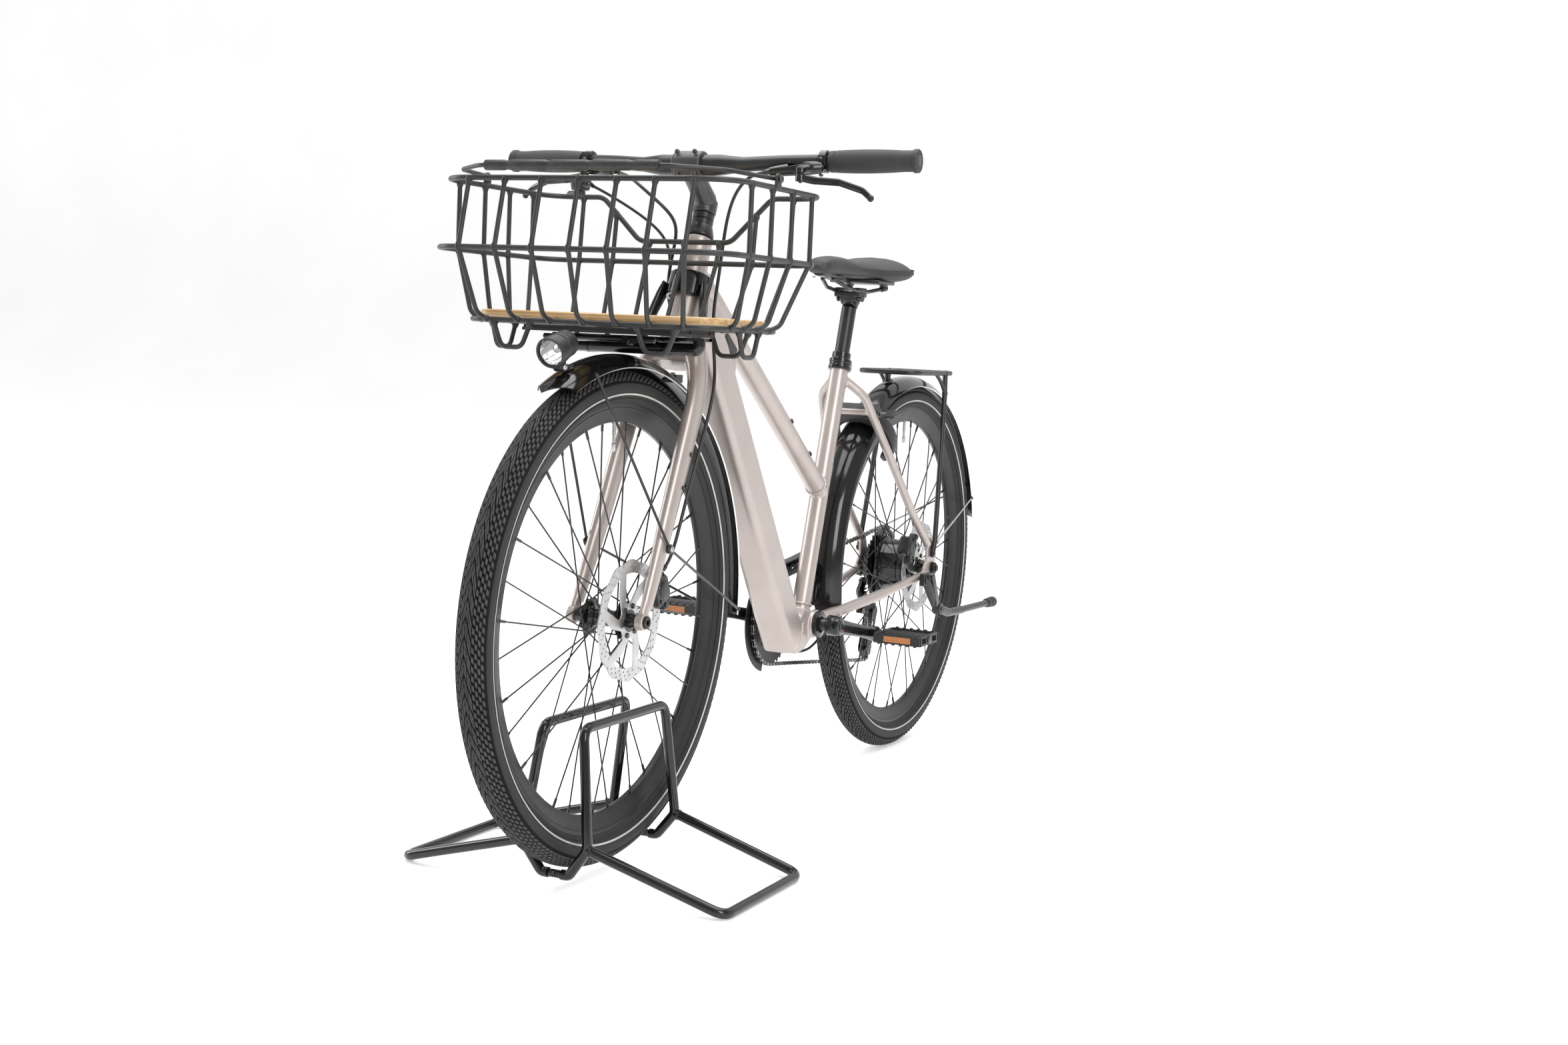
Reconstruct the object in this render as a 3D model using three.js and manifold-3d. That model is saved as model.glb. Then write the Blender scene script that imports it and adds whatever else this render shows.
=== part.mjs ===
// A step-through electric bicycle with a wire front basket, held by its front wheel in a floor stand.
// Millimetres. +Z is up, the bicycle faces -Y, +X is the bicycle's left-hand side.
import * as THREE from "three";
import { mergeVertices } from "three/addons/utils/BufferGeometryUtils.js";
import Module from "manifold-3d";

const wasm = await Module();
wasm.setup();

// ---------------------------------------------------------------- driving dimensions
const WHEEL_RADIUS = 361;            // 50-622 tyre, outside
const TYRE_SECTION = 25;             // half the tyre's width
const FRONT_LIFT = 17;               // the stand carries the front tyre this far above the floor
const WHEELBASE = 1132;
const HEAD_TILT = 19;                // steering axis from vertical, degrees
const STEER_OFFSET = 42.3;           // steering axis behind the front axle, at the axle's height
const FRONT_OVER_LOCKNUT = 99;
const REAR_OVER_LOCKNUT = 134;
const BB_Y = 672;
const BB_Z = 297;
const SEAT_SLOPE = 0.2826;           // seat tube: run towards the rear for each unit of rise
const CRANK_LENGTH = 170;
const CRANK_DROP = 11;               // the left crank points back and this many degrees down
const CHAINRING_RADIUS = 76;
const CHAIN_GAP = 5;                 // from a sprocket's rim to the chain's pitch line
const SPROCKET_RADII = [68, 60, 52, 46, 40, 34, 28, 22];
const ROTOR_RADIUS = 90;
const FRONT_GUARD_RADIUS = 384;
const REAR_GUARD_RADIUS = 374;
const GUARD_HALF_WIDTH = 32;
const BAR_HALF_WIDTH = 352;
const STAND_ROD = 7.5;
const BASKET_WIRE = 3.5;
const SPOKES = 12;
const GAP = 0.35;                    // left between touching pieces

const FRONT_AXLE = new THREE.Vector3(0, 0, WHEEL_RADIUS + FRONT_LIFT);
const REAR_AXLE = new THREE.Vector3(0, WHEELBASE, WHEEL_RADIUS);
const BOTTOM_BRACKET = new THREE.Vector3(0, BB_Y, BB_Z);

// ---------------------------------------------------------------- geometry helpers
const RAD = Math.PI / 180;
const v = (x, y, z) => new THREE.Vector3(x, y, z);
const v2 = (x, y) => new THREE.Vector2(x, y);

function solid(geometry) {
  const bare = geometry.clone();
  bare.deleteAttribute("normal");
  bare.deleteAttribute("uv");
  const merged = mergeVertices(bare, 1e-4);
  const index = merged.index.array;
  const kept = [];
  for (let i = 0; i < index.length; i += 3) {
    const [a, b, c] = [index[i], index[i + 1], index[i + 2]];
    if (a !== b && b !== c && c !== a) kept.push(a, b, c);
  }
  const make = (triangles) => new wasm.Manifold(new wasm.Mesh({
    numProp: 3,
    vertProperties: new Float32Array(merged.attributes.position.array),
    triVerts: new Uint32Array(triangles),
  }));
  const body = make(kept);
  if (body.volume() > 0) return body;
  const flipped = [];
  for (let i = 0; i < kept.length; i += 3) flipped.push(kept[i], kept[i + 2], kept[i + 1]);
  return make(flipped);
}

function surface(body) {
  const mesh = body.getMesh();
  const geometry = new THREE.BufferGeometry();
  geometry.setAttribute("position", new THREE.BufferAttribute(mesh.vertProperties, 3));
  geometry.setIndex(new THREE.BufferAttribute(mesh.triVerts, 1));
  geometry.computeVertexNormals();
  return geometry;
}

const join = (bodies) => bodies.reduce((sum, body) => sum.add(body));
const cut = (body, tools) => tools.reduce((rest, tool) => rest.subtract(tool), body);

// A path through points, sampled only at those points.
class BentPath extends THREE.Curve {
  constructor(points) {
    super();
    this.points = points;
  }
  getUtoTmapping(u) {
    return u;
  }
  getPoint(t, target = new THREE.Vector3()) {
    const last = this.points.length - 1;
    const i = Math.min(Math.floor(t * last + 1e-9), last - 1);
    return target.lerpVectors(this.points[i], this.points[i + 1], t * last - i);
  }
  getTangent(t, target = new THREE.Vector3()) {
    const last = this.points.length - 1;
    const i = Math.round(t * last);
    const before = this.points[i].clone().sub(this.points[Math.max(i - 1, 0)]).normalize();
    const after = this.points[Math.min(i + 1, last)].clone().sub(this.points[i]).normalize();
    return target.copy(before).add(after).normalize();
  }
}

// The same path with each inner corner replaced by an arc-like bend.
function bend(points, radius, steps = 4) {
  const path = [points[0]];
  for (let i = 1; i < points.length - 1; i += 1) {
    const corner = points[i];
    const back = points[i - 1].clone().sub(corner);
    const on = points[i + 1].clone().sub(corner);
    const half = back.angleTo(on) / 2;
    const reach = Math.min(radius / Math.tan(half), back.length() * 0.48, on.length() * 0.48);
    const start = corner.clone().addScaledVector(back.normalize(), reach);
    const end = corner.clone().addScaledVector(on.normalize(), reach);
    const curve = new THREE.QuadraticBezierCurve3(start, corner, end);
    path.push(...curve.getPoints(steps));
  }
  path.push(points[points.length - 1]);
  return path;
}

function round(radius, sides) {
  const points = [];
  for (let i = 0; i < sides; i += 1) {
    const turn = (2 * Math.PI * (i + 0.5)) / sides;
    points.push(v2(radius * Math.cos(turn), radius * Math.sin(turn)));
  }
  return points;
}

function rod(points, radius, sides = 8) {
  return solid(new THREE.ExtrudeGeometry(new THREE.Shape(round(radius, sides)), {
    steps: points.length - 1,
    extrudePath: new BentPath(points),
  }));
}

function hose(points, radius, steps) {
  return solid(new THREE.ExtrudeGeometry(new THREE.Shape(round(radius, 5)), {
    steps,
    extrudePath: new THREE.CatmullRomCurve3(points),
  }));
}

// A skin through a row of like sections, closed by flat ends or, as a ring, on itself.
function loft(rings, flat, ring = false) {
  const count = rings[0].length;
  const positions = rings.flat().flatMap((p) => [p.x, p.y, p.z]);
  const index = [];
  const spans = ring ? rings.length : rings.length - 1;
  for (let i = 0; i < spans; i += 1) {
    const next = ((i + 1) % rings.length) * count;
    for (let k = 0; k < count; k += 1) {
      const [a, b] = [i * count + k, i * count + ((k + 1) % count)];
      const [c, d] = [next + k, next + ((k + 1) % count)];
      index.push(a, b, d, a, d, c);
    }
  }
  if (!ring) {
    const end = (rings.length - 1) * count;
    const flips = THREE.ShapeUtils.isClockWise(flat);
    for (const [a, b, c] of THREE.ShapeUtils.triangulateShape(flat, [])) {
      const [p, q, r] = flips ? [c, b, a] : [a, b, c];
      index.push(r, q, p, end + p, end + q, end + r);
    }
  }
  const geometry = new THREE.BufferGeometry();
  geometry.setAttribute("position", new THREE.Float32BufferAttribute(positions, 3));
  geometry.setIndex(index);
  return solid(geometry);
}

// Elliptical sections along a centre line; each entry is [centre, half width in X, half depth].
function limb(stations, sides = 12) {
  const unit = round(1, sides);
  const rings = stations.map(([centre, halfX, halfDepth], i) => {
    const before = stations[Math.max(i - 1, 0)][0];
    const after = stations[Math.min(i + 1, stations.length - 1)][0];
    const along = after.clone().sub(before).normalize();
    const depth = along.clone().cross(v(1, 0, 0)).normalize();
    const across = depth.clone().cross(along).normalize();
    return unit.map((p) => centre.clone()
      .addScaledVector(across, p.x * halfX)
      .addScaledVector(depth, p.y * halfDepth));
  });
  return loft(rings, unit);
}

function closedRod(points, radius, sides = 6) {
  const unit = round(radius, sides);
  const rings = points.map((p, i) => {
    const before = points[(i + points.length - 1) % points.length];
    const after = points[(i + 1) % points.length];
    const along = after.clone().sub(before).normalize();
    const side = along.clone().cross(v(0, 0, 1)).normalize();
    const up = side.clone().cross(along);
    return unit.map((q) => p.clone().addScaledVector(side, q.x).addScaledVector(up, q.y));
  });
  return loft(rings, unit, true);
}

function bar(from, to, radius, endRadius = radius, sides = 16) {
  const along = to.clone().sub(from);
  const geometry = new THREE.CylinderGeometry(endRadius, radius, along.length(), sides);
  geometry.translate(0, along.length() / 2, 0);
  geometry.applyQuaternion(new THREE.Quaternion().setFromUnitVectors(v(0, 1, 0), along.normalize()));
  geometry.translate(from.x, from.y, from.z);
  return solid(geometry);
}

function box(low, high) {
  const size = high.clone().sub(low);
  const geometry = new THREE.BoxGeometry(size.x, size.y, size.z);
  geometry.translate((low.x + high.x) / 2, (low.y + high.y) / 2, (low.z + high.z) / 2);
  return solid(geometry);
}

// A closed profile of [radius, x] pairs turned about the X axis.
function turned(profile, segments) {
  const points = profile.map(([radius, x]) => v2(radius, x));
  points.push(points[0].clone());
  const geometry = new THREE.LatheGeometry(points, segments);
  geometry.rotateZ(-Math.PI / 2);
  return solid(geometry);
}

// A flat plate: its outline in (y, z), its faces at x = from and x = to.
function plate(outline, from, to, holes = []) {
  const shape = new THREE.Shape(outline.map(([y, z]) => v2(y, z)));
  for (const hole of holes) shape.holes.push(new THREE.Path(hole.map(([y, z]) => v2(y, z))));
  const geometry = new THREE.ExtrudeGeometry(shape, { depth: to - from, bevelEnabled: false });
  geometry.applyMatrix4(new THREE.Matrix4().makeBasis(v(0, 1, 0), v(0, 0, 1), v(1, 0, 0)));
  geometry.translate(from, 0, 0);
  return solid(geometry);
}

function circle(y, z, radius, sides) {
  return round(radius, sides).map((p) => [y + p.x, z + p.y]);
}

const mirrored = (p) => v(-p.x, p.y, p.z);
const onSide = (side, p) => (side > 0 ? p : mirrored(p));

// ---------------------------------------------------------------- finishes
const finish = (color, roughness, metalness) => () => new THREE.MeshStandardMaterial({
  color, roughness, metalness,
});
const champagne = finish(0xc9b8ae, 0.38, 0.55);
const glossBlack = finish(0x0c0c0d, 0.18, 0.1);
const satinBlack = finish(0x18181a, 0.5, 0.3);
const blackAlloy = finish(0x1c1c1e, 0.4, 0.7);
const greyAlloy = finish(0x3c3c40, 0.42, 0.7);
const wire = finish(0x36373a, 0.6, 0.4);
const rubber = finish(0x1b1b1c, 0.85, 0);
const steel = finish(0xb9bbbd, 0.28, 1);
const bamboo = finish(0xd8ae74, 0.55, 0);
const lens = finish(0xdfe6ea, 0.08, 0);
const reflectorTrim = finish(0x26262a, 0.45, 0.4);

const object = new THREE.Group();
const stand = new THREE.Group();
const bicycle = new THREE.Group();
object.add(stand, bicycle);

function add(group, name, body, material) {
  const mesh = new THREE.Mesh(surface(body), material());
  mesh.name = name;
  group.add(mesh);
}

// ---------------------------------------------------------------- floor stand
const NODE_X = 54;
const NODE_Z = 69;
const STAND_FRONT = -123;
const STAND_REAR = 133;
const FOOT_X = 266;
const HOOP_TOP_X = 33;
const HOOP_TOP_Z = 236;
const SPRING_HALF = 11;
const SPRING_FRONT = v(0, STAND_FRONT + 4, 26);
const SPRING_REAR = v(0, STAND_REAR + 2, 31);

function standHalf(side) {
  const at = (x, y, z) => v(side * x, y, z);
  const hoop = bend([
    at(SPRING_HALF + GAP, SPRING_FRONT.y, SPRING_FRONT.z),
    at(SPRING_HALF + 12, SPRING_FRONT.y, SPRING_FRONT.z),
    at(NODE_X, STAND_FRONT, NODE_Z),
    at(HOOP_TOP_X, STAND_FRONT + 14, HOOP_TOP_Z),
    at(HOOP_TOP_X, STAND_REAR - 8, HOOP_TOP_Z),
    at(NODE_X, STAND_REAR, NODE_Z),
    at(SPRING_HALF + 12, SPRING_REAR.y, SPRING_REAR.z),
    at(SPRING_HALF + GAP, SPRING_REAR.y, SPRING_REAR.z),
  ], 20, 2);
  const foot = bend([
    at(NODE_X, STAND_FRONT, NODE_Z),
    at(FOOT_X, STAND_FRONT + 12, STAND_ROD),
    at(FOOT_X, STAND_REAR, STAND_ROD),
    at(NODE_X, STAND_REAR, NODE_Z),
  ], 22, 2);
  return join([rod(hoop, STAND_ROD, 6), rod(foot, STAND_ROD, 6)]);
}

// A close-wound coil, drawn as a ribbed sleeve along X.
function standSpring(centre) {
  const turns = 3;
  const outer = [];
  for (let i = 0; i <= 2 * turns; i += 1) {
    const x = -SPRING_HALF + (2 * SPRING_HALF * i) / (2 * turns);
    outer.push([i % 2 ? 6 : 4.8, x]);
  }
  const ribs = turned([[2.6, -SPRING_HALF], ...outer, [2.6, SPRING_HALF]], 8);
  return ribs.translate(centre.x, centre.y, centre.z);
}

function buildStand() {
  add(stand, "stand_left_half", standHalf(1), glossBlack);
  add(stand, "stand_right_half", standHalf(-1), glossBlack);
  add(stand, "stand_front_spring", standSpring(SPRING_FRONT), satinBlack);
  add(stand, "stand_rear_spring", standSpring(SPRING_REAR), satinBlack);
}

// ---------------------------------------------------------------- frame
const HEAD_TOP = 943;
const HEAD_BOTTOM = 802;
const STEERER_RADIUS = 14.3;
const steer = (z) => v(0, STEER_OFFSET + (z - FRONT_AXLE.z) * Math.tan(HEAD_TILT * RAD), z);
const seat = (z) => v(0, BB_Y + (z - BB_Z) * SEAT_SLOPE, z);
const SEAT_TUBE_TOP = 762;
const SEAT_TUBE_RADIUS = 16.5;
const POST_RADIUS = 13.6;
const DOWN_TUBE_TOP = v(0, 214, 853);
const DOWN_TUBE_FOOT = v(0, 613, 271);
const TOP_TUBE_FRONT = v(0, 226, 890);
const DROPOUT_X = 67.8;
const DROPOUT_THICK = 6;

function downTube() {
  const [halfWide, halfDeep, chamfer] = [30, 33, 15];
  const section = [];
  for (const [sx, sy] of [[1, 1], [-1, 1], [-1, -1], [1, -1]]) {
    const edge = v2(sx * halfWide, sy * (halfDeep - chamfer));
    const end = v2(sx * (halfWide - chamfer), sy * halfDeep);
    section.push(...(sx * sy > 0 ? [edge, end] : [end, edge]));
  }
  const along = DOWN_TUBE_FOOT.clone().sub(DOWN_TUBE_TOP).normalize();
  const deep = along.clone().cross(v(1, 0, 0)).normalize();
  const ringAt = (centre, scale) => section.map((p) => centre.clone()
    .add(v(p.x * scale, 0, 0)).addScaledVector(deep, p.y * scale));
  return loft([ringAt(DOWN_TUBE_TOP, 0.66), ringAt(v(0, 270, 771), 1), ringAt(DOWN_TUBE_FOOT, 1)], section);
}

function stays(side) {
  const at = (x, y, z) => v(side * x, y, z);
  const chainstay = bend([at(24, BB_Y + 10, 301), at(36, 755, 309), at(58, 930, 329),
    at(70, 1100, 350)], 60, 2);
  const seatstay = bend([at(8, 797, 731), at(42, 822, 700), at(59, 893, 608), at(67, 1030, 474),
    at(70.5, 1112, 408)], 50, 2);
  const dropout = plate([[1088, 338], [1118, 332], [1146, 342], [1152, 366], [1140, 388],
    [1126, 420], [1104, 424], [1106, 380], [1090, 362]],
    DROPOUT_X, DROPOUT_X + DROPOUT_THICK, [circle(WHEELBASE, REAR_AXLE.z, 6.4, 12)]);
  const plateBody = side > 0 ? dropout : dropout.mirror([1, 0, 0]);
  return join([rod(chainstay, 9, 8), rod(seatstay, 8, 8), plateBody]);
}

function mainFrame() {
  const headTube = bar(steer(HEAD_BOTTOM), steer(HEAD_TOP), 27.5, 21.5, 16);
  const topTube = bar(TOP_TUBE_FRONT, seat(526), 18.5, 18, 12);
  const seatTube = bar(seat(BB_Z), seat(SEAT_TUBE_TOP), SEAT_TUBE_RADIUS, SEAT_TUBE_RADIUS, 14);
  const shell = bar(v(-36, BB_Y, BB_Z), v(36, BB_Y, BB_Z), 23, 23, 14);
  const gusset = plate([[232, 862], [352, 800], [352, 735], [262, 800]], -16, 16);
  const seatBridge = bar(v(-49, 846, 669), v(49, 846, 669), 6, 6, 6);
  const foot = box(v(-27, 590, 262), v(27, BB_Y, 300));
  const body = join([headTube, downTube(), topTube, seatTube, shell, gusset, seatBridge, foot,
    stays(1), stays(-1)]);
  return cut(body, [
    bar(steer(HEAD_BOTTOM - 9), steer(HEAD_TOP + 9), STEERER_RADIUS + 2.7, STEERER_RADIUS + 2.7, 14),
    bar(seat(560), seat(SEAT_TUBE_TOP + 9), POST_RADIUS + 0.4, POST_RADIUS + 0.4, 12),
    bar(v(-50, BB_Y, BB_Z), v(50, BB_Y, BB_Z), 13.4, 13.4, 12),
  ]);
}

function chargePortCover() {
  const geometry = new THREE.BoxGeometry(3, 44, 18);
  geometry.rotateX(-35.7 * RAD);
  geometry.translate(17.9, 325, 780);
  return solid(geometry);
}

// The clamp on the seat tube, with the sleeve that hugs the post above it.
function seatClamp() {
  const ring = bar(seat(744), seat(764), 20.5, 20.5, 14);
  const sleeve = bar(seat(763), seat(776), 17, 16.5, 14);
  const lug = box(v(-9, 822, 745), v(9, 834, 758));
  const bolt = bar(v(-12, 828, 751.5), v(12, 828, 751.5), 2.8, 2.8, 6);
  return cut(join([ring, sleeve, lug, bolt]), [
    bar(seat(730), seat(762.5), SEAT_TUBE_RADIUS + GAP, SEAT_TUBE_RADIUS + GAP, 14),
    bar(seat(730), seat(790), POST_RADIUS + 0.6, POST_RADIUS + 0.6, 12),
  ]);
}

// ---------------------------------------------------------------- mudguards
// A curved shell round a wheel: angles in degrees from straight up, positive towards the rear.
function guardShell(axle, radius, from, to, spans, noseBack) {
  const outer = [[-1, 18], [-0.72, 5], [0, 0], [0.72, 5], [1, 18]];
  const section = [
    ...outer.map(([x, drop]) => v2(x * GUARD_HALF_WIDTH, radius - drop)),
    ...outer.map(([x, drop]) => v2(x * (GUARD_HALF_WIDTH - 2), radius - 2.2 - drop)).reverse(),
  ];
  const rings = [];
  for (let i = 0; i <= spans; i += 1) {
    const angle = from + ((to - from) * i) / spans;
    rings.push(section.map((p) => {
      const back = i === 0 ? noseBack * Math.abs(p.x / GUARD_HALF_WIDTH) : 0;
      const turn = (angle + back) * RAD;
      return v(p.x, axle.y + p.y * Math.sin(turn), axle.z + p.y * Math.cos(turn));
    }));
  }
  return loft(rings, section);
}

const STAY_BOSS = v(65, 53, 481);

function frontMudguard() {
  const shell = guardShell(FRONT_AXLE, FRONT_GUARD_RADIUS, -31, 95, 14, 6);
  const wires = [];
  for (const side of [1, -1]) {
    const boss = onSide(side, v(STAY_BOSS.x + 5.5, STAY_BOSS.y, STAY_BOSS.z));
    const front = onSide(side, v(GUARD_HALF_WIDTH - 1.2, -106, 732));
    const rear = onSide(side, v(GUARD_HALF_WIDTH - 1.2, 366, 356));
    wires.push(rod([front, boss], 2, 5), rod([boss, rear], 2, 5));
    wires.push(bar(onSide(side, v(STAY_BOSS.x + 3, STAY_BOSS.y, STAY_BOSS.z)),
      onSide(side, v(STAY_BOSS.x + 9, STAY_BOSS.y, STAY_BOSS.z)), 7, 7, 8));
  }
  const tab = box(v(-12, 160, 722), v(12, 178, 733));
  return join([shell, tab, ...wires]);
}

function rearMudguard() {
  const shell = guardShell(REAR_AXLE, REAR_GUARD_RADIUS, -97, 78, 18, 0);
  const wires = [];
  for (const side of [1, -1]) {
    const edge = onSide(side, v(GUARD_HALF_WIDTH - 1.2, 1466, 478));
    const eyelet = onSide(side, v(78.5, 1143, 412));
    wires.push(rod([edge, eyelet], 1.8, 5));
    wires.push(bar(onSide(side, v(76, 1143, 412)), onSide(side, v(81, 1143, 412)), 5, 5, 8));
  }
  return join([shell, ...wires]);
}

// ---------------------------------------------------------------- rear rack
const RACK_Z = 744;
const RACK_HALF = 60;
const RACK_FRONT = 1026;
const RACK_REAR = 1236;

function rearRack() {
  const loopPoints = bend([v(0, RACK_FRONT, RACK_Z), v(RACK_HALF, RACK_FRONT, RACK_Z),
    v(RACK_HALF, RACK_REAR, RACK_Z), v(-RACK_HALF, RACK_REAR, RACK_Z),
    v(-RACK_HALF, RACK_FRONT, RACK_Z), v(0, RACK_FRONT, RACK_Z)], 30, 3);
  loopPoints.pop();
  const parts = [closedRod(loopPoints, 5, 5)];
  for (const side of [1, -1]) {
    const at = (x, y, z) => v(side * x, y, z);
    const leg = [at(RACK_HALF, 1188, RACK_Z), at(64, 1180, 700), at(79, 1128, 415), at(79, 1120, 392)];
    parts.push(rod(bend(leg, 30, 1), 5, 6));
    parts.push(bar(at(76, 1120, 390), at(82, 1120, 390), 7, 7, 8));
    parts.push(rod([at(RACK_HALF, 1150, RACK_Z), at(62, 1184, 712)], 3.2, 5));
  }
  parts.push(bar(v(0, 1028, RACK_Z - 1), v(0, 1036, 727), 5.5, 5.5, 6));
  return join(parts);
}

// ---------------------------------------------------------------- ring lock on the seat stays
const LOCK_ANGLE = 39;
const LOCK_RADIUS = 334;             // the ring's centre from the rear axle
const LOCK_RING = 57;
const LOCK_MOUTH = 36;               // half the opening at the bottom, degrees
const LOCK_BOLT_RADIUS = 4.5;
// Local frame: x across, y along the wheel's rim, z outward from the axle.
const lockFrame = new THREE.Group();
lockFrame.position.set(0, WHEELBASE - LOCK_RADIUS * Math.sin(LOCK_ANGLE * RAD),
  REAR_AXLE.z + LOCK_RADIUS * Math.cos(LOCK_ANGLE * RAD));
lockFrame.rotation.x = LOCK_ANGLE * RAD;

function lockPoint(degrees) {
  return v(LOCK_RING * Math.sin(degrees * RAD), 0, -LOCK_RING * Math.cos(degrees * RAD));
}

function lockArc(from, to, steps) {
  const points = [];
  for (let i = 0; i <= steps; i += 1) points.push(lockPoint(from + ((to - from) * i) / steps));
  return points;
}

function lockBody() {
  const unit = round(1, 8);
  const steps = 12;
  const rings = lockArc(LOCK_MOUTH, 360 - LOCK_MOUTH, steps).map((centre, i) => {
    const taper = i === 0 || i === steps ? 0.72 : 1;
    const outward = centre.clone().normalize();
    return unit.map((p) => centre.clone().addScaledVector(outward, p.x * 11 * taper)
      .add(v(0, p.y * 14 * taper, 0)));
  });
  const ring = loft(rings, unit);
  const caseBlock = box(v(-46, -16, LOCK_RING - 9), v(46, 16, LOCK_RING + 13));
  const channel = rod(lockArc(360 - LOCK_MOUTH - 62, 360 - LOCK_MOUTH + 12, 8), LOCK_BOLT_RADIUS + 1.4, 8);
  const leverSlot = rod(lockArc(360 - LOCK_MOUTH - 62, 360 - LOCK_MOUTH - 24, 5)
    .map((p) => p.clone().multiplyScalar(1.14)), 5, 6);
  const keyway = bar(v(38, 0, LOCK_RING + 3), v(52, 0, LOCK_RING + 3), 4.2, 4.2, 8);
  return cut(join([ring, caseBlock]), [channel, leverSlot, keyway]);
}

function lockBolt() {
  const shackle = rod(lockArc(360 - LOCK_MOUTH - 58, 360 - LOCK_MOUTH - 2, 8), LOCK_BOLT_RADIUS, 6);
  const at = lockPoint(360 - LOCK_MOUTH - 52);
  const lever = bar(at, at.clone().multiplyScalar(1.36), 2.6, 2.6, 6);
  const knob = bar(at.clone().multiplyScalar(1.3), at.clone().multiplyScalar(1.5), 8, 8, 8);
  return join([shackle, lever, knob]);
}

function lockKey() {
  const blade = bar(v(40, 0, LOCK_RING + 3), v(62, 0, LOCK_RING + 3), 2.6, 2.6, 8);
  const bow = box(v(60, -9, LOCK_RING + 1), v(80, 9, LOCK_RING + 5));
  return join([blade, bow]);
}

// ---------------------------------------------------------------- wheels
function tyre() {
  const [arcFrom, thickness] = [140, 4.5];
  const profile = [];
  const outerSteps = 6;
  for (let i = 0; i <= outerSteps; i += 1) {
    const angle = (-arcFrom + (2 * arcFrom * i) / outerSteps) * RAD;
    profile.push([
      WHEEL_RADIUS - TYRE_SECTION + TYRE_SECTION * Math.cos(angle),
      TYRE_SECTION * Math.sin(angle),
    ]);
  }
  const innerSteps = 2;
  for (let i = 0; i <= innerSteps; i += 1) {
    const angle = (arcFrom - (2 * arcFrom * i) / innerSteps) * RAD;
    const radius = TYRE_SECTION - thickness;
    profile.push([WHEEL_RADIUS - TYRE_SECTION + radius * Math.cos(angle), radius * Math.sin(angle)]);
  }
  return turned(profile, 32);
}

const RIM_INNER = 286;
const RIM_OUTER = 315;

function rim() {
  return turned([[RIM_INNER, 6], [RIM_OUTER, 12], [RIM_OUTER, -12], [RIM_INNER, -6]], 32);
}

// Tangential spokes from both flanges to the rim.
function spokes(flangeRadius, flangeX) {
  const list = [];
  for (let i = 0; i < SPOKES; i += 1) {
    const side = i % 2 ? 1 : -1;
    const lead = Math.floor(i / 2) % 2 ? 54 : -54;
    const outer = ((i + 0.5) * 2 * Math.PI) / SPOKES;
    const inner = outer + lead * RAD;
    list.push(bar(
      v(side * flangeX, flangeRadius * Math.sin(inner), flangeRadius * Math.cos(inner)),
      v(side * 3, (RIM_INNER + 3) * Math.sin(outer), (RIM_INNER + 3) * Math.cos(outer)),
      1.2, 1.2, 3));
  }
  return list;
}

function frontLacedWheel() {
  const end = FRONT_OVER_LOCKNUT / 2;
  const hub = turned([[6.5, -end], [9, -end], [9, -32], [24, -29], [24, -26], [12, -22], [12, 22],
    [24, 26], [24, 29], [18, 36], [9, 36], [9, end], [6.5, end]], 12);
  return join([rim(), hub, ...spokes(22.5, 27.5)]);
}

function rearLacedWheel() {
  const end = REAR_OVER_LOCKNUT / 2;
  const hub = turned([[6.5, -30.6], [44, -30.6], [54, -27], [54, -22], [50, -20], [50, 24],
    [54, 26], [54, 29], [30, 41], [19, 44.6], [13, 44.6], [13, end], [6.5, end]], 16);
  return join([rim(), hub, ...spokes(52, 25)]);
}

// A brake disc in the plane x = 0: a braking band on five arms.
function rotor(bore) {
  const outline = [];
  for (let i = 0; i < 20; i += 1) {
    const turn = (i * 2 * Math.PI) / 20;
    const radius = ROTOR_RADIUS;
    outline.push([radius * Math.cos(turn), radius * Math.sin(turn)]);
  }
  const holes = [circle(0, 0, bore, 10)];
  const arms = 5;
  for (let k = 0; k < arms; k += 1) {
    const start = (k * 360) / arms;
    const point = (radius, degrees) => [radius * Math.cos(degrees * RAD), radius * Math.sin(degrees * RAD)];
    holes.push([
      point(28, start + 10),
      point(69, start - 12),
      point(69, start + 28),
      point(32, start + 56),
    ]);
  }
  return plate(outline, -0.9, 0.9, holes);
}

const FRONT_ROTOR_X = 37.4;
const REAR_ROTOR_X = 46;

// A two-piston caliper with a slot for the disc, its middle at the origin.
function caliper(mountX) {
  const block = join([
    box(v(-10, -20, -20), v(13, 20, 20)),
    bar(v(-11.4, 4, 0), v(15, 4, 0), 14, 14, 10),
    box(v(0, -6, -30), v(mountX, 6, 30)),
  ]);
  return cut(block, [box(v(-1.9, -22, -32), v(1.9, 8, 32))]);
}

// ---------------------------------------------------------------- drive train
const FRONT_CHAIN_X = -50;
const REAR_CHAIN_X = -36;
const SPROCKET_PITCH = 4.2;
const JOCKEY_RADIUS = 19;
const UPPER_JOCKEY = v2(1096, 268);
const LOWER_JOCKEY = v2(1072, 197);

function sprocket(radius, sides, thickness, bore) {
  return plate(circle(0, 0, radius, sides), -thickness / 2, thickness / 2, [circle(0, 0, bore, 10)]);
}

// Eight sprockets, each a step smaller than the last.
function cassette() {
  const profile = [[6.7, -31.2], [17, -31.2], [17, REAR_CHAIN_X + 0.9]];
  SPROCKET_RADII.forEach((radius, i) => {
    const x = REAR_CHAIN_X - SPROCKET_PITCH * i;
    profile.push([radius, x + 0.9], [radius, x - (i < SPROCKET_RADII.length - 1 ? 3.3 : 0.9)]);
  });
  profile.push([6.7, profile[profile.length - 1][1]]);
  return turned(profile, 16);
}

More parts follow.
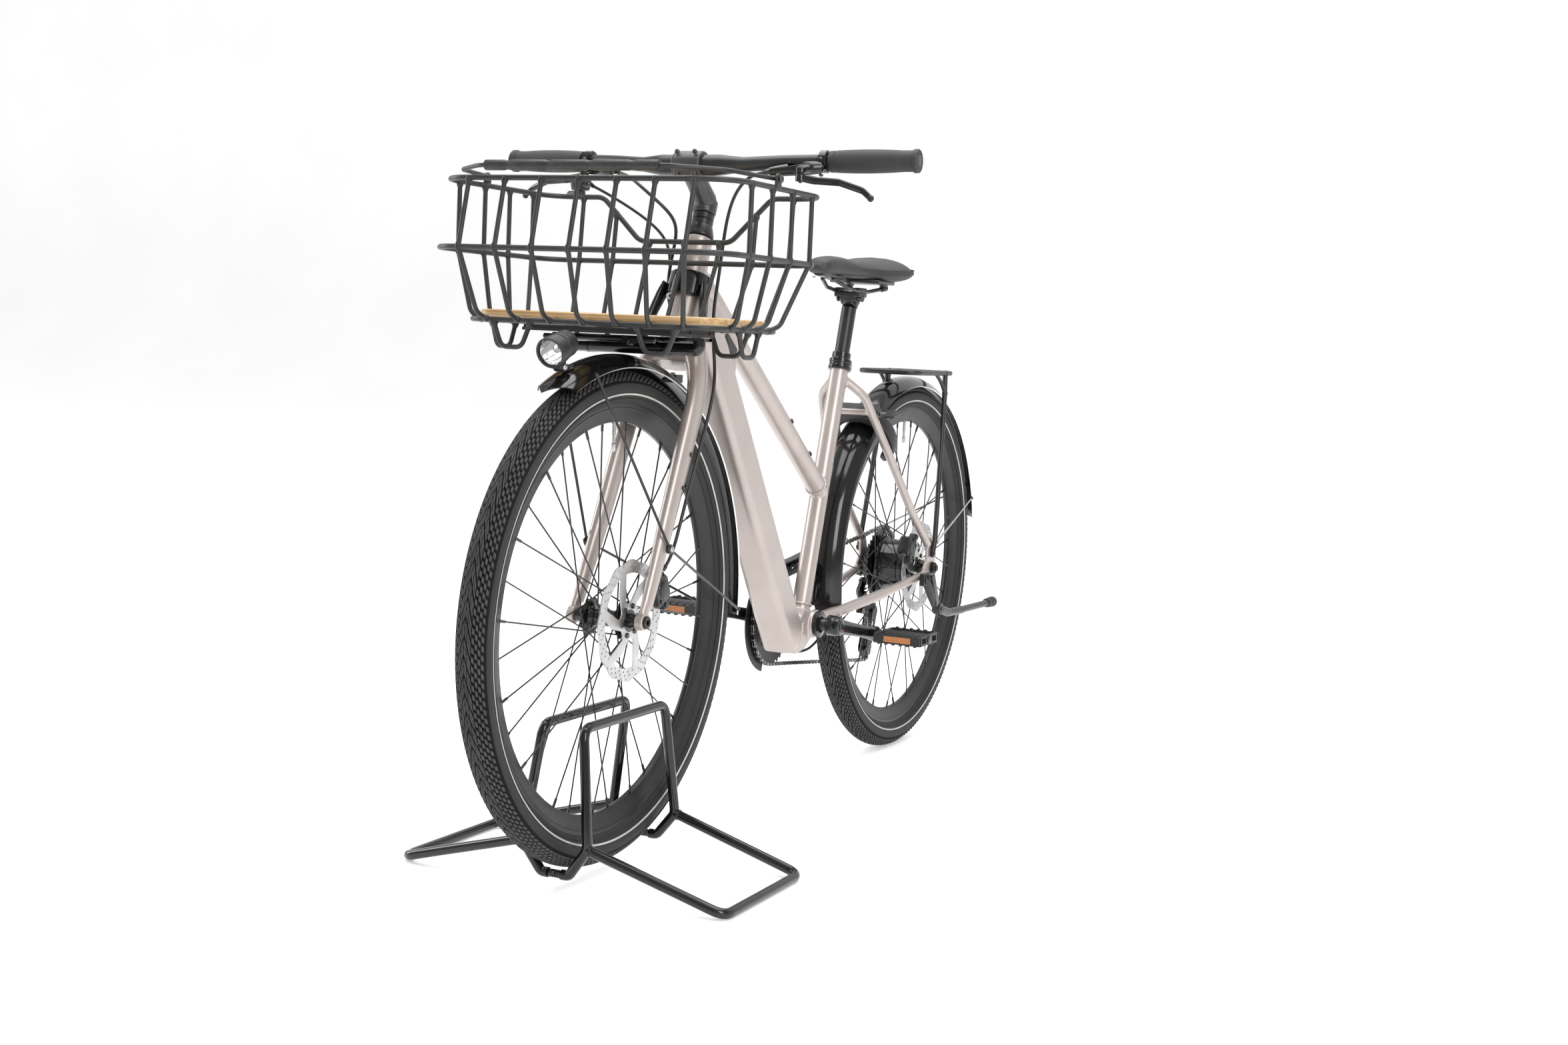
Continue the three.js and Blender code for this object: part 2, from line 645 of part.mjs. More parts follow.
// The chain's pitch line: tangents between circles, each turned clockwise (+1) or the other way (-1).
function chainLine() {
  const wraps = [
    { centre: v2(BB_Y, BB_Z), radius: CHAINRING_RADIUS + CHAIN_GAP, sense: 1 },
    { centre: v2(WHEELBASE, REAR_AXLE.z), radius: SPROCKET_RADII[0] + CHAIN_GAP, sense: 1 },
    { centre: UPPER_JOCKEY, radius: JOCKEY_RADIUS + CHAIN_GAP, sense: -1 },
    { centre: LOWER_JOCKEY, radius: JOCKEY_RADIUS + CHAIN_GAP, sense: 1 },
  ];
  const leaving = wraps.map((from, i) => {
    const to = wraps[(i + 1) % wraps.length];
    const span = to.centre.clone().sub(from.centre);
    const heading = Math.atan2(span.y, span.x);
    const [r1, r2] = [from.sense * from.radius, to.sense * to.radius];
    const offset = Math.asin((r2 - r1) / span.length());
    const normal = heading + Math.PI / 2 + offset;
    const point = (wrap, r) => v2(
      wrap.centre.x + r * Math.cos(normal),
      wrap.centre.y + r * Math.sin(normal),
    );
    return { start: point(from, r1), end: point(to, r2) };
  });
  const line = [];
  wraps.forEach((wrap, i) => {
    const arrive = leaving[(i + wraps.length - 1) % wraps.length].end;
    const leave = leaving[i].start;
    const a0 = Math.atan2(arrive.y - wrap.centre.y, arrive.x - wrap.centre.x);
    let turn = Math.atan2(leave.y - wrap.centre.y, leave.x - wrap.centre.x) - a0;
    while (wrap.sense * turn > 0) turn -= wrap.sense * 2 * Math.PI;
    const steps = Math.max(3, Math.ceil(Math.abs(turn) / 0.32));
    for (let k = 0; k <= steps; k += 1) {
      const angle = a0 + (turn * k) / steps;
      const y = wrap.centre.x + wrap.radius * Math.cos(angle);
      const z = wrap.centre.y + wrap.radius * Math.sin(angle);
      const share = THREE.MathUtils.clamp((y - BB_Y - 90) / (1040 - BB_Y - 90), 0, 1);
      line.push(v(FRONT_CHAIN_X + (REAR_CHAIN_X - FRONT_CHAIN_X) * share, y, z));
    }
  });
  return line;
}

function chain() {
  const line = chainLine();
  const section = [v2(-2.8, -3.6), v2(2.8, -3.6), v2(2.8, 3.6), v2(-2.8, 3.6)];
  const rings = line.map((p, i) => {
    const before = line[(i + line.length - 1) % line.length];
    const after = line[(i + 1) % line.length];
    const along = after.clone().sub(before).setX(0).normalize();
    return section.map((q) => p.clone().add(v(q.x, 0, 0)).addScaledVector(v(0, -along.z, along.y), q.y));
  });
  return loft(rings, section, true);
}

function jockeyWheel() {
  return sprocket(JOCKEY_RADIUS, 16, 2.2, 4.6);
}

function derailleur() {
  const axisPin = (at) => bar(v(-46, at.x, at.y), v(-27, at.x, at.y), 3.9, 3.9, 8);
  const cage = (x) => {
    const outline = [];
    for (const [centre, from] of [[UPPER_JOCKEY, 0], [LOWER_JOCKEY, 180]]) {
      for (let k = 0; k <= 4; k += 1) {
        const angle = (from - 18 + (180 * k) / 4) * RAD;
        outline.push([centre.x + 11 * Math.cos(angle), centre.y + 11 * Math.sin(angle)]);
      }
    }
    return plate(outline, x - 1, x + 1);
  };
  const knuckle = join([
    bar(v(-48, 1101, 274), v(-68, 1111, 300), 9, 10, 8),
    bar(v(-67, 1110, 299), v(-69, 1127, 321), 8, 7, 8),
    bar(v(-74, 1128, 321), v(-63, 1128, 321), 8.5, 8.5, 10),
  ]);
  const parts = [cage(-44), cage(-28.5), axisPin(UPPER_JOCKEY), axisPin(LOWER_JOCKEY), knuckle];
  return join(parts);
}

// Crank assembly in its own frame: the left arm along +Y, the spindle along X.
function crankset() {
  const ring = sprocket(CHAINRING_RADIUS, 32, 3, 56).translate(FRONT_CHAIN_X, 0, 0);
  const spider = [];
  for (let k = 0; k < 5; k += 1) {
    const turn = (k * 2 * Math.PI) / 5 + 0.3;
    spider.push(bar(v(FRONT_CHAIN_X - 4, 10 * Math.cos(turn), 10 * Math.sin(turn)),
      v(FRONT_CHAIN_X - 1, 60 * Math.cos(turn), 60 * Math.sin(turn)), 6, 4, 5));
  }
  const spindle = bar(v(-76, 0, 0), v(77, 0, 0), 11.6, 11.6, 12);
  const rightBoss = bar(v(-76, 0, 0), v(-47, 0, 0), 18, 18, 12);
  const arm = limb([
    [v(-66, -8, 0), 8, 15],
    [v(-70, -60, 0), 6.5, 12],
    [v(-78, -CRANK_LENGTH, 0), 6.5, 12],
  ], 8);
  const eye = bar(v(-85, -CRANK_LENGTH, 0), v(-72, -CRANK_LENGTH, 0), 14, 14, 10);
  const pin = bar(v(-184, -CRANK_LENGTH, 0), v(-80, -CRANK_LENGTH, 0), 4.6, 4.6, 6);
  return join([ring, ...spider, spindle, rightBoss, arm, eye, pin]);
}

function leftCrank() {
  const boss = bar(v(58, 0, 0), v(82, 0, 0), 18, 17, 12);
  const arm = limb([[v(70, 8, 0), 8, 15], [v(72, 60, 0), 6.5, 12], [v(78, CRANK_LENGTH, 0), 6.5, 12]], 8);
  const eye = bar(v(72, CRANK_LENGTH, 0), v(85, CRANK_LENGTH, 0), 14, 14, 10);
  const pin = bar(v(80, CRANK_LENGTH, 0), v(184, CRANK_LENGTH, 0), 4.6, 4.6, 6);
  return cut(join([boss, arm, eye, pin]), [bar(v(50, 0, 0), v(77.4, 0, 0), 11.6 + GAP, 11.6 + GAP, 12)]);
}

// Pedal cage round its own axle, which runs along X from the crank side outward.
function pedal(side) {
  const at = (x, y, z) => v(side * x, y, z);
  const boxes = [
    [8, -46, -9, 14, 46, 9],
    [92, -46, -9, 98, 46, 9],
    [8, -48, -9, 98, -40, 9],
    [8, 40, -9, 98, 48, 9],
    [8, -12, -7, 98, 12, 7],
  ];
  const frame = boxes.map(([x0, y0, z0, x1, y1, z1]) => {
    const [a, b] = [at(x0, y0, z0), at(x1, y1, z1)];
    return box(v(Math.min(a.x, b.x), y0, z0), v(Math.max(a.x, b.x), y1, z1));
  });
  return cut(join(frame), [bar(at(-1, 0, 0), at(97, 0, 0), 5.6, 5.6, 8)]);
}

// The cover over the chainring and the start of the chain's upper run.
function chainGuard() {
  const outline = [];
  for (let k = 0; k <= 9; k += 1) {
    const angle = (255 - (165 * k) / 9) * RAD;
    outline.push([BB_Y + 96 * Math.cos(angle), BB_Z + 96 * Math.sin(angle)]);
  }
  outline.push([800, 405], [905, 424], [914, 412], [905, 396], [800, 372], [728, 364]);
  for (let k = 0; k <= 8; k += 1) {
    const angle = (70 + (185 * k) / 8) * RAD;
    outline.push([BB_Y + 68 * Math.cos(angle), BB_Z + 68 * Math.sin(angle)]);
  }
  const cover = plate(outline, -59.5, -56.5);
  const lip = [[690, 389], [800, 405], [905, 424], [904, 427.5], [799, 408.5], [690, 392.5]];
  const flange = plate(lip, -58, -40);
  return join([cover, flange]);
}

// ---------------------------------------------------------------- kickstand
const KICK_PIVOT = v(92, 1128, 282);

function kickstandBracket() {
  const arm = limb([[v(87, 1070, 343), 7, 13], [v(90, 1092, 318), 8, 14], [v(91, 1112, 296), 7, 13]], 8);
  const clamp = box(v(79.6, 1052, 333), v(90, 1092, 356));
  return join([arm, clamp]);
}

function kickstandLeg() {
  const root = bar(v(84, KICK_PIVOT.y, KICK_PIVOT.z), v(101, KICK_PIVOT.y, KICK_PIVOT.z), 11, 11, 10);
  const elbow = rod(bend([v(95, 1132, 281), v(98, 1170, 270), v(106, 1230, 270)], 30, 2), 8, 8);
  const leg = bar(v(104.5, 1218, 270), v(118, 1352, 272.5), 7, 7, 8);
  const foot = bar(v(117, 1345, 272.4), v(120.5, 1380, 273), 9.5, 11, 8);
  return join([root, elbow, leg, foot]);
}

// ---------------------------------------------------------------- fork, stem and bars
function fork() {
  const steerer = bar(steer(790), steer(998), STEERER_RADIUS, STEERER_RADIUS, 14);
  const crownTop = steer(794);
  const neck = limb([[crownTop, 27.5, 27.5], [v(0, 180, 776), 31, 27], [v(0, 178, 764), 42, 26],
    [v(0, 171, 746), 52, 22]], 10);
  const parts = [steerer, neck];
  for (const side of [1, -1]) {
    const at = (x, y, z) => v(side * x, y, z);
    parts.push(limb([[at(34, 176, 764), 17, 21], [at(45, 165, 737), 14.5, 21], [at(52, 149, 700), 12.5, 20],
      [at(53, 128, 652), 12.5, 19], [at(55, 64, 510), 11, 16], [at(57.5, 14, 402), 7.5, 12.5]], 8));
    parts.push(bar(at(50.8, 0, FRONT_AXLE.z), at(64.5, 0, FRONT_AXLE.z), 13, 12, 12));
    parts.push(bar(at(57.5, 14, 404), at(57.5, 3, 384), 6, 6, 8));
    parts.push(bar(at(56, 53, 481), at(STAY_BOSS.x + 2.6, STAY_BOSS.y, STAY_BOSS.z), 6, 6, 8));
  }
  return cut(join(parts), [bar(v(-70, 0, FRONT_AXLE.z), v(70, 0, FRONT_AXLE.z), 6.5, 6.5, 12)]);
}

function headsetSpacers() {
  const cone = bar(steer(HEAD_TOP + 0.6), steer(961), 22, 17.5, 14);
  const stack = bar(steer(960.5), steer(980), 16.8, 16.8, 14);
  const bore = STEERER_RADIUS + 2 * GAP;
  return cut(join([cone, stack]), [bar(steer(930), steer(990), bore, bore, 14)]);
}

const BAR_CENTRE = v(0, 200, 1050);

function stem() {
  const socket = bar(steer(980.6), steer(1003), 18, 18, 14);
  const quill = bar(v(0, 256, 994), v(0, 206, 1044), 18, 16, 14);
  const clamp = bar(v(-24, BAR_CENTRE.y, BAR_CENTRE.z), v(24, BAR_CENTRE.y, BAR_CENTRE.z), 22, 22, 14);
  const bolts = [];
  for (const x of [-15, 15]) {
    bolts.push(bar(v(x, 182, 1027), v(x, 190, 1072), 4, 4, 6));
  }
  return cut(join([socket, quill, clamp, ...bolts]), [
    bar(steer(960), steer(999), STEERER_RADIUS + 2 * GAP, STEERER_RADIUS + 2 * GAP, 14),
    bar(v(-30, BAR_CENTRE.y, BAR_CENTRE.z), v(30, BAR_CENTRE.y, BAR_CENTRE.z), 16.4, 16.4, 14),
  ]);
}

// The bar's centre line on the left; the right side mirrors it.
const BAR_LINE = [v(0, 200, 1050), v(70, 203, 1051), v(145, 226, 1057), v(194, 241.8, 1059.7),
  v(BAR_HALF_WIDTH - 4, 251.7, 1061.9)];
const GRIP_START = 213;

function barTube(side, radius) {
  return rod(bend(BAR_LINE.map((p) => onSide(side, p)), 160, 2).slice(1), radius, 8);
}

function handlebar() {
  const parts = [bar(v(-50, 200, 1050), v(50, 200, 1050), 15.8, 15.8, 14)];
  for (const side of [1, -1]) {
    const at = (p) => onSide(side, p);
    parts.push(bar(at(v(48, 200.5, 1050.2)), at(v(84, 206, 1051.6)), 15.8, 11.1, 8));
    parts.push(barTube(side, 11.1));
  }
  return join(parts);
}

function gripAxis(side, x) {
  const t = (x - 212) / (BAR_HALF_WIDTH - 212);
  return v(side * x, 243 + 9 * t, 1060 + 2 * t);
}

function grip(side) {
  const profile = [[213.5, 15.8], [290, 17.6], [336, 15.6], [344, 17.4], [352, 17.2]];
  const segments = [];
  for (let i = 0; i < profile.length - 1; i += 1) {
    const [[x0, r0], [x1, r1]] = [profile[i], profile[i + 1]];
    segments.push(bar(gripAxis(side, x0), gripAxis(side, x1), r0, r1, 10));
  }
  return cut(join(segments), [bar(gripAxis(side, 200), gripAxis(side, 349), 12.4, 12.4, 8)]);
}

const LEVER_PIVOT = v(186, 197, 1036);

// Clamp band, reservoir body and the fork that holds the lever.
function brakeBody(side) {
  const at = (x, y, z) => v(side * x, y, z);
  const band = bar(gripAxis(side, 198), gripAxis(side, 210), 17, 17, 12);
  const body = bar(at(203, 224, 1049), at(136, 198, 1041), 9.5, 8, 10);
  const neck = bar(at(203, 238, 1054), at(203, 222, 1048), 9, 9, 8);
  const onPivot = (z) => at(LEVER_PIVOT.x, LEVER_PIVOT.y, z);
  const knuckle = bar(onPivot(1038.6), onPivot(1047), 8, 8, 8);
  const link = bar(at(LEVER_PIVOT.x, 199, 1045), at(192, 217, 1047), 5.6, 6.6, 6);
  const pin = bar(onPivot(1024), onPivot(1045), 2.6, 2.6, 6);
  return cut(join([band, body, neck, knuckle, link, pin]), [barTube(side, 12.1)]);
}

function brakeLever(side) {
  const at = (x, y, z) => v(side * x, y, z);
  const onPivot = (z) => at(LEVER_PIVOT.x, LEVER_PIVOT.y, z);
  const hubPiece = bar(onPivot(1026), onPivot(1038), 7.5, 7.5, 10);
  const blade = rod(bend([at(189, 196, 1032), at(214, 190, 1027), at(250, 194, 1025), at(284, 204, 1014),
    at(297, 204, 1003)], 18, 2), 5, 6);
  return cut(join([hubPiece, blade]), [bar(onPivot(1020), onPivot(1060), 3.3, 3.3, 8)]);
}

const SHIFT_PIVOT = v(-208, 224, 1013);

function onShiftPivot(z) {
  return v(SHIFT_PIVOT.x, SHIFT_PIVOT.y, z);
}

// The gear pod hangs under the brake clamp; its thumb lever turns below it.
function shifterBody() {
  const hanger = bar(v(-214, 240, 1041.4), v(-212, 230, 1026), 5, 7, 8);
  const pod = bar(onShiftPivot(1013.4), onShiftPivot(1031), 14, 17, 14);
  return cut(join([hanger, pod]), [bar(onShiftPivot(1010), onShiftPivot(1023), 3.9, 3.9, 8)]);
}

function shiftLever() {
  const post = bar(onShiftPivot(1008), onShiftPivot(1022), 3, 3, 8);
  const disc = bar(onShiftPivot(1006), onShiftPivot(1012.6), 8, 8, 10);
  const paddle = bar(v(SHIFT_PIVOT.x - 4, SHIFT_PIVOT.y + 2, 1009), v(-238, 241, 1008), 3, 6, 6);
  return join([post, disc, paddle]);
}

// ---------------------------------------------------------------- lamp
const LAMP_PIVOT = v(0, -152, 741);
const LAMP_DOWN = 20;
const LAMP_AXIS = 26.5;              // the lamp's centre line above its pivot

function lampBracket() {
  const seatAngle = -20 * RAD;
  const onCrown = (radius) => v(
    0,
    radius * Math.sin(seatAngle),
    FRONT_AXLE.z + radius * Math.cos(seatAngle),
  );
  const foot = bar(onCrown(FRONT_GUARD_RADIUS + 0.5), onCrown(FRONT_GUARD_RADIUS + 4), 8, 7, 10);
  const strap = rod([v(0, -133, 741.5), v(0, -143, 739), v(0, -152, 741)], 2.8, 6);
  const ear = plate(circle(LAMP_PIVOT.y, LAMP_PIVOT.z, 4.6, 10), -3, 3);
  const pin = bar(v(-9, LAMP_PIVOT.y, LAMP_PIVOT.z), v(9, LAMP_PIVOT.y, LAMP_PIVOT.z), 2.4, 2.4, 8);
  return join([foot, strap, ear, pin]);
}

// The lamp in its own frame: the pivot at the origin, the beam along -Y.
const lampFrame = new THREE.Group();
lampFrame.position.copy(LAMP_PIVOT);
lampFrame.rotation.x = LAMP_DOWN * RAD;

function lampBody() {
  const shell = bar(v(0, 31, LAMP_AXIS), v(0, -20, LAMP_AXIS), 18.5, 22, 20);
  const ear = (x0, x1) => box(v(x0, -5, -5), v(x1, 6, 9));
  return cut(join([shell, ear(-7.4, -3.6), ear(3.6, 7.4)]), [
    bar(v(0, -6, LAMP_AXIS), v(0, -22, LAMP_AXIS), 15.5, 20, 20),
    bar(v(-10, 0, 0), v(10, 0, 0), 3, 3, 8),
  ]);
}

function lampLens() {
  return bar(v(0, -7, LAMP_AXIS), v(0, -18, LAMP_AXIS), 15, 18, 20);
}

// ---------------------------------------------------------------- basket and carrier
const RIM_Z = 1000;
const MIDDLE_Z = 902;
const FLOOR_Z = 803;
const DIP_Z = 934;
const RIM_BOX = { half: 236, front: -120, rear: 190, corner: 52 };
const MIDDLE_BOX = { half: 236, front: -142, rear: 182, corner: 52 };
const FLOOR_BOX = { half: 203, front: -96, rear: 124, corner: 42 };

function ringPath({ half, front, rear, corner }, z, steps = 3) {
  const corners = [[half - corner, front + corner, -90], [half - corner, rear - corner, 0],
    [-(half - corner), rear - corner, 90], [-(half - corner), front + corner, 180]];
  const points = [];
  for (const [x, y, from] of corners) {
    for (let k = 0; k <= steps; k += 1) {
      const angle = (from + (90 * k) / steps) * RAD;
      points.push(v(x + corner * Math.cos(angle), y + corner * Math.sin(angle), z));
    }
  }
  return points;
}

const BAIL_PIVOT = v(0, 12, 1013);
const BAIL_WIRE = 3.2;

function topRimPath() {
  const points = ringPath(RIM_BOX, RIM_Z);
  const dip = [[145, RIM_Z], [78, DIP_Z], [-78, DIP_Z], [-145, RIM_Z]];
  points.splice(8, 0, ...dip.map(([x, z]) => v(x, RIM_BOX.rear, z)));
  return points;
}

// One upright wire: from the rim down to the middle ring, then in to the floor ring.
function upright(rimPoint, middlePoint, floorPoint) {
  const low = v(floorPoint.x, floorPoint.y, FLOOR_Z);
  const knee = middlePoint.clone().lerp(low, 0.86);
  return rod([rimPoint, middlePoint, knee, low], BASKET_WIRE, 4);
}

function hook(a, b) {
  const drop = v(0, 0, -38);
  const low = [0.25, 0.75].map((t) => a.clone().lerp(b, t).add(drop));
  return rod(bend([a, ...low, b], 10, 1), BASKET_WIRE, 4);
}

function basketWires() {
  const parts = [
    closedRod(topRimPath(), BASKET_WIRE + 0.5, 5),
    closedRod(ringPath(MIDDLE_BOX, MIDDLE_Z), BASKET_WIRE, 4),
    closedRod(ringPath(FLOOR_BOX, FLOOR_Z), BASKET_WIRE + 0.5, 5),
  ];
  const pitch = 60;
  for (let k = -3; k <= 3; k += 1) {
    const [x, xLow] = [k * pitch, k * pitch * 0.88];
    const rearTop = Math.abs(x) > 100 ? RIM_Z : DIP_Z;
    for (const [edge, top] of [['front', RIM_Z], ['rear', rearTop]]) {
      const knee = v(x, MIDDLE_BOX[edge], MIDDLE_Z);
      parts.push(upright(v(x, RIM_BOX[edge], top), knee, v(xLow, FLOOR_BOX[edge], 0)));
    }
  }
  for (const side of [1, -1]) {
    for (let k = 0; k < 4; k += 1) {
      const y = -62 + 65 * k;
      const yLow = -46 + 40 * k;
      parts.push(upright(v(side * RIM_BOX.half, y, RIM_Z), v(side * MIDDLE_BOX.half, y, MIDDLE_Z),
        v(side * FLOOR_BOX.half, yLow, 0)));
    }
    parts.push(hook(v(side * FLOOR_BOX.half, -18, FLOOR_Z), v(side * FLOOR_BOX.half, 46, FLOOR_Z)));
    for (const y of [FLOOR_BOX.front, FLOOR_BOX.rear]) {
      parts.push(hook(v(side * 85, y, FLOOR_Z), v(side * 149, y, FLOOR_Z)));
    }
    const crossRod = [v(side * 70, FLOOR_BOX.front, FLOOR_Z), v(side * 70, FLOOR_BOX.rear, FLOOR_Z)];
    parts.push(rod(crossRod, BASKET_WIRE, 4));
  }
  const earHoles = [];
  for (const side of [1, -1]) {
    const ear = plate([[BAIL_PIVOT.y - 8, RIM_Z - 2], [BAIL_PIVOT.y + 8, RIM_Z - 2],
      [BAIL_PIVOT.y + 8, RIM_Z + 20], [BAIL_PIVOT.y - 8, RIM_Z + 20]], 238, 241);
    parts.push(side > 0 ? ear : ear.mirror([1, 0, 0]));
    earHoles.push(bar(v(side * 230, BAIL_PIVOT.y, BAIL_PIVOT.z), v(side * 250, BAIL_PIVOT.y, BAIL_PIVOT.z),
      BAIL_WIRE + 0.6, BAIL_WIRE + 0.6, 8));
  }
  return cut(join(parts), earHoles);
}

function basketBail() {
  const line = [v(244, BAIL_PIVOT.y, BAIL_PIVOT.z), v(232, BAIL_PIVOT.y, BAIL_PIVOT.z),
    v(214, -90, 1014), v(150, -142, 1015), v(-150, -142, 1015), v(-214, -90, 1014),
    v(-232, BAIL_PIVOT.y, BAIL_PIVOT.z), v(-244, BAIL_PIVOT.y, BAIL_PIVOT.z)];
  const bow = rod(bend(line, 40, 2), BAIL_WIRE, 6);
  const sleeve = bar(v(-138, -142, 1015), v(138, -142, 1015), 7.5, 7.5, 10);
  return join([bow, sleeve]);
}

function basketFloor() {
  const { corner } = FLOOR_BOX;
  const inner = {
    half: FLOOR_BOX.half - 10,
    front: FLOOR_BOX.front + 10,
    rear: FLOOR_BOX.rear - 10,
    corner: corner - 8,
  };
  const outline = ringPath(inner, 0, 3);
  const shape = new THREE.Shape(outline.map((p) => v2(p.x, p.y)));
  const geometry = new THREE.ExtrudeGeometry(shape, { depth: 10, bevelEnabled: false });
  geometry.translate(0, 0, FLOOR_Z + BASKET_WIRE + 1.2);
  return solid(geometry);
}

function basketAdapter() {
  return box(v(-122, -62, 790), v(122, 66, FLOOR_Z - BASKET_WIRE - 0.9));
}

function frontCarrier() {
  const collar = cut(bar(steer(846), steer(886), 33.5, 31.5, 16), [
    bar(steer(HEAD_BOTTOM), steer(HEAD_TOP), 27.5 + 2 * GAP, 21.5 + 2 * GAP, 16),
    plate([[203, 940], [330, 940], [330, 760], [203, 760]], -60, 60),
  ]);
  const parts = [collar];
  for (const side of [1, -1]) {
    const at = (x, y, z) => v(side * x, y, z);
    parts.push(limb([[at(34, 197, 868), 5, 13], [at(38, 188, 848), 6, 12], [at(44, 176, 822), 6, 10],
      [at(46, 162, 797), 6, 9], [at(46, 140, 783), 6, 5.5], [at(46, -58, 783), 6, 5]], 6));
  }
  parts.push(bar(v(-90, -52, 783), v(90, -52, 783), 4, 4, 6));
  const tube = bend([v(-118, 29, 788.5), v(-118, 29, 772), v(118, 29, 772), v(118, 29, 788.5)], 13, 2);
  parts.push(rod(tube, 9, 8));
  parts.push(box(v(-122, 20, 785), v(-100, 60, 789.4)), box(v(100, 20, 785), v(122, 60, 789.4)));
  parts.push(box(v(-122, 50, 784), v(122, 62, 789.4)));
  return join(parts);
}

// ---------------------------------------------------------------- hoses and cable
const FRONT_HOSE = [v(132, 202, 1040), v(104, 200, 1036), v(72, 214, 1012), v(50, 232, 975),
  v(42, 236, 930), v(41, 228, 880), v(43, 212, 830), v(55, 194, 780), v(68, 178, 735),
  v(70.5, 165, 690), v(68, 120, 590), v(66, 92, 520), v(60, 78, 468), v(47, 78, 446)];
const REAR_HOSE = [v(-132, 202, 1040), v(-108, 193, 1035), v(-78, 178, 1020), v(-46, 178, 996),
  v(-22, 204, 965),
  v(-30, 212, 925), v(-39, 214, 880), v(-40, 222, 840), v(-37, 242, 806), v(-36, 262, 775)];
const SHIFT_CABLE = [v(-186, 213, 1022), v(-160, 208, 1012), v(-120, 210, 992), v(-80, 222, 966),
  v(-52, 234, 935), v(-47, 234, 890), v(-47, 236, 850), v(-46, 250, 815), v(-44, 268, 783)];

function frontHose() {
  return hose(FRONT_HOSE, 2.6, 24);
}

function rearHose() {
  return hose(REAR_HOSE, 2.6, 18);
}

function shiftCable() {
  return hose(SHIFT_CABLE, 2.3, 16);
}

// ---------------------------------------------------------------- saddle and post
const POST_TOP = 866;

function seatpost() {
  const tube = bar(seat(640), seat(POST_TOP), POST_RADIUS, POST_RADIUS, 12);
  const head = bar(v(-15, 834, 874), v(15, 834, 874), 13, 13, 10);
  const bolt = bar(v(-23, 834, 874), v(23, 834, 874), 5, 5, 6);
  const cradle = box(v(-24, 816, 880), v(24, 852, 890));
  const parts = [tube, head, bolt, cradle];
  for (const side of [1, -1]) {
    const at = (x, y, z) => v(side * x, y, z);
    const rail = [at(10, 728, 906), at(20, 772, 893), at(22, 812, 889), at(22, 862, 889),
      at(34, 905, 897)];
    parts.push(rod(bend(rail, 24, 1), 3.5, 6));
  }
  return join(parts);
}

// Saddle sections from nose to tail: [y, half width, top, bottom].
function saddle() {
  const stations = [[676, 8, 928, 919], [684, 19, 938, 914], [705, 24, 944, 912], [750, 28, 947, 913],
    [800, 41, 945, 913], [845, 64, 946, 912], [885, 83, 951, 909], [915, 88, 955, 909], [938, 80, 955, 914],
    [950, 60, 951, 924]];
  const unit = round(1, 16);
  const rings = stations.map(([y, half, top, bottom]) => unit.map((p) => {
    const wing = 1 - Math.abs(p.x) ** 3;
    const droop = half > 50 ? 14 * Math.abs(p.x) ** 2.4 : 2 * Math.abs(p.x);
    const z = p.y > 0 ? bottom + 6 + (top - bottom - 6) * Math.min(1, p.y * 1.05) : bottom + 6 + 6 * p.y;
    return v(p.x * half, y, z - droop * (1 - 0.2 * wing));
  }));
  return loft(rings, unit);
}

// ---------------------------------------------------------------- assembly
function place(group, at) {
  group.position.copy(at);
  bicycle.add(group);
  return group;
}

function buildFrame() {
  add(bicycle, "main_frame", mainFrame(), champagne);
  add(bicycle, "charge_port_cover", chargePortCover(), satinBlack);
  add(bicycle, "seat_clamp", seatClamp(), glossBlack);
  add(bicycle, "rear_mudguard", rearMudguard(), glossBlack);
  add(bicycle, "rear_rack", rearRack(), satinBlack);
  add(bicycle, "front_carrier", frontCarrier(), satinBlack);
  const rearCaliper = new THREE.Group();
  rearCaliper.rotation.x = 150.3 * RAD;
  add(rearCaliper, "rear_brake_caliper", caliper(15.5), satinBlack);
  place(rearCaliper, v(REAR_ROTOR_X, WHEELBASE - 73, REAR_AXLE.z + 41.6));
  add(bicycle, "rear_axle", join([
    bar(v(-86, WHEELBASE, REAR_AXLE.z), v(86, WHEELBASE, REAR_AXLE.z), 6, 6, 14),
    bar(v(74.4, WHEELBASE, REAR_AXLE.z), v(83, WHEELBASE, REAR_AXLE.z), 11, 11, 6),
    bar(v(-83, WHEELBASE, REAR_AXLE.z), v(-74.4, WHEELBASE, REAR_AXLE.z), 11, 11, 6),
  ]), blackAlloy);
  bicycle.add(lockFrame);
  add(lockFrame, "ring_lock_body", lockBody(), satinBlack);
  add(lockFrame, "ring_lock_bolt", lockBolt(), steel);
  add(lockFrame, "lock_key", lockKey(), steel);
  add(bicycle, "kickstand_bracket", kickstandBracket(), satinBlack);
  add(bicycle, "kickstand_leg", kickstandLeg(), greyAlloy);
}

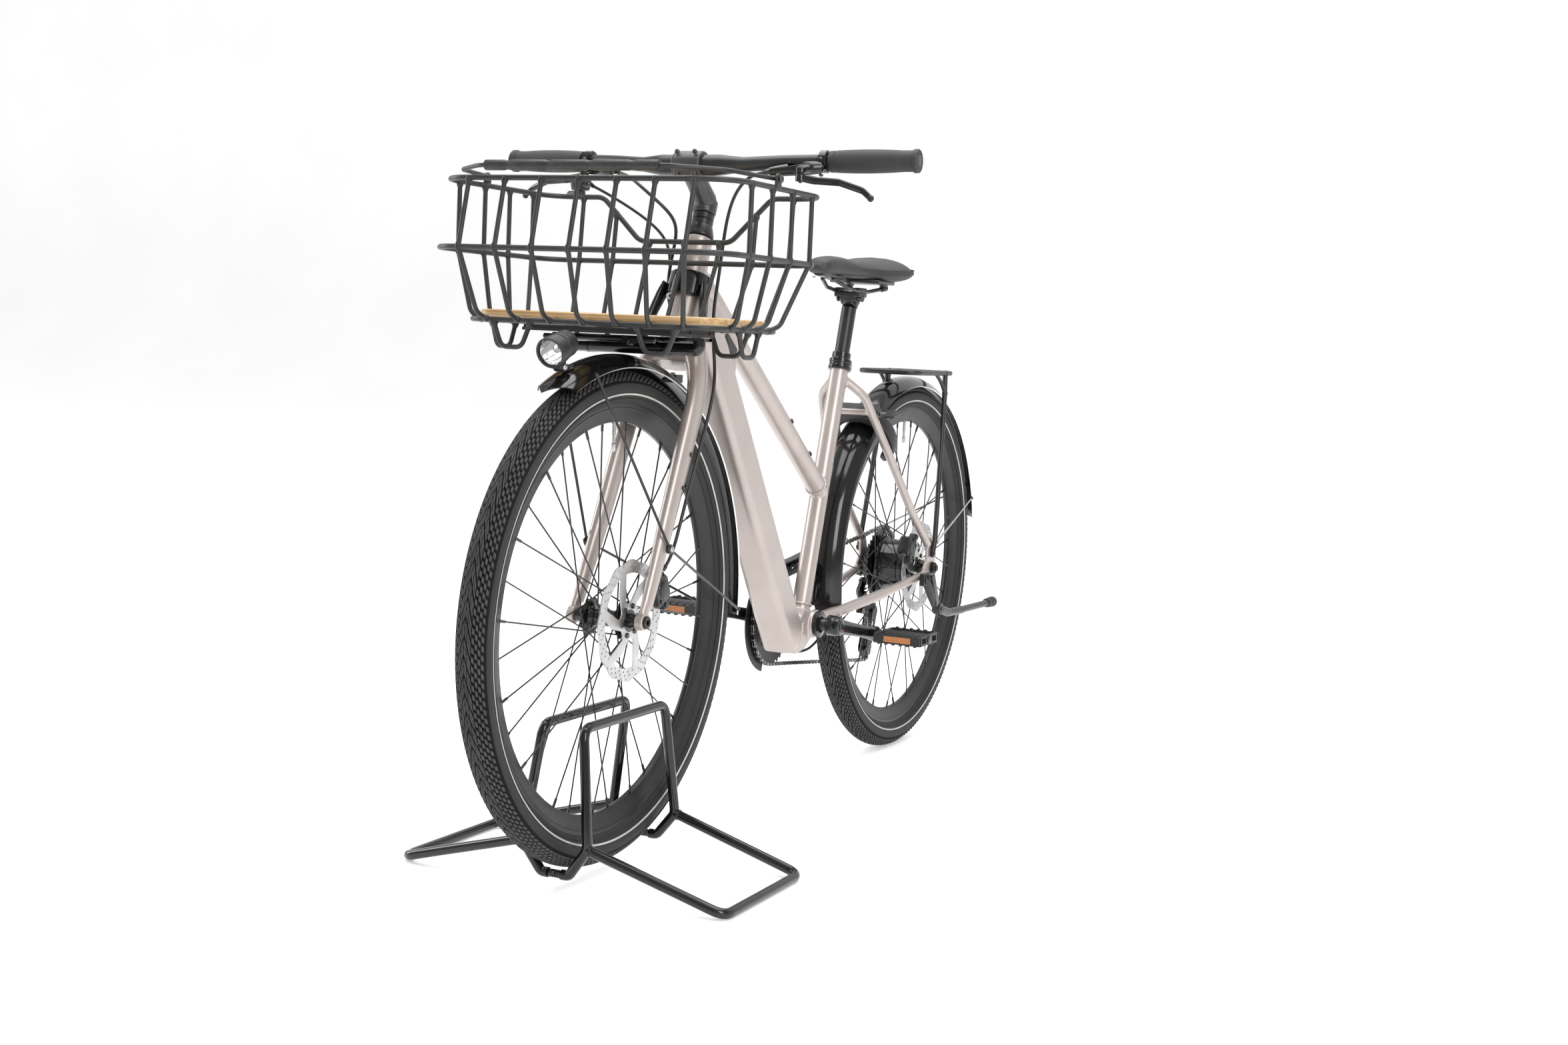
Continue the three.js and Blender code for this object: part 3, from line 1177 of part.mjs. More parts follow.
function buildDrive() {
  const cranks = place(new THREE.Group(), BOTTOM_BRACKET);
  cranks.rotation.x = -CRANK_DROP * RAD;
  add(cranks, "crankset", crankset(), blackAlloy);
  add(cranks, "left_crank", leftCrank(), glossBlack);
  for (const side of [1, -1]) {
    const axle = new THREE.Group();
    axle.position.set(side * 88, side * CRANK_LENGTH, 0);
    axle.rotation.x = CRANK_DROP * RAD;
    cranks.add(axle);
    add(axle, side > 0 ? "left_pedal" : "right_pedal", pedal(side), reflectorTrim);
  }
  add(place(new THREE.Group(), REAR_AXLE), "cassette", cassette(), steel);
  const jockeys = [["upper_jockey_wheel", UPPER_JOCKEY], ["lower_jockey_wheel", LOWER_JOCKEY]];
  for (const [name, at] of jockeys) {
    add(place(new THREE.Group(), v(REAR_CHAIN_X, at.x, at.y)), name, jockeyWheel(), satinBlack);
  }
  add(bicycle, "rear_derailleur", derailleur(), satinBlack);
  add(bicycle, "chain", chain(), steel);
  add(bicycle, "chain_guard", chainGuard(), satinBlack);
}

function buildWheels() {
  const front = place(new THREE.Group(), FRONT_AXLE);
  add(front, "front_tyre", tyre(), rubber);
  add(front, "front_laced_wheel", frontLacedWheel(), greyAlloy);
  add(front, "front_brake_disc", rotor(10.4).translate(FRONT_ROTOR_X, 0, 0), steel);
  const rear = place(new THREE.Group(), REAR_AXLE);
  add(rear, "rear_tyre", tyre(), rubber);
  add(rear, "rear_laced_wheel", rearLacedWheel(), greyAlloy);
  add(rear, "rear_brake_disc", rotor(14.8).translate(REAR_ROTOR_X, 0, 0), steel);
}

function buildSteering() {
  add(bicycle, "fork", fork(), champagne);
  add(bicycle, "headset_spacers", headsetSpacers(), satinBlack);
  add(bicycle, "stem", stem(), greyAlloy);
  add(bicycle, "handlebar", handlebar(), satinBlack);
  add(bicycle, "front_axle", join([
    bar(v(-66, 0, FRONT_AXLE.z), v(66, 0, FRONT_AXLE.z), 6, 6, 14),
    bar(v(65, 0, FRONT_AXLE.z), v(68.5, 0, FRONT_AXLE.z), 9.5, 9.5, 12),
  ]), blackAlloy);
  add(bicycle, "front_mudguard", frontMudguard(), glossBlack);
  const frontCaliper = new THREE.Group();
  frontCaliper.rotation.x = 26.9 * RAD;
  add(frontCaliper, "front_brake_caliper", caliper(12), satinBlack);
  place(frontCaliper, v(FRONT_ROTOR_X, 75, FRONT_AXLE.z + 38));
  for (const side of [1, -1]) {
    const name = side > 0 ? "left" : "right";
    add(bicycle, `${name}_grip`, grip(side), rubber);
    add(bicycle, `${name}_brake_body`, brakeBody(side), glossBlack);
    add(bicycle, `${name}_brake_lever`, brakeLever(side), glossBlack);
  }
  add(bicycle, "shifter_body", shifterBody(), satinBlack);
  add(bicycle, "shift_lever", shiftLever(), satinBlack);
  add(bicycle, "front_brake_hose", frontHose(), rubber);
  add(bicycle, "rear_brake_hose", rearHose(), rubber);
  add(bicycle, "shift_cable", shiftCable(), rubber);
  add(bicycle, "lamp_bracket", lampBracket(), satinBlack);
  bicycle.add(lampFrame);
  add(lampFrame, "headlight_body", lampBody(), satinBlack);
  add(lampFrame, "headlight_lens", lampLens(), lens);
}

function buildBasket() {
  add(bicycle, "basket_wires", basketWires(), wire);
  add(bicycle, "basket_floor", basketFloor(), bamboo);
  add(bicycle, "basket_adapter", basketAdapter(), satinBlack);
  add(bicycle, "basket_bail", basketBail(), wire);
}

function buildSeat() {
  add(bicycle, "seatpost", seatpost(), blackAlloy);
  add(bicycle, "saddle", saddle(), rubber);
}

buildStand();
buildFrame();
buildDrive();
buildWheels();
buildSteering();
buildBasket();
buildSeat();

// The origin is on the floor, under the middle of the whole object.
const extent = new THREE.Box3().setFromObject(object, true);
const middle = extent.getCenter(v(0, 0, 0));
object.position.set(-middle.x, -middle.y, -extent.min.z);

export default object;
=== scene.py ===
"""A step-through electric bicycle with a wire basket, its front wheel held in a floor stand.

Shapes are drawn in millimetres from the point on the floor under the front axle: +Y is rearward,
+Z is up and +X is the bicycle's left. at() turns such a point into a place in the frame.
"""
from math import asin, atan2, copysign, cos, exp, hypot, pi, sin, tan

import bmesh
import bpy
from mathutils import Matrix, Vector


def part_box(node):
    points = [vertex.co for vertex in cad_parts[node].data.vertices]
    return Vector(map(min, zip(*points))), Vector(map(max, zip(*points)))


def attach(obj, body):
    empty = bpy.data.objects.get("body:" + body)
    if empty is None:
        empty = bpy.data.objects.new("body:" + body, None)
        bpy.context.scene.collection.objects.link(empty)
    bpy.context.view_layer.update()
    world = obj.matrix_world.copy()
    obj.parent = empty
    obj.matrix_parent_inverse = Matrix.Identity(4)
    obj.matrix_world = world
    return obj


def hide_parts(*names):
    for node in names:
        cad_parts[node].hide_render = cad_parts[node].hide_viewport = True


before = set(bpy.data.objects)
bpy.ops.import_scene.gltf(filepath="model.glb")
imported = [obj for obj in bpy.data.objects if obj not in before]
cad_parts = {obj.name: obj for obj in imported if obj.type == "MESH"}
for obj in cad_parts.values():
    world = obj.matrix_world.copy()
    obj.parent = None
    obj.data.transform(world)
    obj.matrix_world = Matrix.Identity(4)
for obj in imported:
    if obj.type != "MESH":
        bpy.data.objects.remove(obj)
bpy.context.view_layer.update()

# ---- driving dimensions, millimetres
MM = 0.001
RAD = pi / 180
tyre_low, tyre_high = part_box("front_tyre")
rear_low, rear_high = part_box("rear_tyre")
ORIGIN = Vector((0, (tyre_low.y + tyre_high.y) / 2, 0))
WHEEL_RADIUS = (tyre_high.z - tyre_low.z) / 2 / MM
TYRE_SECTION = (tyre_high.x - tyre_low.x) / 2 / MM
FRONT_Z = (tyre_low.z + tyre_high.z) / 2 / MM
REAR_Z = (rear_low.z + rear_high.z) / 2 / MM
WHEELBASE = (rear_low.y + rear_high.y - tyre_low.y - tyre_high.y) / 2 / MM
BB_Y, BB_Z = 672, 297
HEAD_TILT = 19
STEER_OFFSET = 42.3
SEAT_SLOPE = 0.2826
CRANK_LENGTH = 170
CRANK_DROP = 11
GUARD_HALF = 32
RIM_INNER = 286
RIM_OUTER = 315
SPOKES = 32
CHAIN_PITCH = 12.7
CHAIN_GAP = 5
CHAINRING_RADIUS = 76
SPROCKET_RADII = [68, 60, 52, 46, 40, 34, 28, 22]
BOLT_SOCKET = 0.5        # a share of the head's radius


def V(x, y, z):
    return Vector((x, y, z))


FRONT_AXLE = V(0, 0, FRONT_Z)
REAR_AXLE = V(0, WHEELBASE, REAR_Z)
BOTTOM_BRACKET = V(0, BB_Y, BB_Z)


def at(point):
    return ORIGIN + Vector(point) * MM


def sided(side, x, y, z):
    return Vector((side * x, y, z))


def steer(z):
    return V(0, STEER_OFFSET + (z - FRONT_Z) * tan(HEAD_TILT * RAD), z)


def seat(z):
    return V(0, BB_Y + (z - BB_Z) * SEAT_SLOPE, z)


def tipped(point, degrees):
    """The place at a point, turned about the X axis."""
    return Matrix.Translation(point) @ Matrix.Rotation(degrees * RAD, 4, "X")


def squared(value, power):
    """Pushes a sine or cosine outwards, so that the circle it draws has flatter sides."""
    return copysign(abs(value) ** power, value)


def spun(x, radius, turn):
    """A point on a circle about the X axis, its angle in radians from +Y towards +Z."""
    return V(x, radius * cos(turn), radius * sin(turn))


def around_x(centre, radius, degrees, x=0.0):
    """A point on a circle about an axle, its angle measured from straight up towards the rear."""
    turn = degrees * RAD
    return V(x, centre.y + radius * sin(turn), centre.z + radius * cos(turn))


# ---- paths
def bend(points, radius, steps=8):
    """A path with each inner corner rounded."""
    path = [points[0]]
    for before, corner, after in zip(points, points[1:], points[2:]):
        back, on = before - corner, after - corner
        half = back.angle(on) / 2
        reach = min(radius / tan(half), back.length * 0.48, on.length * 0.48)
        if reach < 0.05:
            path.append(corner)
            continue
        start = corner + back.normalized() * reach
        end = corner + on.normalized() * reach
        for k in range(steps + 1):
            t = k / steps
            path.append(start.lerp(corner, t).lerp(corner.lerp(end, t), t))
    path.append(points[-1])
    return path


def bend_loop(points, radius, steps=6):
    """A closed path with every corner rounded."""
    count = len(points)
    path = []
    for i, corner in enumerate(points):
        path.extend(bend([points[i - 1].lerp(corner, 0.5), corner,
                          corner.lerp(points[(i + 1) % count], 0.5)], radius, steps)[1:-1])
    return path


def spline(points, per_span=8):
    """A smooth curve through every point (centripetal Catmull-Rom)."""
    rows = [2 * points[0] - points[1], *points, 2 * points[-1] - points[-2]]
    path = []
    for p0, p1, p2, p3 in zip(rows, rows[1:], rows[2:], rows[3:]):
        t1 = (p1 - p0).length ** 0.5
        t2 = t1 + (p2 - p1).length ** 0.5
        t3 = t2 + (p3 - p2).length ** 0.5
        for k in range(per_span):
            t = t1 + (t2 - t1) * k / per_span
            a1 = p0 + (p1 - p0) * (t / t1)
            a2 = p1 + (p2 - p1) * ((t - t1) / (t2 - t1))
            a3 = p2 + (p3 - p2) * ((t - t2) / (t3 - t2))
            b1 = a1 + (a2 - a1) * (t / t2)
            b2 = a2 + (a3 - a2) * ((t - t1) / (t3 - t1))
            path.append(b1 + (b2 - b1) * ((t - t1) / (t2 - t1)))
    path.append(points[-1])
    return path


def arc(centre, radius, start, end, steps):
    """Points (y, z) on a circle, degrees from the +Y axis towards +Z."""
    return [(centre[0] + radius * cos((start + (end - start) * k / steps) * RAD),
             centre[1] + radius * sin((start + (end - start) * k / steps) * RAD))
            for k in range(steps + 1)]


def polar(radius, degrees):
    return (radius * cos(degrees * RAD), radius * sin(degrees * RAD))


def circle(centre, radius, sides=24):
    return arc(centre, radius, 0, 360 * (sides - 1) / sides, sides - 1)


def toothed(centre, root, tip, teeth, phase=0.0):
    """A sprocket's outline: each tooth has a rounded root, two flanks and a narrow tip."""
    pitch = 360 / teeth
    outline = []
    for k in range(teeth):
        start = phase + k * pitch
        for share, level in ((-0.3, 0.35), (-0.18, 0.06), (0, 0), (0.18, 0.06), (0.3, 0.35), (0.42, 0.95),
                             (0.58, 0.95)):
            turn = (start + share * pitch) * RAD
            radius = root + (tip - root) * level
            outline.append((centre[0] + radius * cos(turn), centre[1] + radius * sin(turn)))
    return outline


# ---- mesh building
class Shape:
    """Vertices in millimetres, with faces and the material number of each."""

    def __init__(self):
        self.verts = []
        self.faces = []
        self.mats = []

    def add(self, verts, faces, mat=0):
        base = len(self.verts)
        self.verts.extend(Vector(p) for p in verts)
        self.faces.extend(tuple(base + i for i in face) for face in faces)
        self.mats.extend([mat] * len(faces))
        return self

    def include(self, other, matrix=None):
        verts = other.verts if matrix is None else [matrix @ p for p in other.verts]
        base = len(self.verts)
        self.verts.extend(verts)
        self.faces.extend(tuple(base + i for i in face) for face in other.faces)
        self.mats.extend(other.mats)
        return self

    def loft(self, rings, mat=0, closed=False):
        count = len(rings[0])
        verts = [p for ring in rings for p in ring]
        faces = []
        spans = len(rings) if closed else len(rings) - 1
        for i in range(spans):
            here, there = i * count, ((i + 1) % len(rings)) * count
            for k in range(count):
                n = (k + 1) % count
                faces.append((here + k, here + n, there + n, there + k))
        if not closed:
            faces.append(tuple(reversed(range(count))))
            faces.append(tuple(range((len(rings) - 1) * count, len(rings) * count)))
        return self.add(verts, faces, mat)

    def tube(self, points, radius, sides=12, mat=0, closed=False, round_ends=0.0):
        """A round bar along a path; radius is one number or one for each point."""
        points = [Vector(p) for p in points]
        radii = list(radius) if hasattr(radius, "__len__") else [radius] * len(points)
        if round_ends and not closed:
            for step, share in ((0.35, 0.93), (1.0, 0.55)):
                first = (points[0] - points[1]).normalized() * round_ends * (step - 0.3)
                last = (points[-1] - points[-2]).normalized() * round_ends * (step - 0.3)
                points = [points[0] + first, *points, points[-1] + last]
                radii = [radii[0] * share, *radii, radii[-1] * share]
        count = len(points)
        normal = None
        rings = []
        for i, point in enumerate(points):
            before = points[i - 1] if i or closed else points[0]
            after = points[(i + 1) % count] if i < count - 1 or closed else points[-1]
            along = (after - before).normalized()
            if normal is None:
                normal = V(0, 0, 1) if abs(along.z) < 0.9 else V(1, 0, 0)
            normal = (normal - along * normal.dot(along)).normalized()
            side = along.cross(normal)
            rings.append([point + radii[i] * (normal * cos(2 * pi * k / sides)
                                              + side * sin(2 * pi * k / sides))
                          for k in range(sides)])
        return self.loft(rings, mat, closed)

    def limb(self, stations, sides=32, mat=0, per_span=6):
        """A smooth limb of elliptical sections; each station is (centre, half width, half depth)."""
        centres = spline([s[0] for s in stations], per_span)
        sizes = spline([V(s[1], s[2], i * 40) for i, s in enumerate(stations)], per_span)
        rings = []
        for i, centre in enumerate(centres):
            along = (centres[min(i + 1, len(centres) - 1)] - centres[max(i - 1, 0)]).normalized()
            depth = along.cross(V(1, 0, 0)).normalized()
            across = depth.cross(along).normalized()
            rings.append([centre + across * sizes[i].x * cos(2 * pi * k / sides)
                          + depth * sizes[i].y * sin(2 * pi * k / sides) for k in range(sides)])
        return self.loft(rings, mat)

    def turned(self, profile, origin=(0, 0, 0), axis=(1, 0, 0), sides=48, mat=0, ring=False):
        """A profile of (distance along the axis, radius) turned about the axis through origin."""
        axis, origin = Vector(axis).normalized(), Vector(origin)
        first = V(0, 0, 1) if abs(axis.z) < 0.9 else V(1, 0, 0)
        first = (first - axis * first.dot(axis)).normalized()
        second = axis.cross(first)
        rings = [[origin + axis * along + radius * (first * cos(2 * pi * k / sides)
                                                    + second * sin(2 * pi * k / sides))
                  for k in range(sides)] for along, radius in profile]
        return self.loft(rings, mat, closed=ring)

    def rod(self, start, end, radius, end_radius=None, sides=24, mat=0, chamfer=0.6):
        start, end = Vector(start), Vector(end)
        far = radius if end_radius is None else end_radius
        length = (end - start).length
        edge = min(chamfer, length / 3, radius / 3, far / 3)
        profile = [(0, radius - edge), (edge, radius), (length - edge, far), (length, far - edge)]
        return self.turned(profile, start, end - start, sides, mat)

    def box(self, low, high, mat=0, turn=None, pivot=None):
        corners = [V(x, y, z) for x in (low[0], high[0]) for y in (low[1], high[1])
                   for z in (low[2], high[2])]
        if turn is not None:
            middle = (Vector(low) + Vector(high)) / 2 if pivot is None else Vector(pivot)
            corners = [middle + turn @ (p - middle) for p in corners]
        faces = [(0, 1, 3, 2), (4, 6, 7, 5), (0, 4, 5, 1), (2, 3, 7, 6), (0, 2, 6, 4), (1, 5, 7, 3)]
        return self.add(corners, faces, mat)

    def ball(self, centre, radius, mat=0, sides=16, stretch=(1, 1, 1)):
        steps = sides // 2
        profile = [(-radius * cos(pi * k / steps), max(radius * sin(pi * k / steps), 0.02))
                   for k in range(steps + 1)]
        part = Shape().turned(profile, (0, 0, 0), (0, 0, 1), sides, mat)
        return self.include(part, Matrix.Translation(Vector(centre)) @ Matrix.Diagonal((*stretch, 1)))

    def plate(self, outlines, low, high, mat=0, edge=0.0):
        """A flat plate with holes: outlines in (y, z), the faces at x = low and x = high."""
        curve = bpy.data.curves.new("outline", "CURVE")
        curve.dimensions = "2D"
        curve.fill_mode = "BOTH"
        curve.extrude = (high - low) / 2 - edge
        curve.bevel_depth = edge
        curve.bevel_resolution = 1
        curve.offset = -edge
        for outline in outlines:
            line = curve.splines.new("POLY")
            line.points.add(len(outline) - 1)
            for point, (y, z) in zip(line.points, outline):
                point.co = (y, z, 0, 1)
            line.use_cyclic_u = True
        holder = bpy.data.objects.new("outline", curve)
        mesh = bpy.data.meshes.new_from_object(holder)
        middle = (low + high) / 2
        verts = [V(middle + p.co.z, p.co.x, p.co.y) for p in mesh.vertices]
        self.add(verts, [tuple(f.vertices) for f in mesh.polygons], mat)
        bpy.data.objects.remove(holder)
        bpy.data.curves.remove(curve)
        bpy.data.meshes.remove(mesh)
        return self

    def bolt(self, base, axis, radius, height, mat=0):
        """A button-head bolt with a hexagon socket."""
        hole = radius * BOLT_SOCKET
        self.turned([(0, radius), (height * 0.55, radius), (height * 0.9, radius * 0.8),
                     (height, radius * 0.62), (height, hole)], base, Vector(axis).normalized(), 18, mat)
        return self.turned([(height * 0.35, hole * 0.9), (height * 1.001, hole * 0.9)], base,
                           Vector(axis).normalized(), 6, mat)


def shown(name, data):
    made = bpy.data.objects.new(name, data)
    bpy.context.scene.collection.objects.link(made)
    return made


def passing(shape, slots=0):
    """An object of the shape that is removed again; with slots its faces keep their materials."""
    mesh = bpy.data.meshes.new("passing")
    mesh.from_pydata([p * MM for p in shape.verts], [], shape.faces)
    for _ in range(slots):
        mesh.materials.append(None)
    if slots:
        mesh.polygons.foreach_set("material_index", shape.mats)
    clean(mesh)
    return shown("passing", mesh)


def applied(holder, *others):
    """The object with its modifiers applied, as a shape; it and the others are removed."""
    bpy.context.view_layer.update()
    result = bpy.data.meshes.new_from_object(holder.evaluated_get(bpy.context.evaluated_depsgraph_get()))
    shape = Shape().add([p.co / MM for p in result.vertices], [tuple(f.vertices) for f in result.polygons])
    shape.mats = [f.material_index for f in result.polygons]
    for old in (holder, *others):
        mesh = old.data
        bpy.data.objects.remove(old)
        bpy.data.meshes.remove(mesh)
    bpy.data.meshes.remove(result)
    return shape


def melted(shape, voxel, smoothing):
    """The overlapping bodies of a shape as one skin whose joints are rounded like ground welds."""
    holder = passing(shape)
    remesh = holder.modifiers.new("skin", "REMESH")
    remesh.mode, remesh.voxel_size = "VOXEL", voxel * MM
    smooth = holder.modifiers.new("smooth", "SMOOTH")
    smooth.factor, smooth.iterations = 0.5, smoothing
    return applied(holder)


def carved(shape, cutters):
    """The shape with every cutter taken out of it; each of its faces keeps its material."""
    slots = max(shape.mats) + 1
    holder, *tools = [passing(part, slots) for part in (shape, *cutters)]
    for tool in tools:
        cut = holder.modifiers.new("cut", "BOOLEAN")
        cut.object, cut.operation, cut.solver, cut.use_self = tool, "DIFFERENCE", "EXACT", True
    return applied(holder, *tools)


def clean(mesh):
    work = bmesh.new()
    work.from_mesh(mesh)
    bmesh.ops.remove_doubles(work, verts=work.verts, dist=2e-6)
    bmesh.ops.recalc_face_normals(work, faces=work.faces)
    work.to_mesh(mesh)
    work.free()


def piece(name, shape, body, materials, replaces=(), bevel=0.0, crease=38, place=None):
    """Makes the shape an object that rides on a body and stands for its CAD nodes."""
    mesh = bpy.data.meshes.new(name)
    verts = shape.verts if place is None else [place @ p for p in shape.verts]
    mesh.from_pydata([at(p) for p in verts], [], shape.faces)
    for material in materials:
        mesh.materials.append(material)
    mesh.polygons.foreach_set("material_index", shape.mats)
    clean(mesh)
    mesh.shade_smooth()
    mesh.set_sharp_from_angle(angle=crease * RAD)
    made = shown(name, mesh)
    if bevel:
        rounding = made.modifiers.new("edges", "BEVEL")
        rounding.width = bevel * MM
        rounding.segments = 2
        rounding.limit_method = "ANGLE"
        rounding.angle_limit = 40 * RAD
        rounding.harden_normals = False
    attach(made, body)
    if replaces:
        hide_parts(*replaces)
    return made


# ---- materials
MIX_A, MIX_B, MIX_RESULT = 6, 7, 2        # the colour sockets of a mix node


def node(made, kind, **inputs):
    """A new shader node; an underscore in an input's name stands for a space."""
    new = made.node_tree.nodes.new("ShaderNode" + kind)
    for name, value in inputs.items():
        new.inputs[name.replace("_", " ")].default_value = value
    return new


def join(made, start, output, end, entry):
    made.node_tree.links.new(start.outputs[output], end.inputs[entry])


def two_tones(made, low, dark, high, light):
    ramp = node(made, "ValToRGB")
    for stop, position, colour in zip(ramp.color_ramp.elements, (low, high), (dark, light)):
        stop.position, stop.color = position, (*colour, 1)
    return ramp


def colour_mix(made, share):
    mix = node(made, "Mix")
    mix.data_type = "RGBA"
    mix.inputs[0].default_value = share
    return mix


def material(name, dark, light, rough, metal=0.0, spread=0.06, grain=30.0, bump=0.1, bump_grain=900.0,
             coat=0.0, coat_rough=0.08, specular=0.5, bump_distance=0.0002):
    """A surface whose colour drifts between two tones, with uneven roughness and a fine bump."""
    made = bpy.data.materials.new(name)
    made.use_nodes = True
    shader = made.node_tree.nodes["Principled BSDF"]
    for entry, value in (("Metallic", metal), ("Coat Weight", coat), ("Coat Roughness", coat_rough),
                         ("Specular IOR Level", specular)):
        shader.inputs[entry].default_value = value
    place = node(made, "TexCoord")
    drift = node(made, "TexNoise", Scale=grain, Detail=5)
    join(made, place, "Object", drift, "Vector")
    ramp = two_tones(made, 0.32, dark, 0.68, light)
    join(made, drift, "Fac", ramp, "Fac")
    join(made, ramp, "Color", shader, "Base Color")
    uneven = node(made, "MapRange", To_Min=max(rough - spread, 0.02), To_Max=min(rough + spread, 1))
    join(made, drift, "Fac", uneven, "Value")
    join(made, uneven, "Result", shader, "Roughness")
    fine = node(made, "TexNoise", Scale=bump_grain, Detail=3)
    join(made, place, "Object", fine, "Vector")
    relief = node(made, "Bump", Strength=bump, Distance=bump_distance)
    join(made, fine, "Fac", relief, "Height")
    join(made, relief, "Normal", shader, "Normal")
    return made


def tone(value, warm=0.0):
    return (value * (1 + warm), value, value * (1 - warm))


def flake_paint(name, dark, light):
    """Satin metallic paint: fine flakes tilt the colour a little under a soft clear coat."""
    made = material(name, dark, light, 0.36, metal=0.55, spread=0.04, grain=14, bump=0.12, bump_grain=2600,
                    coat=0.25, coat_rough=0.3, bump_distance=0.00006)
    nodes = made.node_tree.nodes
    flakes = node(made, "TexVoronoi", Scale=2400)
    join(made, nodes["Texture Coordinate"], "Object", flakes, "Vector")
    glint = colour_mix(made, 0.14)
    glint.blend_type = "OVERLAY"
    join(made, nodes["Color Ramp"], "Color", glint, MIX_A)
    join(made, flakes, "Color", glint, MIX_B)
    grey = node(made, "HueSaturation", Saturation=0.82)
    join(made, glint, MIX_RESULT, grey, "Color")
    join(made, grey, "Color", nodes["Principled BSDF"], "Base Color")
    return made


def bamboo_board(name):
    """Pressed bamboo: narrow strips along the board, each its own tone, with darker fibres."""
    made = material(name, (0.50, 0.30, 0.13), (0.66, 0.44, 0.21), 0.48, grain=9, bump=0.2, bump_grain=260,
                    bump_distance=0.0003)
    nodes = made.node_tree.nodes
    stretch = node(made, "Mapping", Scale=(3, 190, 190))
    join(made, nodes["Texture Coordinate"], "Object", stretch, "Vector")
    strips = node(made, "TexNoise", Scale=1, Detail=6)
    join(made, stretch, "Vector", strips, "Vector")
    fibres = two_tones(made, 0.36, (0.40, 0.22, 0.09), 0.62, (0.74, 0.52, 0.27))
    join(made, strips, "Fac", fibres, "Fac")
    blend = colour_mix(made, 0.6)
    join(made, nodes["Color Ramp"], "Color", blend, MIX_A)
    join(made, fibres, "Color", blend, MIX_B)
    join(made, blend, MIX_RESULT, nodes["Principled BSDF"], "Base Color")
    return made


def pebbled(name, dark, light, rough, cells, depth):
    """A moulded or leathery skin covered with small rounded cells."""
    made = material(name, dark, light, rough, grain=18, bump=0.5, bump_grain=cells, bump_distance=depth)
    nodes = made.node_tree.nodes
    grainy = node(made, "TexVoronoi", Scale=cells)
    grainy.feature = "SMOOTH_F1"
    join(made, nodes["Texture Coordinate"], "Object", grainy, "Vector")
    join(made, grainy, "Distance", nodes["Bump"], "Height")
    return made


def clear_lens(name):
    made = material(name, tone(0.9), tone(0.97), 0.03, grain=40, bump=0.03, bump_grain=300)
    shader = made.node_tree.nodes["Principled BSDF"]
    shader.inputs["Transmission Weight"].default_value = 1
    shader.inputs["IOR"].default_value = 1.2
    return made


PAINT = flake_paint("champagne paint", (0.385, 0.325, 0.30), (0.43, 0.365, 0.338))
GLOSS = material("gloss black paint", tone(0.005), tone(0.008), 0.13, spread=0.04, bump=0.05, bump_grain=350,
                 coat=0.25, specular=0.35)
SATIN = material("satin black metal", tone(0.010), tone(0.016), 0.36, metal=0.1, bump=0.12, bump_grain=1500)
PLASTIC = pebbled("satin black plastic", tone(0.009), tone(0.014), 0.46, 1800, 0.00005)
ALLOY = material("black alloy", tone(0.014), tone(0.022), 0.3, metal=0.5, bump=0.06, bump_grain=1200)
RIM_BLACK = material("black rim", tone(0.008), tone(0.012), 0.36, specular=0.35, bump=0.08, bump_grain=900)
GREY = material("grey alloy", tone(0.06), tone(0.08), 0.36, metal=0.7, bump=0.1, bump_grain=1300)
STEEL = material("bare steel", tone(0.36), tone(0.50), 0.26, metal=1, bump=0.08, bump_grain=700)
DISC = material("disc steel", tone(0.42), tone(0.56), 0.34, metal=1, bump=0.1, bump_grain=900)
DARK_STEEL = material("dark steel", tone(0.05), tone(0.09), 0.3, metal=0.9, grain=60, bump=0.1)
# A light grey painted highlight for the thin edges of the gloss black mudguards.
EDGE_HIGHLIGHT_PAINT = material("painted edge highlight", tone(0.62), tone(0.74), 0.3, metal=0.4, bump=0.05)
RUBBER = material("tyre rubber", tone(0.045), tone(0.062), 0.72, specular=0.22, spread=0.1, grain=26,
                  bump=0.35, bump_grain=800)
# The groove floors are the same rubber as the tread, painted near black as shade.
GROOVE_SHADE = material("tyre grooves painted shade", tone(0.003), tone(0.005), 0.8, grain=20, bump=0.2, bump_grain=500,
                  specular=0.2)
SIDEWALL = material("tyre sidewall", tone(0.018), tone(0.026), 0.62, specular=0.25, grain=12, bump=0.2,
                    bump_grain=500)
STRIPE = material("reflective stripe", tone(0.36, 0.04), tone(0.48, 0.04), 0.5, bump=0.3, bump_grain=1500)
SOFT = pebbled("soft rubber", tone(0.018), tone(0.026), 0.62, 900, 0.0002)
HOSE = material("hose sheath", tone(0.008), tone(0.012), 0.34, bump=0.08, bump_grain=1400)
COVER = pebbled("saddle cover", tone(0.020), tone(0.028), 0.55, 700, 0.00015)
WIRE = material("basket wire", tone(0.024), tone(0.034), 0.42, metal=0.15, specular=0.35, spread=0.08,
                grain=60, bump=0.3, bump_grain=1100)
BAMBOO = bamboo_board("bamboo board")
LENS = clear_lens("lamp lens")
MIRROR = material("lamp reflector", tone(0.82), tone(0.9), 0.07, metal=1, bump=0.02)
AMBER = material("amber reflector", (0.30, 0.085, 0.010), (0.44, 0.14, 0.018), 0.2, bump=0.6, bump_grain=420,
                 coat=0.6)


# ---- camera, floor and light
CAMERA_PLACE = (1390.2, -2379.5, 784.0)
CAMERA_TURN = (25.07, 5.3, 2.61)        # heading, downward pitch and roll in degrees
FOCAL_LENGTH, SENSOR_WIDTH = 43.7, 36
FLOOR_HALF, FLOOR_FRONT, FLOOR_BACK, WALL_TOP = 40.0, 9.0, 7.0, 14.0        # metres
COVE_RADIUS, COVE_STEPS = 2.4, 16


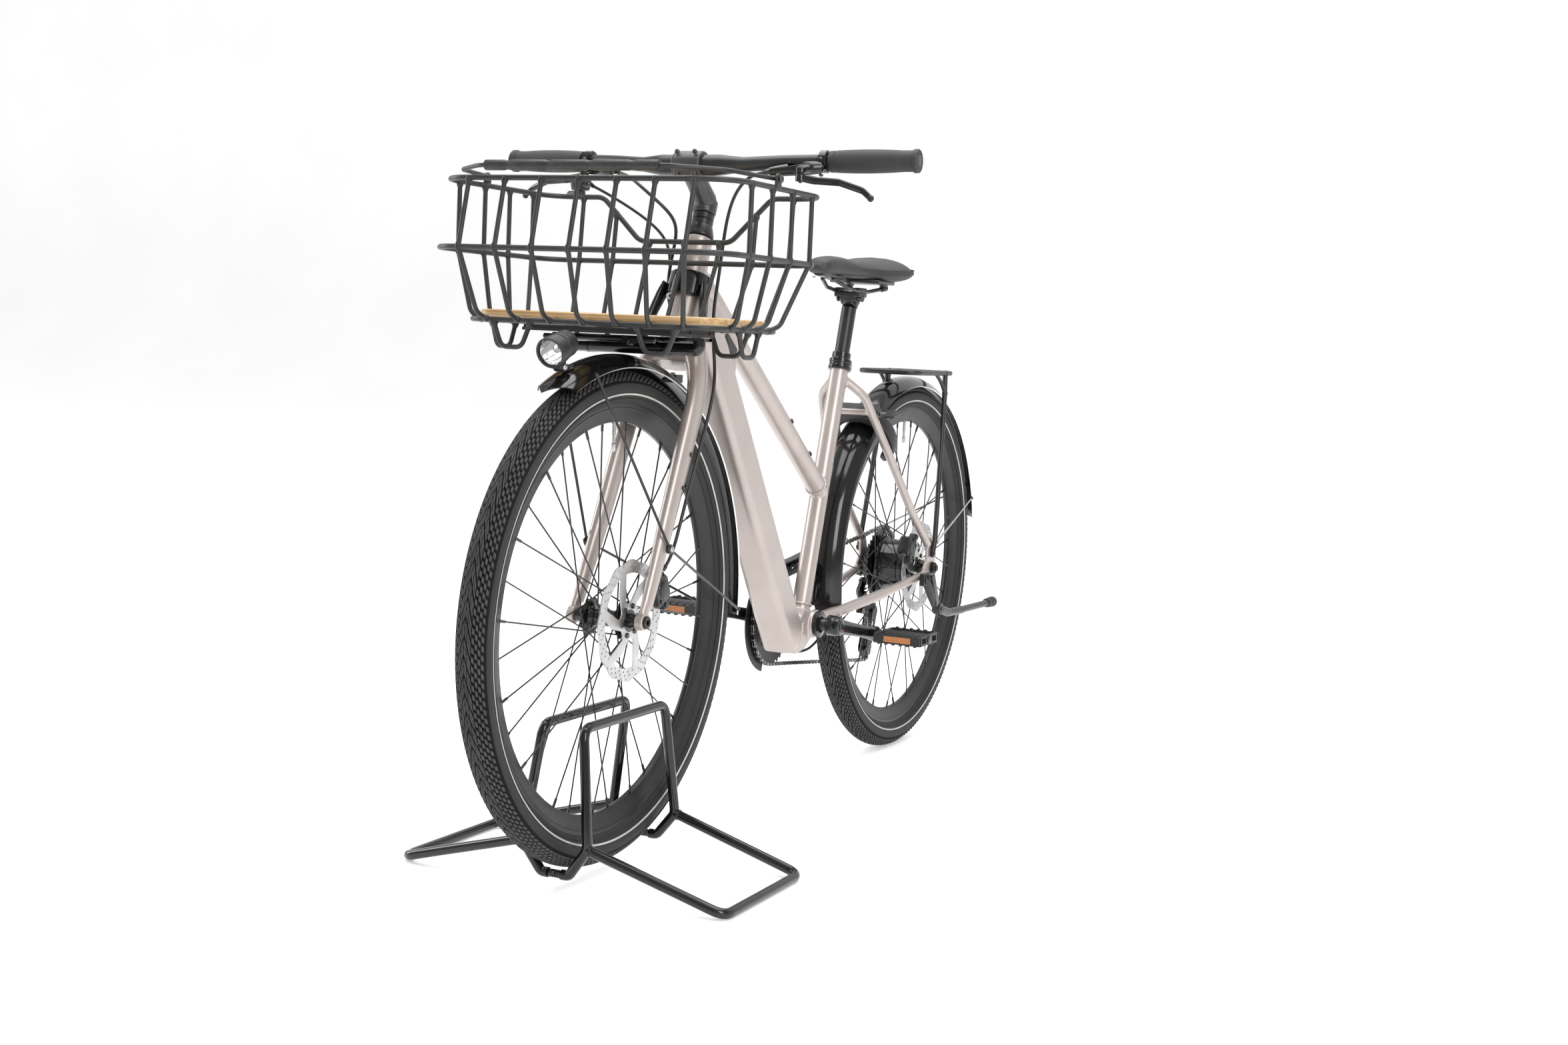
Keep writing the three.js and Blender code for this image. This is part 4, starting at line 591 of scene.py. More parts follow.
def build_camera():
    """Ahead of the bicycle on its left, a little below the handlebar."""
    heading, pitch, roll = [turn * RAD for turn in CAMERA_TURN]
    look = V(-sin(heading) * cos(pitch), cos(heading) * cos(pitch), -sin(pitch))
    right = V(cos(heading), sin(heading), 0)
    up = right.cross(look)
    tilted_right = right * cos(roll) + up * sin(roll)
    tilted_up = up * cos(roll) - right * sin(roll)
    data = bpy.data.cameras.new("camera")
    data.sensor_width, data.lens = SENSOR_WIDTH, FOCAL_LENGTH
    data.clip_start = 0.05
    data.clip_end = 60
    camera = shown("camera", data)
    turn = Matrix((tilted_right, tilted_up, -look)).transposed().to_4x4()
    camera.matrix_world = Matrix.Translation(at(CAMERA_PLACE)) @ turn
    bpy.context.scene.camera = camera


def build_floor():
    """A white floor that curves up into a wall behind the bicycle."""
    mesh = bpy.data.meshes.new("floor")
    rows = [(-FLOOR_FRONT, 0.0)]
    for k in range(COVE_STEPS + 1):
        turn = k / COVE_STEPS * pi / 2
        rows.append((FLOOR_BACK + COVE_RADIUS * sin(turn), COVE_RADIUS * (1 - cos(turn))))
    rows.append((FLOOR_BACK + COVE_RADIUS, WALL_TOP))
    verts = [(x, y, z) for y, z in rows for x in (-FLOOR_HALF, FLOOR_HALF)]
    faces = [(2 * i, 2 * i + 1, 2 * i + 3, 2 * i + 2) for i in range(len(rows) - 1)]
    mesh.from_pydata(verts, [], faces)
    mesh.materials.append(material("studio floor", tone(0.86), tone(0.90), 0.45, grain=1.5, bump=0.02,
                                   bump_grain=60, specular=0.3))
    shader = mesh.materials[0].node_tree.nodes["Principled BSDF"]
    shader.inputs["Emission Color"].default_value = (1, 1, 1, 1)
    shader.inputs["Emission Strength"].default_value = 0.34
    mesh.shade_smooth()
    shown("studio_floor", mesh)


def soft_light(name, place, aim, size, power):
    data = bpy.data.lights.new(name, "AREA")
    data.shape = "RECTANGLE"
    data.size, data.size_y = size
    data.energy = power
    lamp = shown(name, data)
    lamp.location = place
    lamp.rotation_euler = (Vector(aim) - Vector(place)).to_track_quat("-Z", "Y").to_euler()


def build_light():
    bpy.context.scene.view_settings.view_transform = "Standard"
    world = bpy.data.worlds.new("studio")
    world.use_nodes = True
    shade = world.node_tree.nodes["Background"]
    shade.inputs["Color"].default_value = (1, 1, 1, 1)
    shade.inputs["Strength"].default_value = 0.58
    bpy.context.scene.world = world
    soft_light("ceiling", (0, 0, 3.6), (0, 0, 0), (3.4, 3.4), 150)
    soft_light("front_left", (3.2, -2.6, 2.2), (0, 0, 0.6), (1.6, 2.4), 85)
    soft_light("right_side", (-3.4, -0.8, 1.8), (0, 0, 0.6), (1.2, 2.6), 60)


# ---- floor stand
STAND_ROD = 7.5
NODE_X, NODE_Z = 54, 69
STAND_FRONT, STAND_REAR = -123, 133
FOOT_X = 266
HOOP_X, HOOP_Z = 33, 236
SPRING_HALF = 11
SPRING_FRONT = V(0, STAND_FRONT + 4, 26)
SPRING_REAR = V(0, STAND_REAR + 2, 31)


def stand_half(side):
    hoop = bend([
        sided(side, SPRING_HALF, SPRING_FRONT.y, SPRING_FRONT.z),
        sided(side, SPRING_HALF + 12, SPRING_FRONT.y, SPRING_FRONT.z),
        sided(side, NODE_X, STAND_FRONT, NODE_Z),
        sided(side, HOOP_X, STAND_FRONT + 14, HOOP_Z),
        sided(side, HOOP_X, STAND_REAR - 8, HOOP_Z),
        sided(side, NODE_X, STAND_REAR, NODE_Z),
        sided(side, SPRING_HALF + 12, SPRING_REAR.y, SPRING_REAR.z),
        sided(side, SPRING_HALF, SPRING_REAR.y, SPRING_REAR.z),
    ], 20, 9)
    foot = bend([
        sided(side, NODE_X, STAND_FRONT, NODE_Z),
        sided(side, FOOT_X, STAND_FRONT + 12, STAND_ROD),
        sided(side, FOOT_X, STAND_REAR, STAND_ROD),
        sided(side, NODE_X, STAND_REAR, NODE_Z),
    ], 22, 9)
    shape = Shape().tube(hoop, STAND_ROD, 20, round_ends=2).tube(foot, STAND_ROD, 20)
    for y in (STAND_FRONT, STAND_REAR):
        slope = (sided(side, FOOT_X, y, STAND_ROD) - sided(side, NODE_X, y, NODE_Z)).normalized()
        start = sided(side, NODE_X, y, NODE_Z) + slope * 4.5
        beads = [start + slope * 5 * k / 8 for k in range(9)]
        shape.tube(beads, [8.2 + 0.5 * (k % 2) - abs(k - 3) * 0.16 for k in range(9)], 20)
    return shape


def coil(centre, half, radius, wire, turns):
    points = []
    for k in range(turns * 18 + 1):
        turn = 2 * pi * k / 18
        points.append(centre + V(-half + wire + 2 * (half - wire) * k / (turns * 18),
                                 radius * sin(turn), radius * cos(turn)))
    return Shape().tube(points, wire, 8, round_ends=0.6)


def build_stand():
    for side, name in ((1, "left"), (-1, "right")):
        piece(f"stand_{name}_tubes", stand_half(side), "stand", [GLOSS],
              [f"stand_{name}_half"])
    for centre, name in ((SPRING_FRONT, "front"), (SPRING_REAR, "rear")):
        piece(f"stand_{name}_coil", coil(centre, SPRING_HALF, 4.6, 1.4, 7), "stand", [DARK_STEEL],
              [f"stand_{name}_spring"])


# ---- tyres
CHEVRONS = 90
TREAD_HEIGHT, TREAD_TAPER = 2.4, 0.86
RIB_WIDTH, RIB_STEP = 0.34, 0.38        # shares of a chevron; the two ribs of a V lie close together
BEAD_ANGLE = 138


def on_tyre(turn, lean, radius=TYRE_SECTION):
    """A point on the tyre about the X axis: turn runs round the wheel, lean across it, in degrees."""
    out = WHEEL_RADIUS - TYRE_SECTION + radius * cos(lean * RAD)
    return V(radius * sin(lean * RAD), out * sin(turn * RAD), out * cos(turn * RAD))


def tread_block(shape, corners, steps):
    """A raised block between two edges: corners are (turn, lean) for start a, start b, end a, end b."""
    a0, b0, a1, b1 = [Vector((*c, 0)) for c in corners]
    base = TYRE_SECTION - TREAD_HEIGHT - 0.2
    verts = []
    for k in range(steps + 1):
        t = k / steps
        left, right = a0.lerp(a1, t), b0.lerp(b1, t)
        middle = (left + right) / 2
        top = [middle + (p - middle) * TREAD_TAPER for p in (left, right)]
        if k in (0, steps):
            neighbour = (a0.lerp(a1, 0.5) + b0.lerp(b1, 0.5)) / 2
            top = [p + (neighbour - p) * 0.07 for p in top]
        verts.append(on_tyre(left.x, left.y, base))
        verts.append(on_tyre(top[0].x, top[0].y))
        verts.append(on_tyre(top[1].x, top[1].y))
        verts.append(on_tyre(right.x, right.y, base))
    faces = [(0, 3, 2, 1)]
    for k in range(steps):
        base_index = k * 4
        for a, b in ((0, 1), (1, 2), (2, 3)):
            faces.append((base_index + a, base_index + b, base_index + 4 + b, base_index + 4 + a))
        faces.append((base_index, base_index + 4, base_index + 7, base_index + 3))
    last = steps * 4
    faces.append((last, last + 1, last + 2, last + 3))
    shape.add(verts, faces)


def tyre(direction):
    shape = Shape()
    casing = [(lean, TYRE_SECTION - TREAD_HEIGHT + (0 if abs(lean) < 62 else min(abs(lean) - 62, 10) * 0.16))
              for lean in range(-BEAD_ANGLE, BEAD_ANGLE + 1, 4)]
    segments = 160
    profile = [(radius * sin(lean * RAD), WHEEL_RADIUS - TYRE_SECTION + radius * cos(lean * RAD))
               for lean, radius in casing]
    profile += [(12.2, RIM_OUTER - 1.5), (-12.2, RIM_OUTER - 1.5)]
    shape.turned(profile, sides=segments, mat=1, ring=True)
    # Casing faces across the tread band take material 3: painted shade on the floors between the tread
    # blocks.
    for i, face in enumerate(shape.faces):
        middle = sum((shape.verts[k] for k in face), V(0, 0, 0)) / len(face)
        if hypot(middle.y, middle.z) > WHEEL_RADIUS - 18:
            shape.mats[i] = 3
    for side in (1, -1):
        stripe = [on_tyre(0, side * lean, TYRE_SECTION + lift) for lean, lift in
                  ((108, 0.0), (108.5, 0.35), (114, 0.35), (114.5, 0.0), (111, -1))]
        shape.turned([(p.x, p.z) for p in stripe], sides=segments, mat=2, ring=True)
        groove = [on_tyre(0, side * lean, TYRE_SECTION + lift) for lean, lift in
                  ((126, -0.5), (127, 0.5), (130, 0.5), (131, -0.5))]
        shape.turned([(p.x, p.z) for p in groove], sides=segments, mat=1, ring=True)
    one = Shape()
    pitch = 360 / CHEVRONS
    for side in (1, -1):
        for inner, outer, sweep0, sweep1 in ((0.9, 9.5, 0.0, 0.5), (10.8, 22, 0.58, 1.25)):
            for k in (0, 1):
                start = direction * (sweep0 + RIB_STEP * k) * pitch
                end = direction * (sweep1 + RIB_STEP * k) * pitch
                wide = direction * RIB_WIDTH * pitch
                tread_block(one, [(start, side * inner), (start + wide, side * inner), (end, side * outer),
                                  (end + wide, side * outer)], 3)
        for row, (inner, outer) in enumerate(((24, 32), (34, 42), (44, 52), (54, 63))):
            for k in (0, 1):
                start = direction * (1.35 + 0.3 * row + 0.5 * k) * pitch
                lean = direction * 0.14 * pitch
                wide = direction * RIB_WIDTH * pitch
                tread_block(one, [(start, side * inner), (start + wide, side * inner),
                                  (start + lean, side * outer), (start + lean + wide, side * outer)], 1)
    for k in range(CHEVRONS):
        shape.include(one, Matrix.Rotation(-k * pitch * RAD, 4, "X"))
    return shape


# ---- wheels
def spoke_lacing(shape, flanges, reach, mat, nipple_mat):
    """Crossed spokes from both flanges to the rim, with a nipple at each rim hole.
    flanges gives (radius, x) for the left and right side."""
    for i in range(SPOKES):
        radius, x = flanges[i % 2]
        lead = reach if (i // 2) % 2 else -reach
        outer = (i + 0.5) * 360 / SPOKES
        inner = outer + lead
        hub = V(x, radius * sin(inner * RAD), radius * cos(inner * RAD))
        rim = V(copysign(3, x), (RIM_INNER + 4) * sin(outer * RAD),
                (RIM_INNER + 4) * cos(outer * RAD))
        along = (rim - hub).normalized()
        shape.tube([hub - along * 1.5, rim], 1.2, 8, mat)
        shape.tube([rim - along * 17, rim - along * 15.5, rim - along * 5, rim], [1.5, 2.1, 2.1, 2.6], 8,
                   nipple_mat)
        shape.ball(hub + V(copysign(1.6, x), 0, 0), 2.1, mat, 8)


def rim_ring(shape):
    half = [(0, RIM_INNER - 0.6), (4.2, RIM_INNER), (5.6, RIM_INNER + 1.4), (9.4, 301), (11.6, 306.4),
            (12.0, 307.4), (11.5, 308.2), (12.3, 309.2), (12.6, RIM_OUTER), (12.1, RIM_OUTER + 0.9),
            (10.8, RIM_OUTER)]
    profile = half + [(-x, r) for x, r in reversed(half)][:-1]
    shape.turned(profile, sides=160, ring=True)


def valve(shape, mat):
    """The tyre's valve, standing inwards from the rim."""
    shape.turned([(0, 5), (1.5, 5), (2.2, 3.4), (2.3, 2.9), (18, 2.9), (18.5, 2.2), (30, 2.2), (31, 3.3),
                  (40, 3.3), (42, 2.4)], (0, 0, RIM_INNER - 1), (0, 0, -1), 14, mat)


def front_wheel():
    shape = Shape()
    rim_ring(shape)
    shape.turned([(-49.4, 6.6), (-49.4, 9.5), (-42, 9.8), (-41.5, 12.5), (-35, 13.5), (-33, 17), (-30.5, 25),
                  (-29, 26.5), (-26.5, 26.5), (-25, 25), (-23, 17), (-18, 13.2), (-10, 12.4), (10, 12.4),
                  (18, 13.2), (23, 17), (25, 25), (26.5, 26.5), (29, 26.5), (30.5, 25.5), (31, 20),
                  (35.8, 19), (36.2, 17), (38.6, 16.5), (39, 11), (49.4, 10), (49.4, 6.6)], mat=1,
                 ring=True)
    for side in (1, -1):
        for k in range(8):
            turn = 2 * pi * (k + 0.5) / 8
            shape.turned([(0, 4.2), (3.8, 4.2), (4.4, 3.4)],
                         V(side * 25.8, 24.6 * sin(turn), 24.6 * cos(turn)), (side, 0, 0), 12, 1)
    spoke_lacing(shape, [(22.5, 28.4), (22.5, -28.4)], 74, 2, 3)
    valve(shape, 4)
    return shape


def rear_wheel():
    shape = Shape()
    rim_ring(shape)
    shape.turned([(-66.8, 6.6), (-66.8, 11.5), (-31, 12), (-30.8, 42), (-29, 47), (-27.5, 54), (-26, 55.5),
                  (-22, 55.5), (-20.6, 54), (-19.5, 50.6), (-15, 50.2), (-14.2, 49.2), (-13, 49.2),
                  (-12.2, 50.2), (16, 50.2), (17, 49.2), (18.2, 49.2), (19, 50.4), (24, 51), (25.4, 54),
                  (26.6, 55.5), (29, 55.5), (30.5, 54), (32.5, 46), (36, 34), (40.5, 28), (41.4, 21),
                  (44.4, 19.5), (44.6, 13), (66.8, 12.5), (66.8, 6.6)], sides=72, mat=1, ring=True)
    for k in range(6):
        turn = 2 * pi * k / 6
        shape.bolt(V(32.6, 38 * sin(turn), 38 * cos(turn)), (1, 0, 0), 3, 2.4, 4)
    spoke_lacing(shape, [(52, 28.6), (52, -25.4)], 58, 2, 3)
    valve(shape, 4)
    return shape


def brake_disc(bore):
    """A wavy braking band full of holes, held to the hub by swept arms."""
    waves, radius = 12, 90
    rim = []
    for k in range(240):
        turn = 360 * k / 240
        wave = 1.6 * cos(waves * turn * RAD)
        rim.append(polar(radius - 1.6 + wave, turn))
    outlines = [rim, circle((0, 0), bore, 32)]
    arms = 6
    for k in range(arms):
        start = 360 * k / arms
        window = [polar(70, start + t) for t in range(-6, 43, 4)]
        window += [polar(50, start + 46), polar(31.5, start + 53), polar(27, start + 46),
                   polar(25.5, start + 34), polar(31, start + 22), polar(50, start + 8)]
        outlines.append(window)
        outlines.append(circle(polar(22, start + 12), 2.9, 12))
    for k in range(36):
        start = 360 * k / 36
        for row in range(3):
            if (k + row) % 6 != 5:
                outlines.append(circle(polar(74.6 + 5.2 * row, start + 3.2 * row), 1.7, 8))
    shape = Shape().plate(outlines, -0.9, 0.9)
    for k in range(arms):
        shape.bolt(V(0.9, *polar(22, 360 * k / arms + 12)), (1, 0, 0), 4.2, 2.4, 1)
    return shape


def build_wheels():
    for name, axle, disc_x, bore, direction in (("front", FRONT_AXLE, 37.4, 10.8, -1),
                                                ("rear", REAR_AXLE, 46, 15.2, 1)):
        body = f"{name}_wheel"
        place = Matrix.Translation(axle)
        piece(f"{name}_tyre_tread", tyre(direction), body, [RUBBER, SIDEWALL, STRIPE, GROOVE_SHADE],
              [f"{name}_tyre"], place=place, crease=30)
        laced = front_wheel() if name == "front" else rear_wheel()
        piece(f"{name}_rim_hub_spokes", laced, body, [RIM_BLACK, GLOSS, SATIN, SATIN, STEEL],
              [f"{name}_laced_wheel"], place=place)
        piece(f"{name}_disc_rotor", brake_disc(bore), body, [DISC, DARK_STEEL],
              [f"{name}_brake_disc"], place=place @ Matrix.Translation((disc_x, 0, 0)))


# ---- frame
HEAD_TOP, HEAD_BOTTOM = 943, 802
SEAT_TUBE_TOP = 762
DOWN_TUBE_TOP = V(0, 214, 853)
DOWN_TUBE_FOOT = V(0, 613, 271)
TOP_TUBE_HEAD, TOP_TUBE_SEAT = V(0, 226, 890), seat(526)


def rounded_box(half_wide, half_deep, corner, steps=5):
    """A rectangle outline with its corners cut and softly rounded, centred on the origin."""
    points = []
    for x, y, start in ((1, 1, 0), (-1, 1, 90), (-1, -1, 180), (1, -1, 270)):
        for k in range(steps + 1):
            turn = (start + 90 * k / steps) * RAD
            points.append((x * (half_wide - corner) + corner * cos(turn),
                           y * (half_deep - corner) + corner * sin(turn)))
    return points


def down_tube(shape):
    along = (DOWN_TUBE_FOOT - DOWN_TUBE_TOP).normalized()
    deep = along.cross(V(1, 0, 0)).normalized()
    stations = [(DOWN_TUBE_TOP, 0.66), (V(0, 232, 827), 0.8), (V(0, 252, 798), 0.93), (V(0, 275, 764), 1.0),
                (DOWN_TUBE_FOOT.lerp(DOWN_TUBE_TOP, 0.5), 1.0), (DOWN_TUBE_FOOT, 1.0)]
    rings = [[centre + V(x * size, 0, 0) + deep * (y * size) for x, y in rounded_box(30, 33, 14)]
             for centre, size in stations]
    shape.loft(rings)


def rear_end(shape, side):
    chainstay = bend([sided(side, 24, BB_Y + 10, 301), sided(side, 36, 755, 309), sided(side, 58, 930, 329),
                      sided(side, 70, 1100, 350)], 60, 8)
    seatstay = bend([sided(side, 8, 797, 731), sided(side, 42, 822, 700), sided(side, 59, 893, 608),
                     sided(side, 67, 1030, 474), sided(side, 70.5, 1112, 408)], 50, 8)
    count = len(chainstay) - 1
    shape.tube(chainstay, [11.5 - 3.5 * k / count for k in range(count + 1)], 24)
    shape.tube(seatstay, 8, 24)
    low, high = (67.8, 73.8) if side > 0 else (-73.8, -67.8)
    outline = [(1088, 338), (1118, 332), (1146, 342), (1152, 366), (1140, 388), (1126, 420), (1104, 424),
               (1106, 380), (1090, 362)]
    shape.plate([outline], low, high)


def frame_tubes():
    """The main tubes, stays and dropouts as one skin."""
    shape = Shape()
    shape.turned([(0, 25), (1.5, 27.6), (12, 27.3), (18, 26.4), (110, 22.2), (128, 21.5), (147, 21.6),
                  (149, 20)], steer(HEAD_BOTTOM), steer(HEAD_TOP) - steer(HEAD_BOTTOM), 48)
    down_tube(shape)
    shape.rod(TOP_TUBE_HEAD, TOP_TUBE_SEAT, 18.5, 18, 40)
    shape.rod(seat(BB_Z), seat(SEAT_TUBE_TOP), 16.6, 16.6, 40)
    shape.turned([(0, 24.5), (1, 25), (6, 25), (8, 23), (64, 23), (66, 25), (71, 25), (72, 24.5)],
                 V(-36, BB_Y, BB_Z), (1, 0, 0), 48)
    shape.plate([[(232, 862), (352, 800), (352, 735), (262, 800)]], -16, 16)
    shape.rod(V(-49, 846, 669), V(49, 846, 669), 6)
    foot = [(590, 262), (604, 250), (640, 255), (BB_Y, 276), (BB_Y, 318), (630, 330)]
    shape.plate([foot], -29, 29)
    for side in (1, -1):
        rear_end(shape, side)
    return melted(shape, 1.7, 9)


def weld_bead(shape, points, radius):
    """A weld of overlapping ripples along a path."""
    path = spline(points, 14)
    shape.tube(path, [radius * (1 + 0.16 * sin(k * 1.9)) for k in range(len(path))], 10, round_ends=1)


def weld_ring(shape, centre, axis, radius, bead=2.6):
    """A rippled weld all the way round a tube."""
    axis = axis.normalized()
    side = axis.orthogonal().normalized()
    up = axis.cross(side)
    turns = [2 * pi * k / 72 for k in range(72)]
    path = [centre + side * (radius * cos(t)) + up * (radius * sin(t)) for t in turns]
    shape.tube(path, [bead * (1 + 0.2 * sin(k * pi / 2)) for k in range(72)], 10, 0, closed=True)


def frame_details(shape):
    """Welds, bosses and bolts of the frame; its paint is material 0 and its bolts material 1."""
    for side in (1, -1):
        weld_bead(shape, [sided(side, 4, 640, 331), sided(side, 20, 633, 322), sided(side, 27.5, 628, 300),
                          sided(side, 28, 620, 276), sided(side, 22, 610, 257)], 3.6)
    along = (TOP_TUBE_SEAT - TOP_TUBE_HEAD).normalized()
    weld_ring(shape, TOP_TUBE_SEAT - along * 21, along, 18.2)
    weld_ring(shape, seat(BB_Z + 31), seat(500) - seat(400), 16.4)
    weld_ring(shape, TOP_TUBE_HEAD + along * 25, along, 18.6, 2.2)
    for x in (-29, 29):
        weld_ring(shape, V(x, BB_Y, BB_Z), V(1, 0, 0), 23.4, 1.8)
    for spot in (0.66, 0.82):
        base = TOP_TUBE_HEAD.lerp(TOP_TUBE_SEAT, spot)
        out = V(0.86, 0, 0.5).normalized()
        out = (out - along * out.dot(along)).normalized()
        shape.turned([(0, 6), (1.2, 6), (1.8, 5)], base + out * 17.2, out, 20, 0)
        shape.bolt(base + out * 18.8, out, 4.4, 3.2, 1)
    for side in (1, -1):
        shape.bolt(sided(side, 73.8, 1112, 408), (side, 0, 0), 3.8, 3, 1)
        shape.bolt(sided(side, 49, 846, 669), (side, 0, -0.2), 3.6, 3, 1)


def cable_loops():
    """Hoses and a cable that leave the down tube's foot and run under the bottom bracket to the stays."""
    shape = Shape()
    for k, x in enumerate((-14, 0, 13)):
        drop = 10 + 3 * k
        points = [V(x, 622, 262), V(x * 1.2, 640, 256 - drop * 0.4), V(x * 1.7 + 2, 668, 262 - drop * 0.6),
                  V(x * 1.9 + 6, 700, 276 - drop * 0.4), V(x * 2 + 8, 735, 292), V(x * 2.2 + 4, 775, 297)]
        shape.tube(spline(points, 8), 2.4, 12)
    shape.rod(V(-20, 618, 256), V(20, 618, 256), 4.5, 4.5, 16)
    return shape


def charge_cover():
    turn = Matrix.Rotation(-35.7 * RAD, 3, "X")
    shape = Shape().box((16.6, 303, 771), (19.2, 347, 789), 0, turn)
    grip = Shape().box((18.6, 306, 777), (20.2, 316, 783), 0, turn, (18, 325, 780))
    return shape.include(grip)


def seat_collar():
    axis = seat(800) - seat(700)
    shape = Shape()
    shape.turned([(0, 17.2), (0, 19.5), (1.5, 20.6), (7, 20.6), (8, 19.6), (12, 19.6), (13, 20.6), (19, 20.6),
                  (20.6, 19.2), (21.5, 17.4), (32, 17), (33.2, 15.8), (33.2, 14), (0, 14)], seat(744), axis,
                 56, 0, ring=True)
    shape.box((-8.5, 820, 745), (-1, 835, 760))
    shape.box((1, 820, 745), (8.5, 835, 760))
    shape.bolt(V(8, 828, 752), (1, 0, 0), 3.4, 4, 1)
    shape.rod(V(-12, 828, 752), V(8, 828, 752), 2.4, 2.4, 12, 1)
    return shape


# ---- mudguards
def guard_shell(shape, axle, radius, start, end, nose_back):
    """A mudguard with a crowned section and a painted highlight along its edges; nose_back cuts its front end
    to a point.
    """
    count = 10
    outer = [(k / count * GUARD_HALF, 18 * abs(k / count) ** 2.6) for k in range(-count, count + 1)]
    inner = [(x * (GUARD_HALF - 1.6) / GUARD_HALF, drop + 1.5) for x, drop in outer]
    section = [(x, radius - drop) for x, drop in outer] + [(x, radius - drop) for x, drop in reversed(inner)]
    steps = int((end - start) / 2)
    rings = []
    for i in range(steps + 1):
        angle = start + (end - start) * i / steps
        fade = max(0.0, 1 - (angle - start) / 9.0)
        rings.append([around_x(axle, r, angle + nose_back * abs(x / GUARD_HALF) * fade ** 2, x)
                      for x, r in section])
    total = len(section)
    shape.loft(rings, 0)
    first = len(shape.faces) - steps * total - 2
    # The two edge strips take material 1, a light grey: a painted highlight along the guard's edges.
    for i in range(steps):
        for k in (2 * count, total - 1):
            shape.mats[first + i * total + k] = 1


STAY_BOSS = V(65, 53, 481)


def stay_wire(shape, start, end, mat, radius=2.1):
    shape.tube([start, end], radius, 12, mat, round_ends=1)


def front_guard():
    shape = Shape()
    guard_shell(shape, FRONT_AXLE, 384, -31, 95, 6)
    for side in (1, -1):
        boss = sided(side, STAY_BOSS.x + 5.5, STAY_BOSS.y, STAY_BOSS.z)
        for y, z in ((-106, 732), (366, 356)):
            far = sided(side, GUARD_HALF - 1.2, y, z)
            stay_wire(shape, far, boss, 2)
            shape.ball(far, 3.6, 2, 12)
        shape.turned([(0, 7), (4, 7.4), (5, 6.4), (5.4, 5)],
                     sided(side, STAY_BOSS.x + 2.8, STAY_BOSS.y, STAY_BOSS.z), (side, 0, 0), 24, 2)
        shape.bolt(sided(side, STAY_BOSS.x + 8, STAY_BOSS.y, STAY_BOSS.z), (side, 0, 0), 4.6, 3.4, 3)
        for turn in (20, 160):
            shape.bolt(boss + V(0, 6.4 * cos(turn * RAD), 6.4 * sin(turn * RAD)), (side, 0, 0), 2.6, 2.4,
                       2)
    shape.box((-12, 158, 721), (12, 180, 733), 2)
    shape.bolt(V(0, 170, 733), (0, 0, 1), 4, 3, 3)
    return shape


def rear_guard():
    shape = Shape()
    guard_shell(shape, REAR_AXLE, 374, -97, 78, 0)
    for side in (1, -1):
        edge = sided(side, GUARD_HALF - 1.2, 1466, 478)
        eyelet = sided(side, 78.5, 1143, 412)
        stay_wire(shape, edge, eyelet, 3, 1.8)
        shape.ball(edge, 4, 2, 12)
        shape.turned([(0, 5), (3.4, 5), (4.4, 4)], sided(side, 75.4, 1143, 412), (side, 0, 0), 18, 3)
        shape.bolt(sided(side, 79.6, 1143, 412), (side, 0, 0), 4, 3, 3)
    return shape


# ---- rear rack
RACK_Z, RACK_HALF = 744, 60


def rear_rack():
    loop = bend_loop([V(RACK_HALF, 1026, RACK_Z), V(RACK_HALF, 1236, RACK_Z), V(-RACK_HALF, 1236, RACK_Z),
                      V(-RACK_HALF, 1026, RACK_Z)], 32, 10)
    shape = Shape().tube(loop, 5, 20, closed=True)
    for side in (1, -1):
        leg = bend([sided(side, RACK_HALF, 1188, RACK_Z), sided(side, 64, 1180, 700),
                    sided(side, 79, 1128, 415), sided(side, 79, 1120, 392)], 30, 6)
        shape.tube(leg, 5, 20)
        shape.turned([(0, 7), (5, 7.2), (6, 6)], sided(side, 76, 1120, 390), (side, 0, 0), 24)
        shape.bolt(sided(side, 81.5, 1120, 390), (side, 0, 0), 4.4, 3, 1)
        brace = spline([sided(side, RACK_HALF, 1132, RACK_Z), sided(side, 60.5, 1150, 735),
                        sided(side, 61.5, 1168, 722), sided(side, 63, 1183, 704)], 6)
        shape.tube(brace, 3.6, 14)
        for y, z in ((1188, RACK_Z), (1183, 704)):
            shape.ball(sided(side, RACK_HALF + (RACK_Z - z) * 0.08, y, z), 6, 0, 14)
    shape.rod(V(0, 1028, RACK_Z), V(0, 1037, 727), 5.5)
    shape.turned([(0, 9), (1.6, 9.4), (3, 7)], V(0, 1038, 725.5), (0, -0.2, 1), 24)
    shape.tube([V(-RACK_HALF, 1066, RACK_Z - 1), V(RACK_HALF, 1066, RACK_Z - 1)], 2.6, 12)
    return shape


# ---- ring lock
LOCK_RING, LOCK_MOUTH, LOCK_BOLT_RADIUS = 57, 36, 4.5
LOCK_TIP = 360 - LOCK_MOUTH
LOCK_KEY_Z = LOCK_RING + 3
LOCK_LEAN, LOCK_REACH = 39, 334
LOCK_PLACE = tipped(around_x(REAR_AXLE, LOCK_REACH, -LOCK_LEAN), LOCK_LEAN)


def lock_point(degrees, radius=LOCK_RING):
    return V(radius * sin(degrees * RAD), 0, -radius * cos(degrees * RAD))


def lock_arc(start, end, steps, radius=LOCK_RING):
    return [lock_point(start + (end - start) * k / steps, radius) for k in range(steps + 1)]


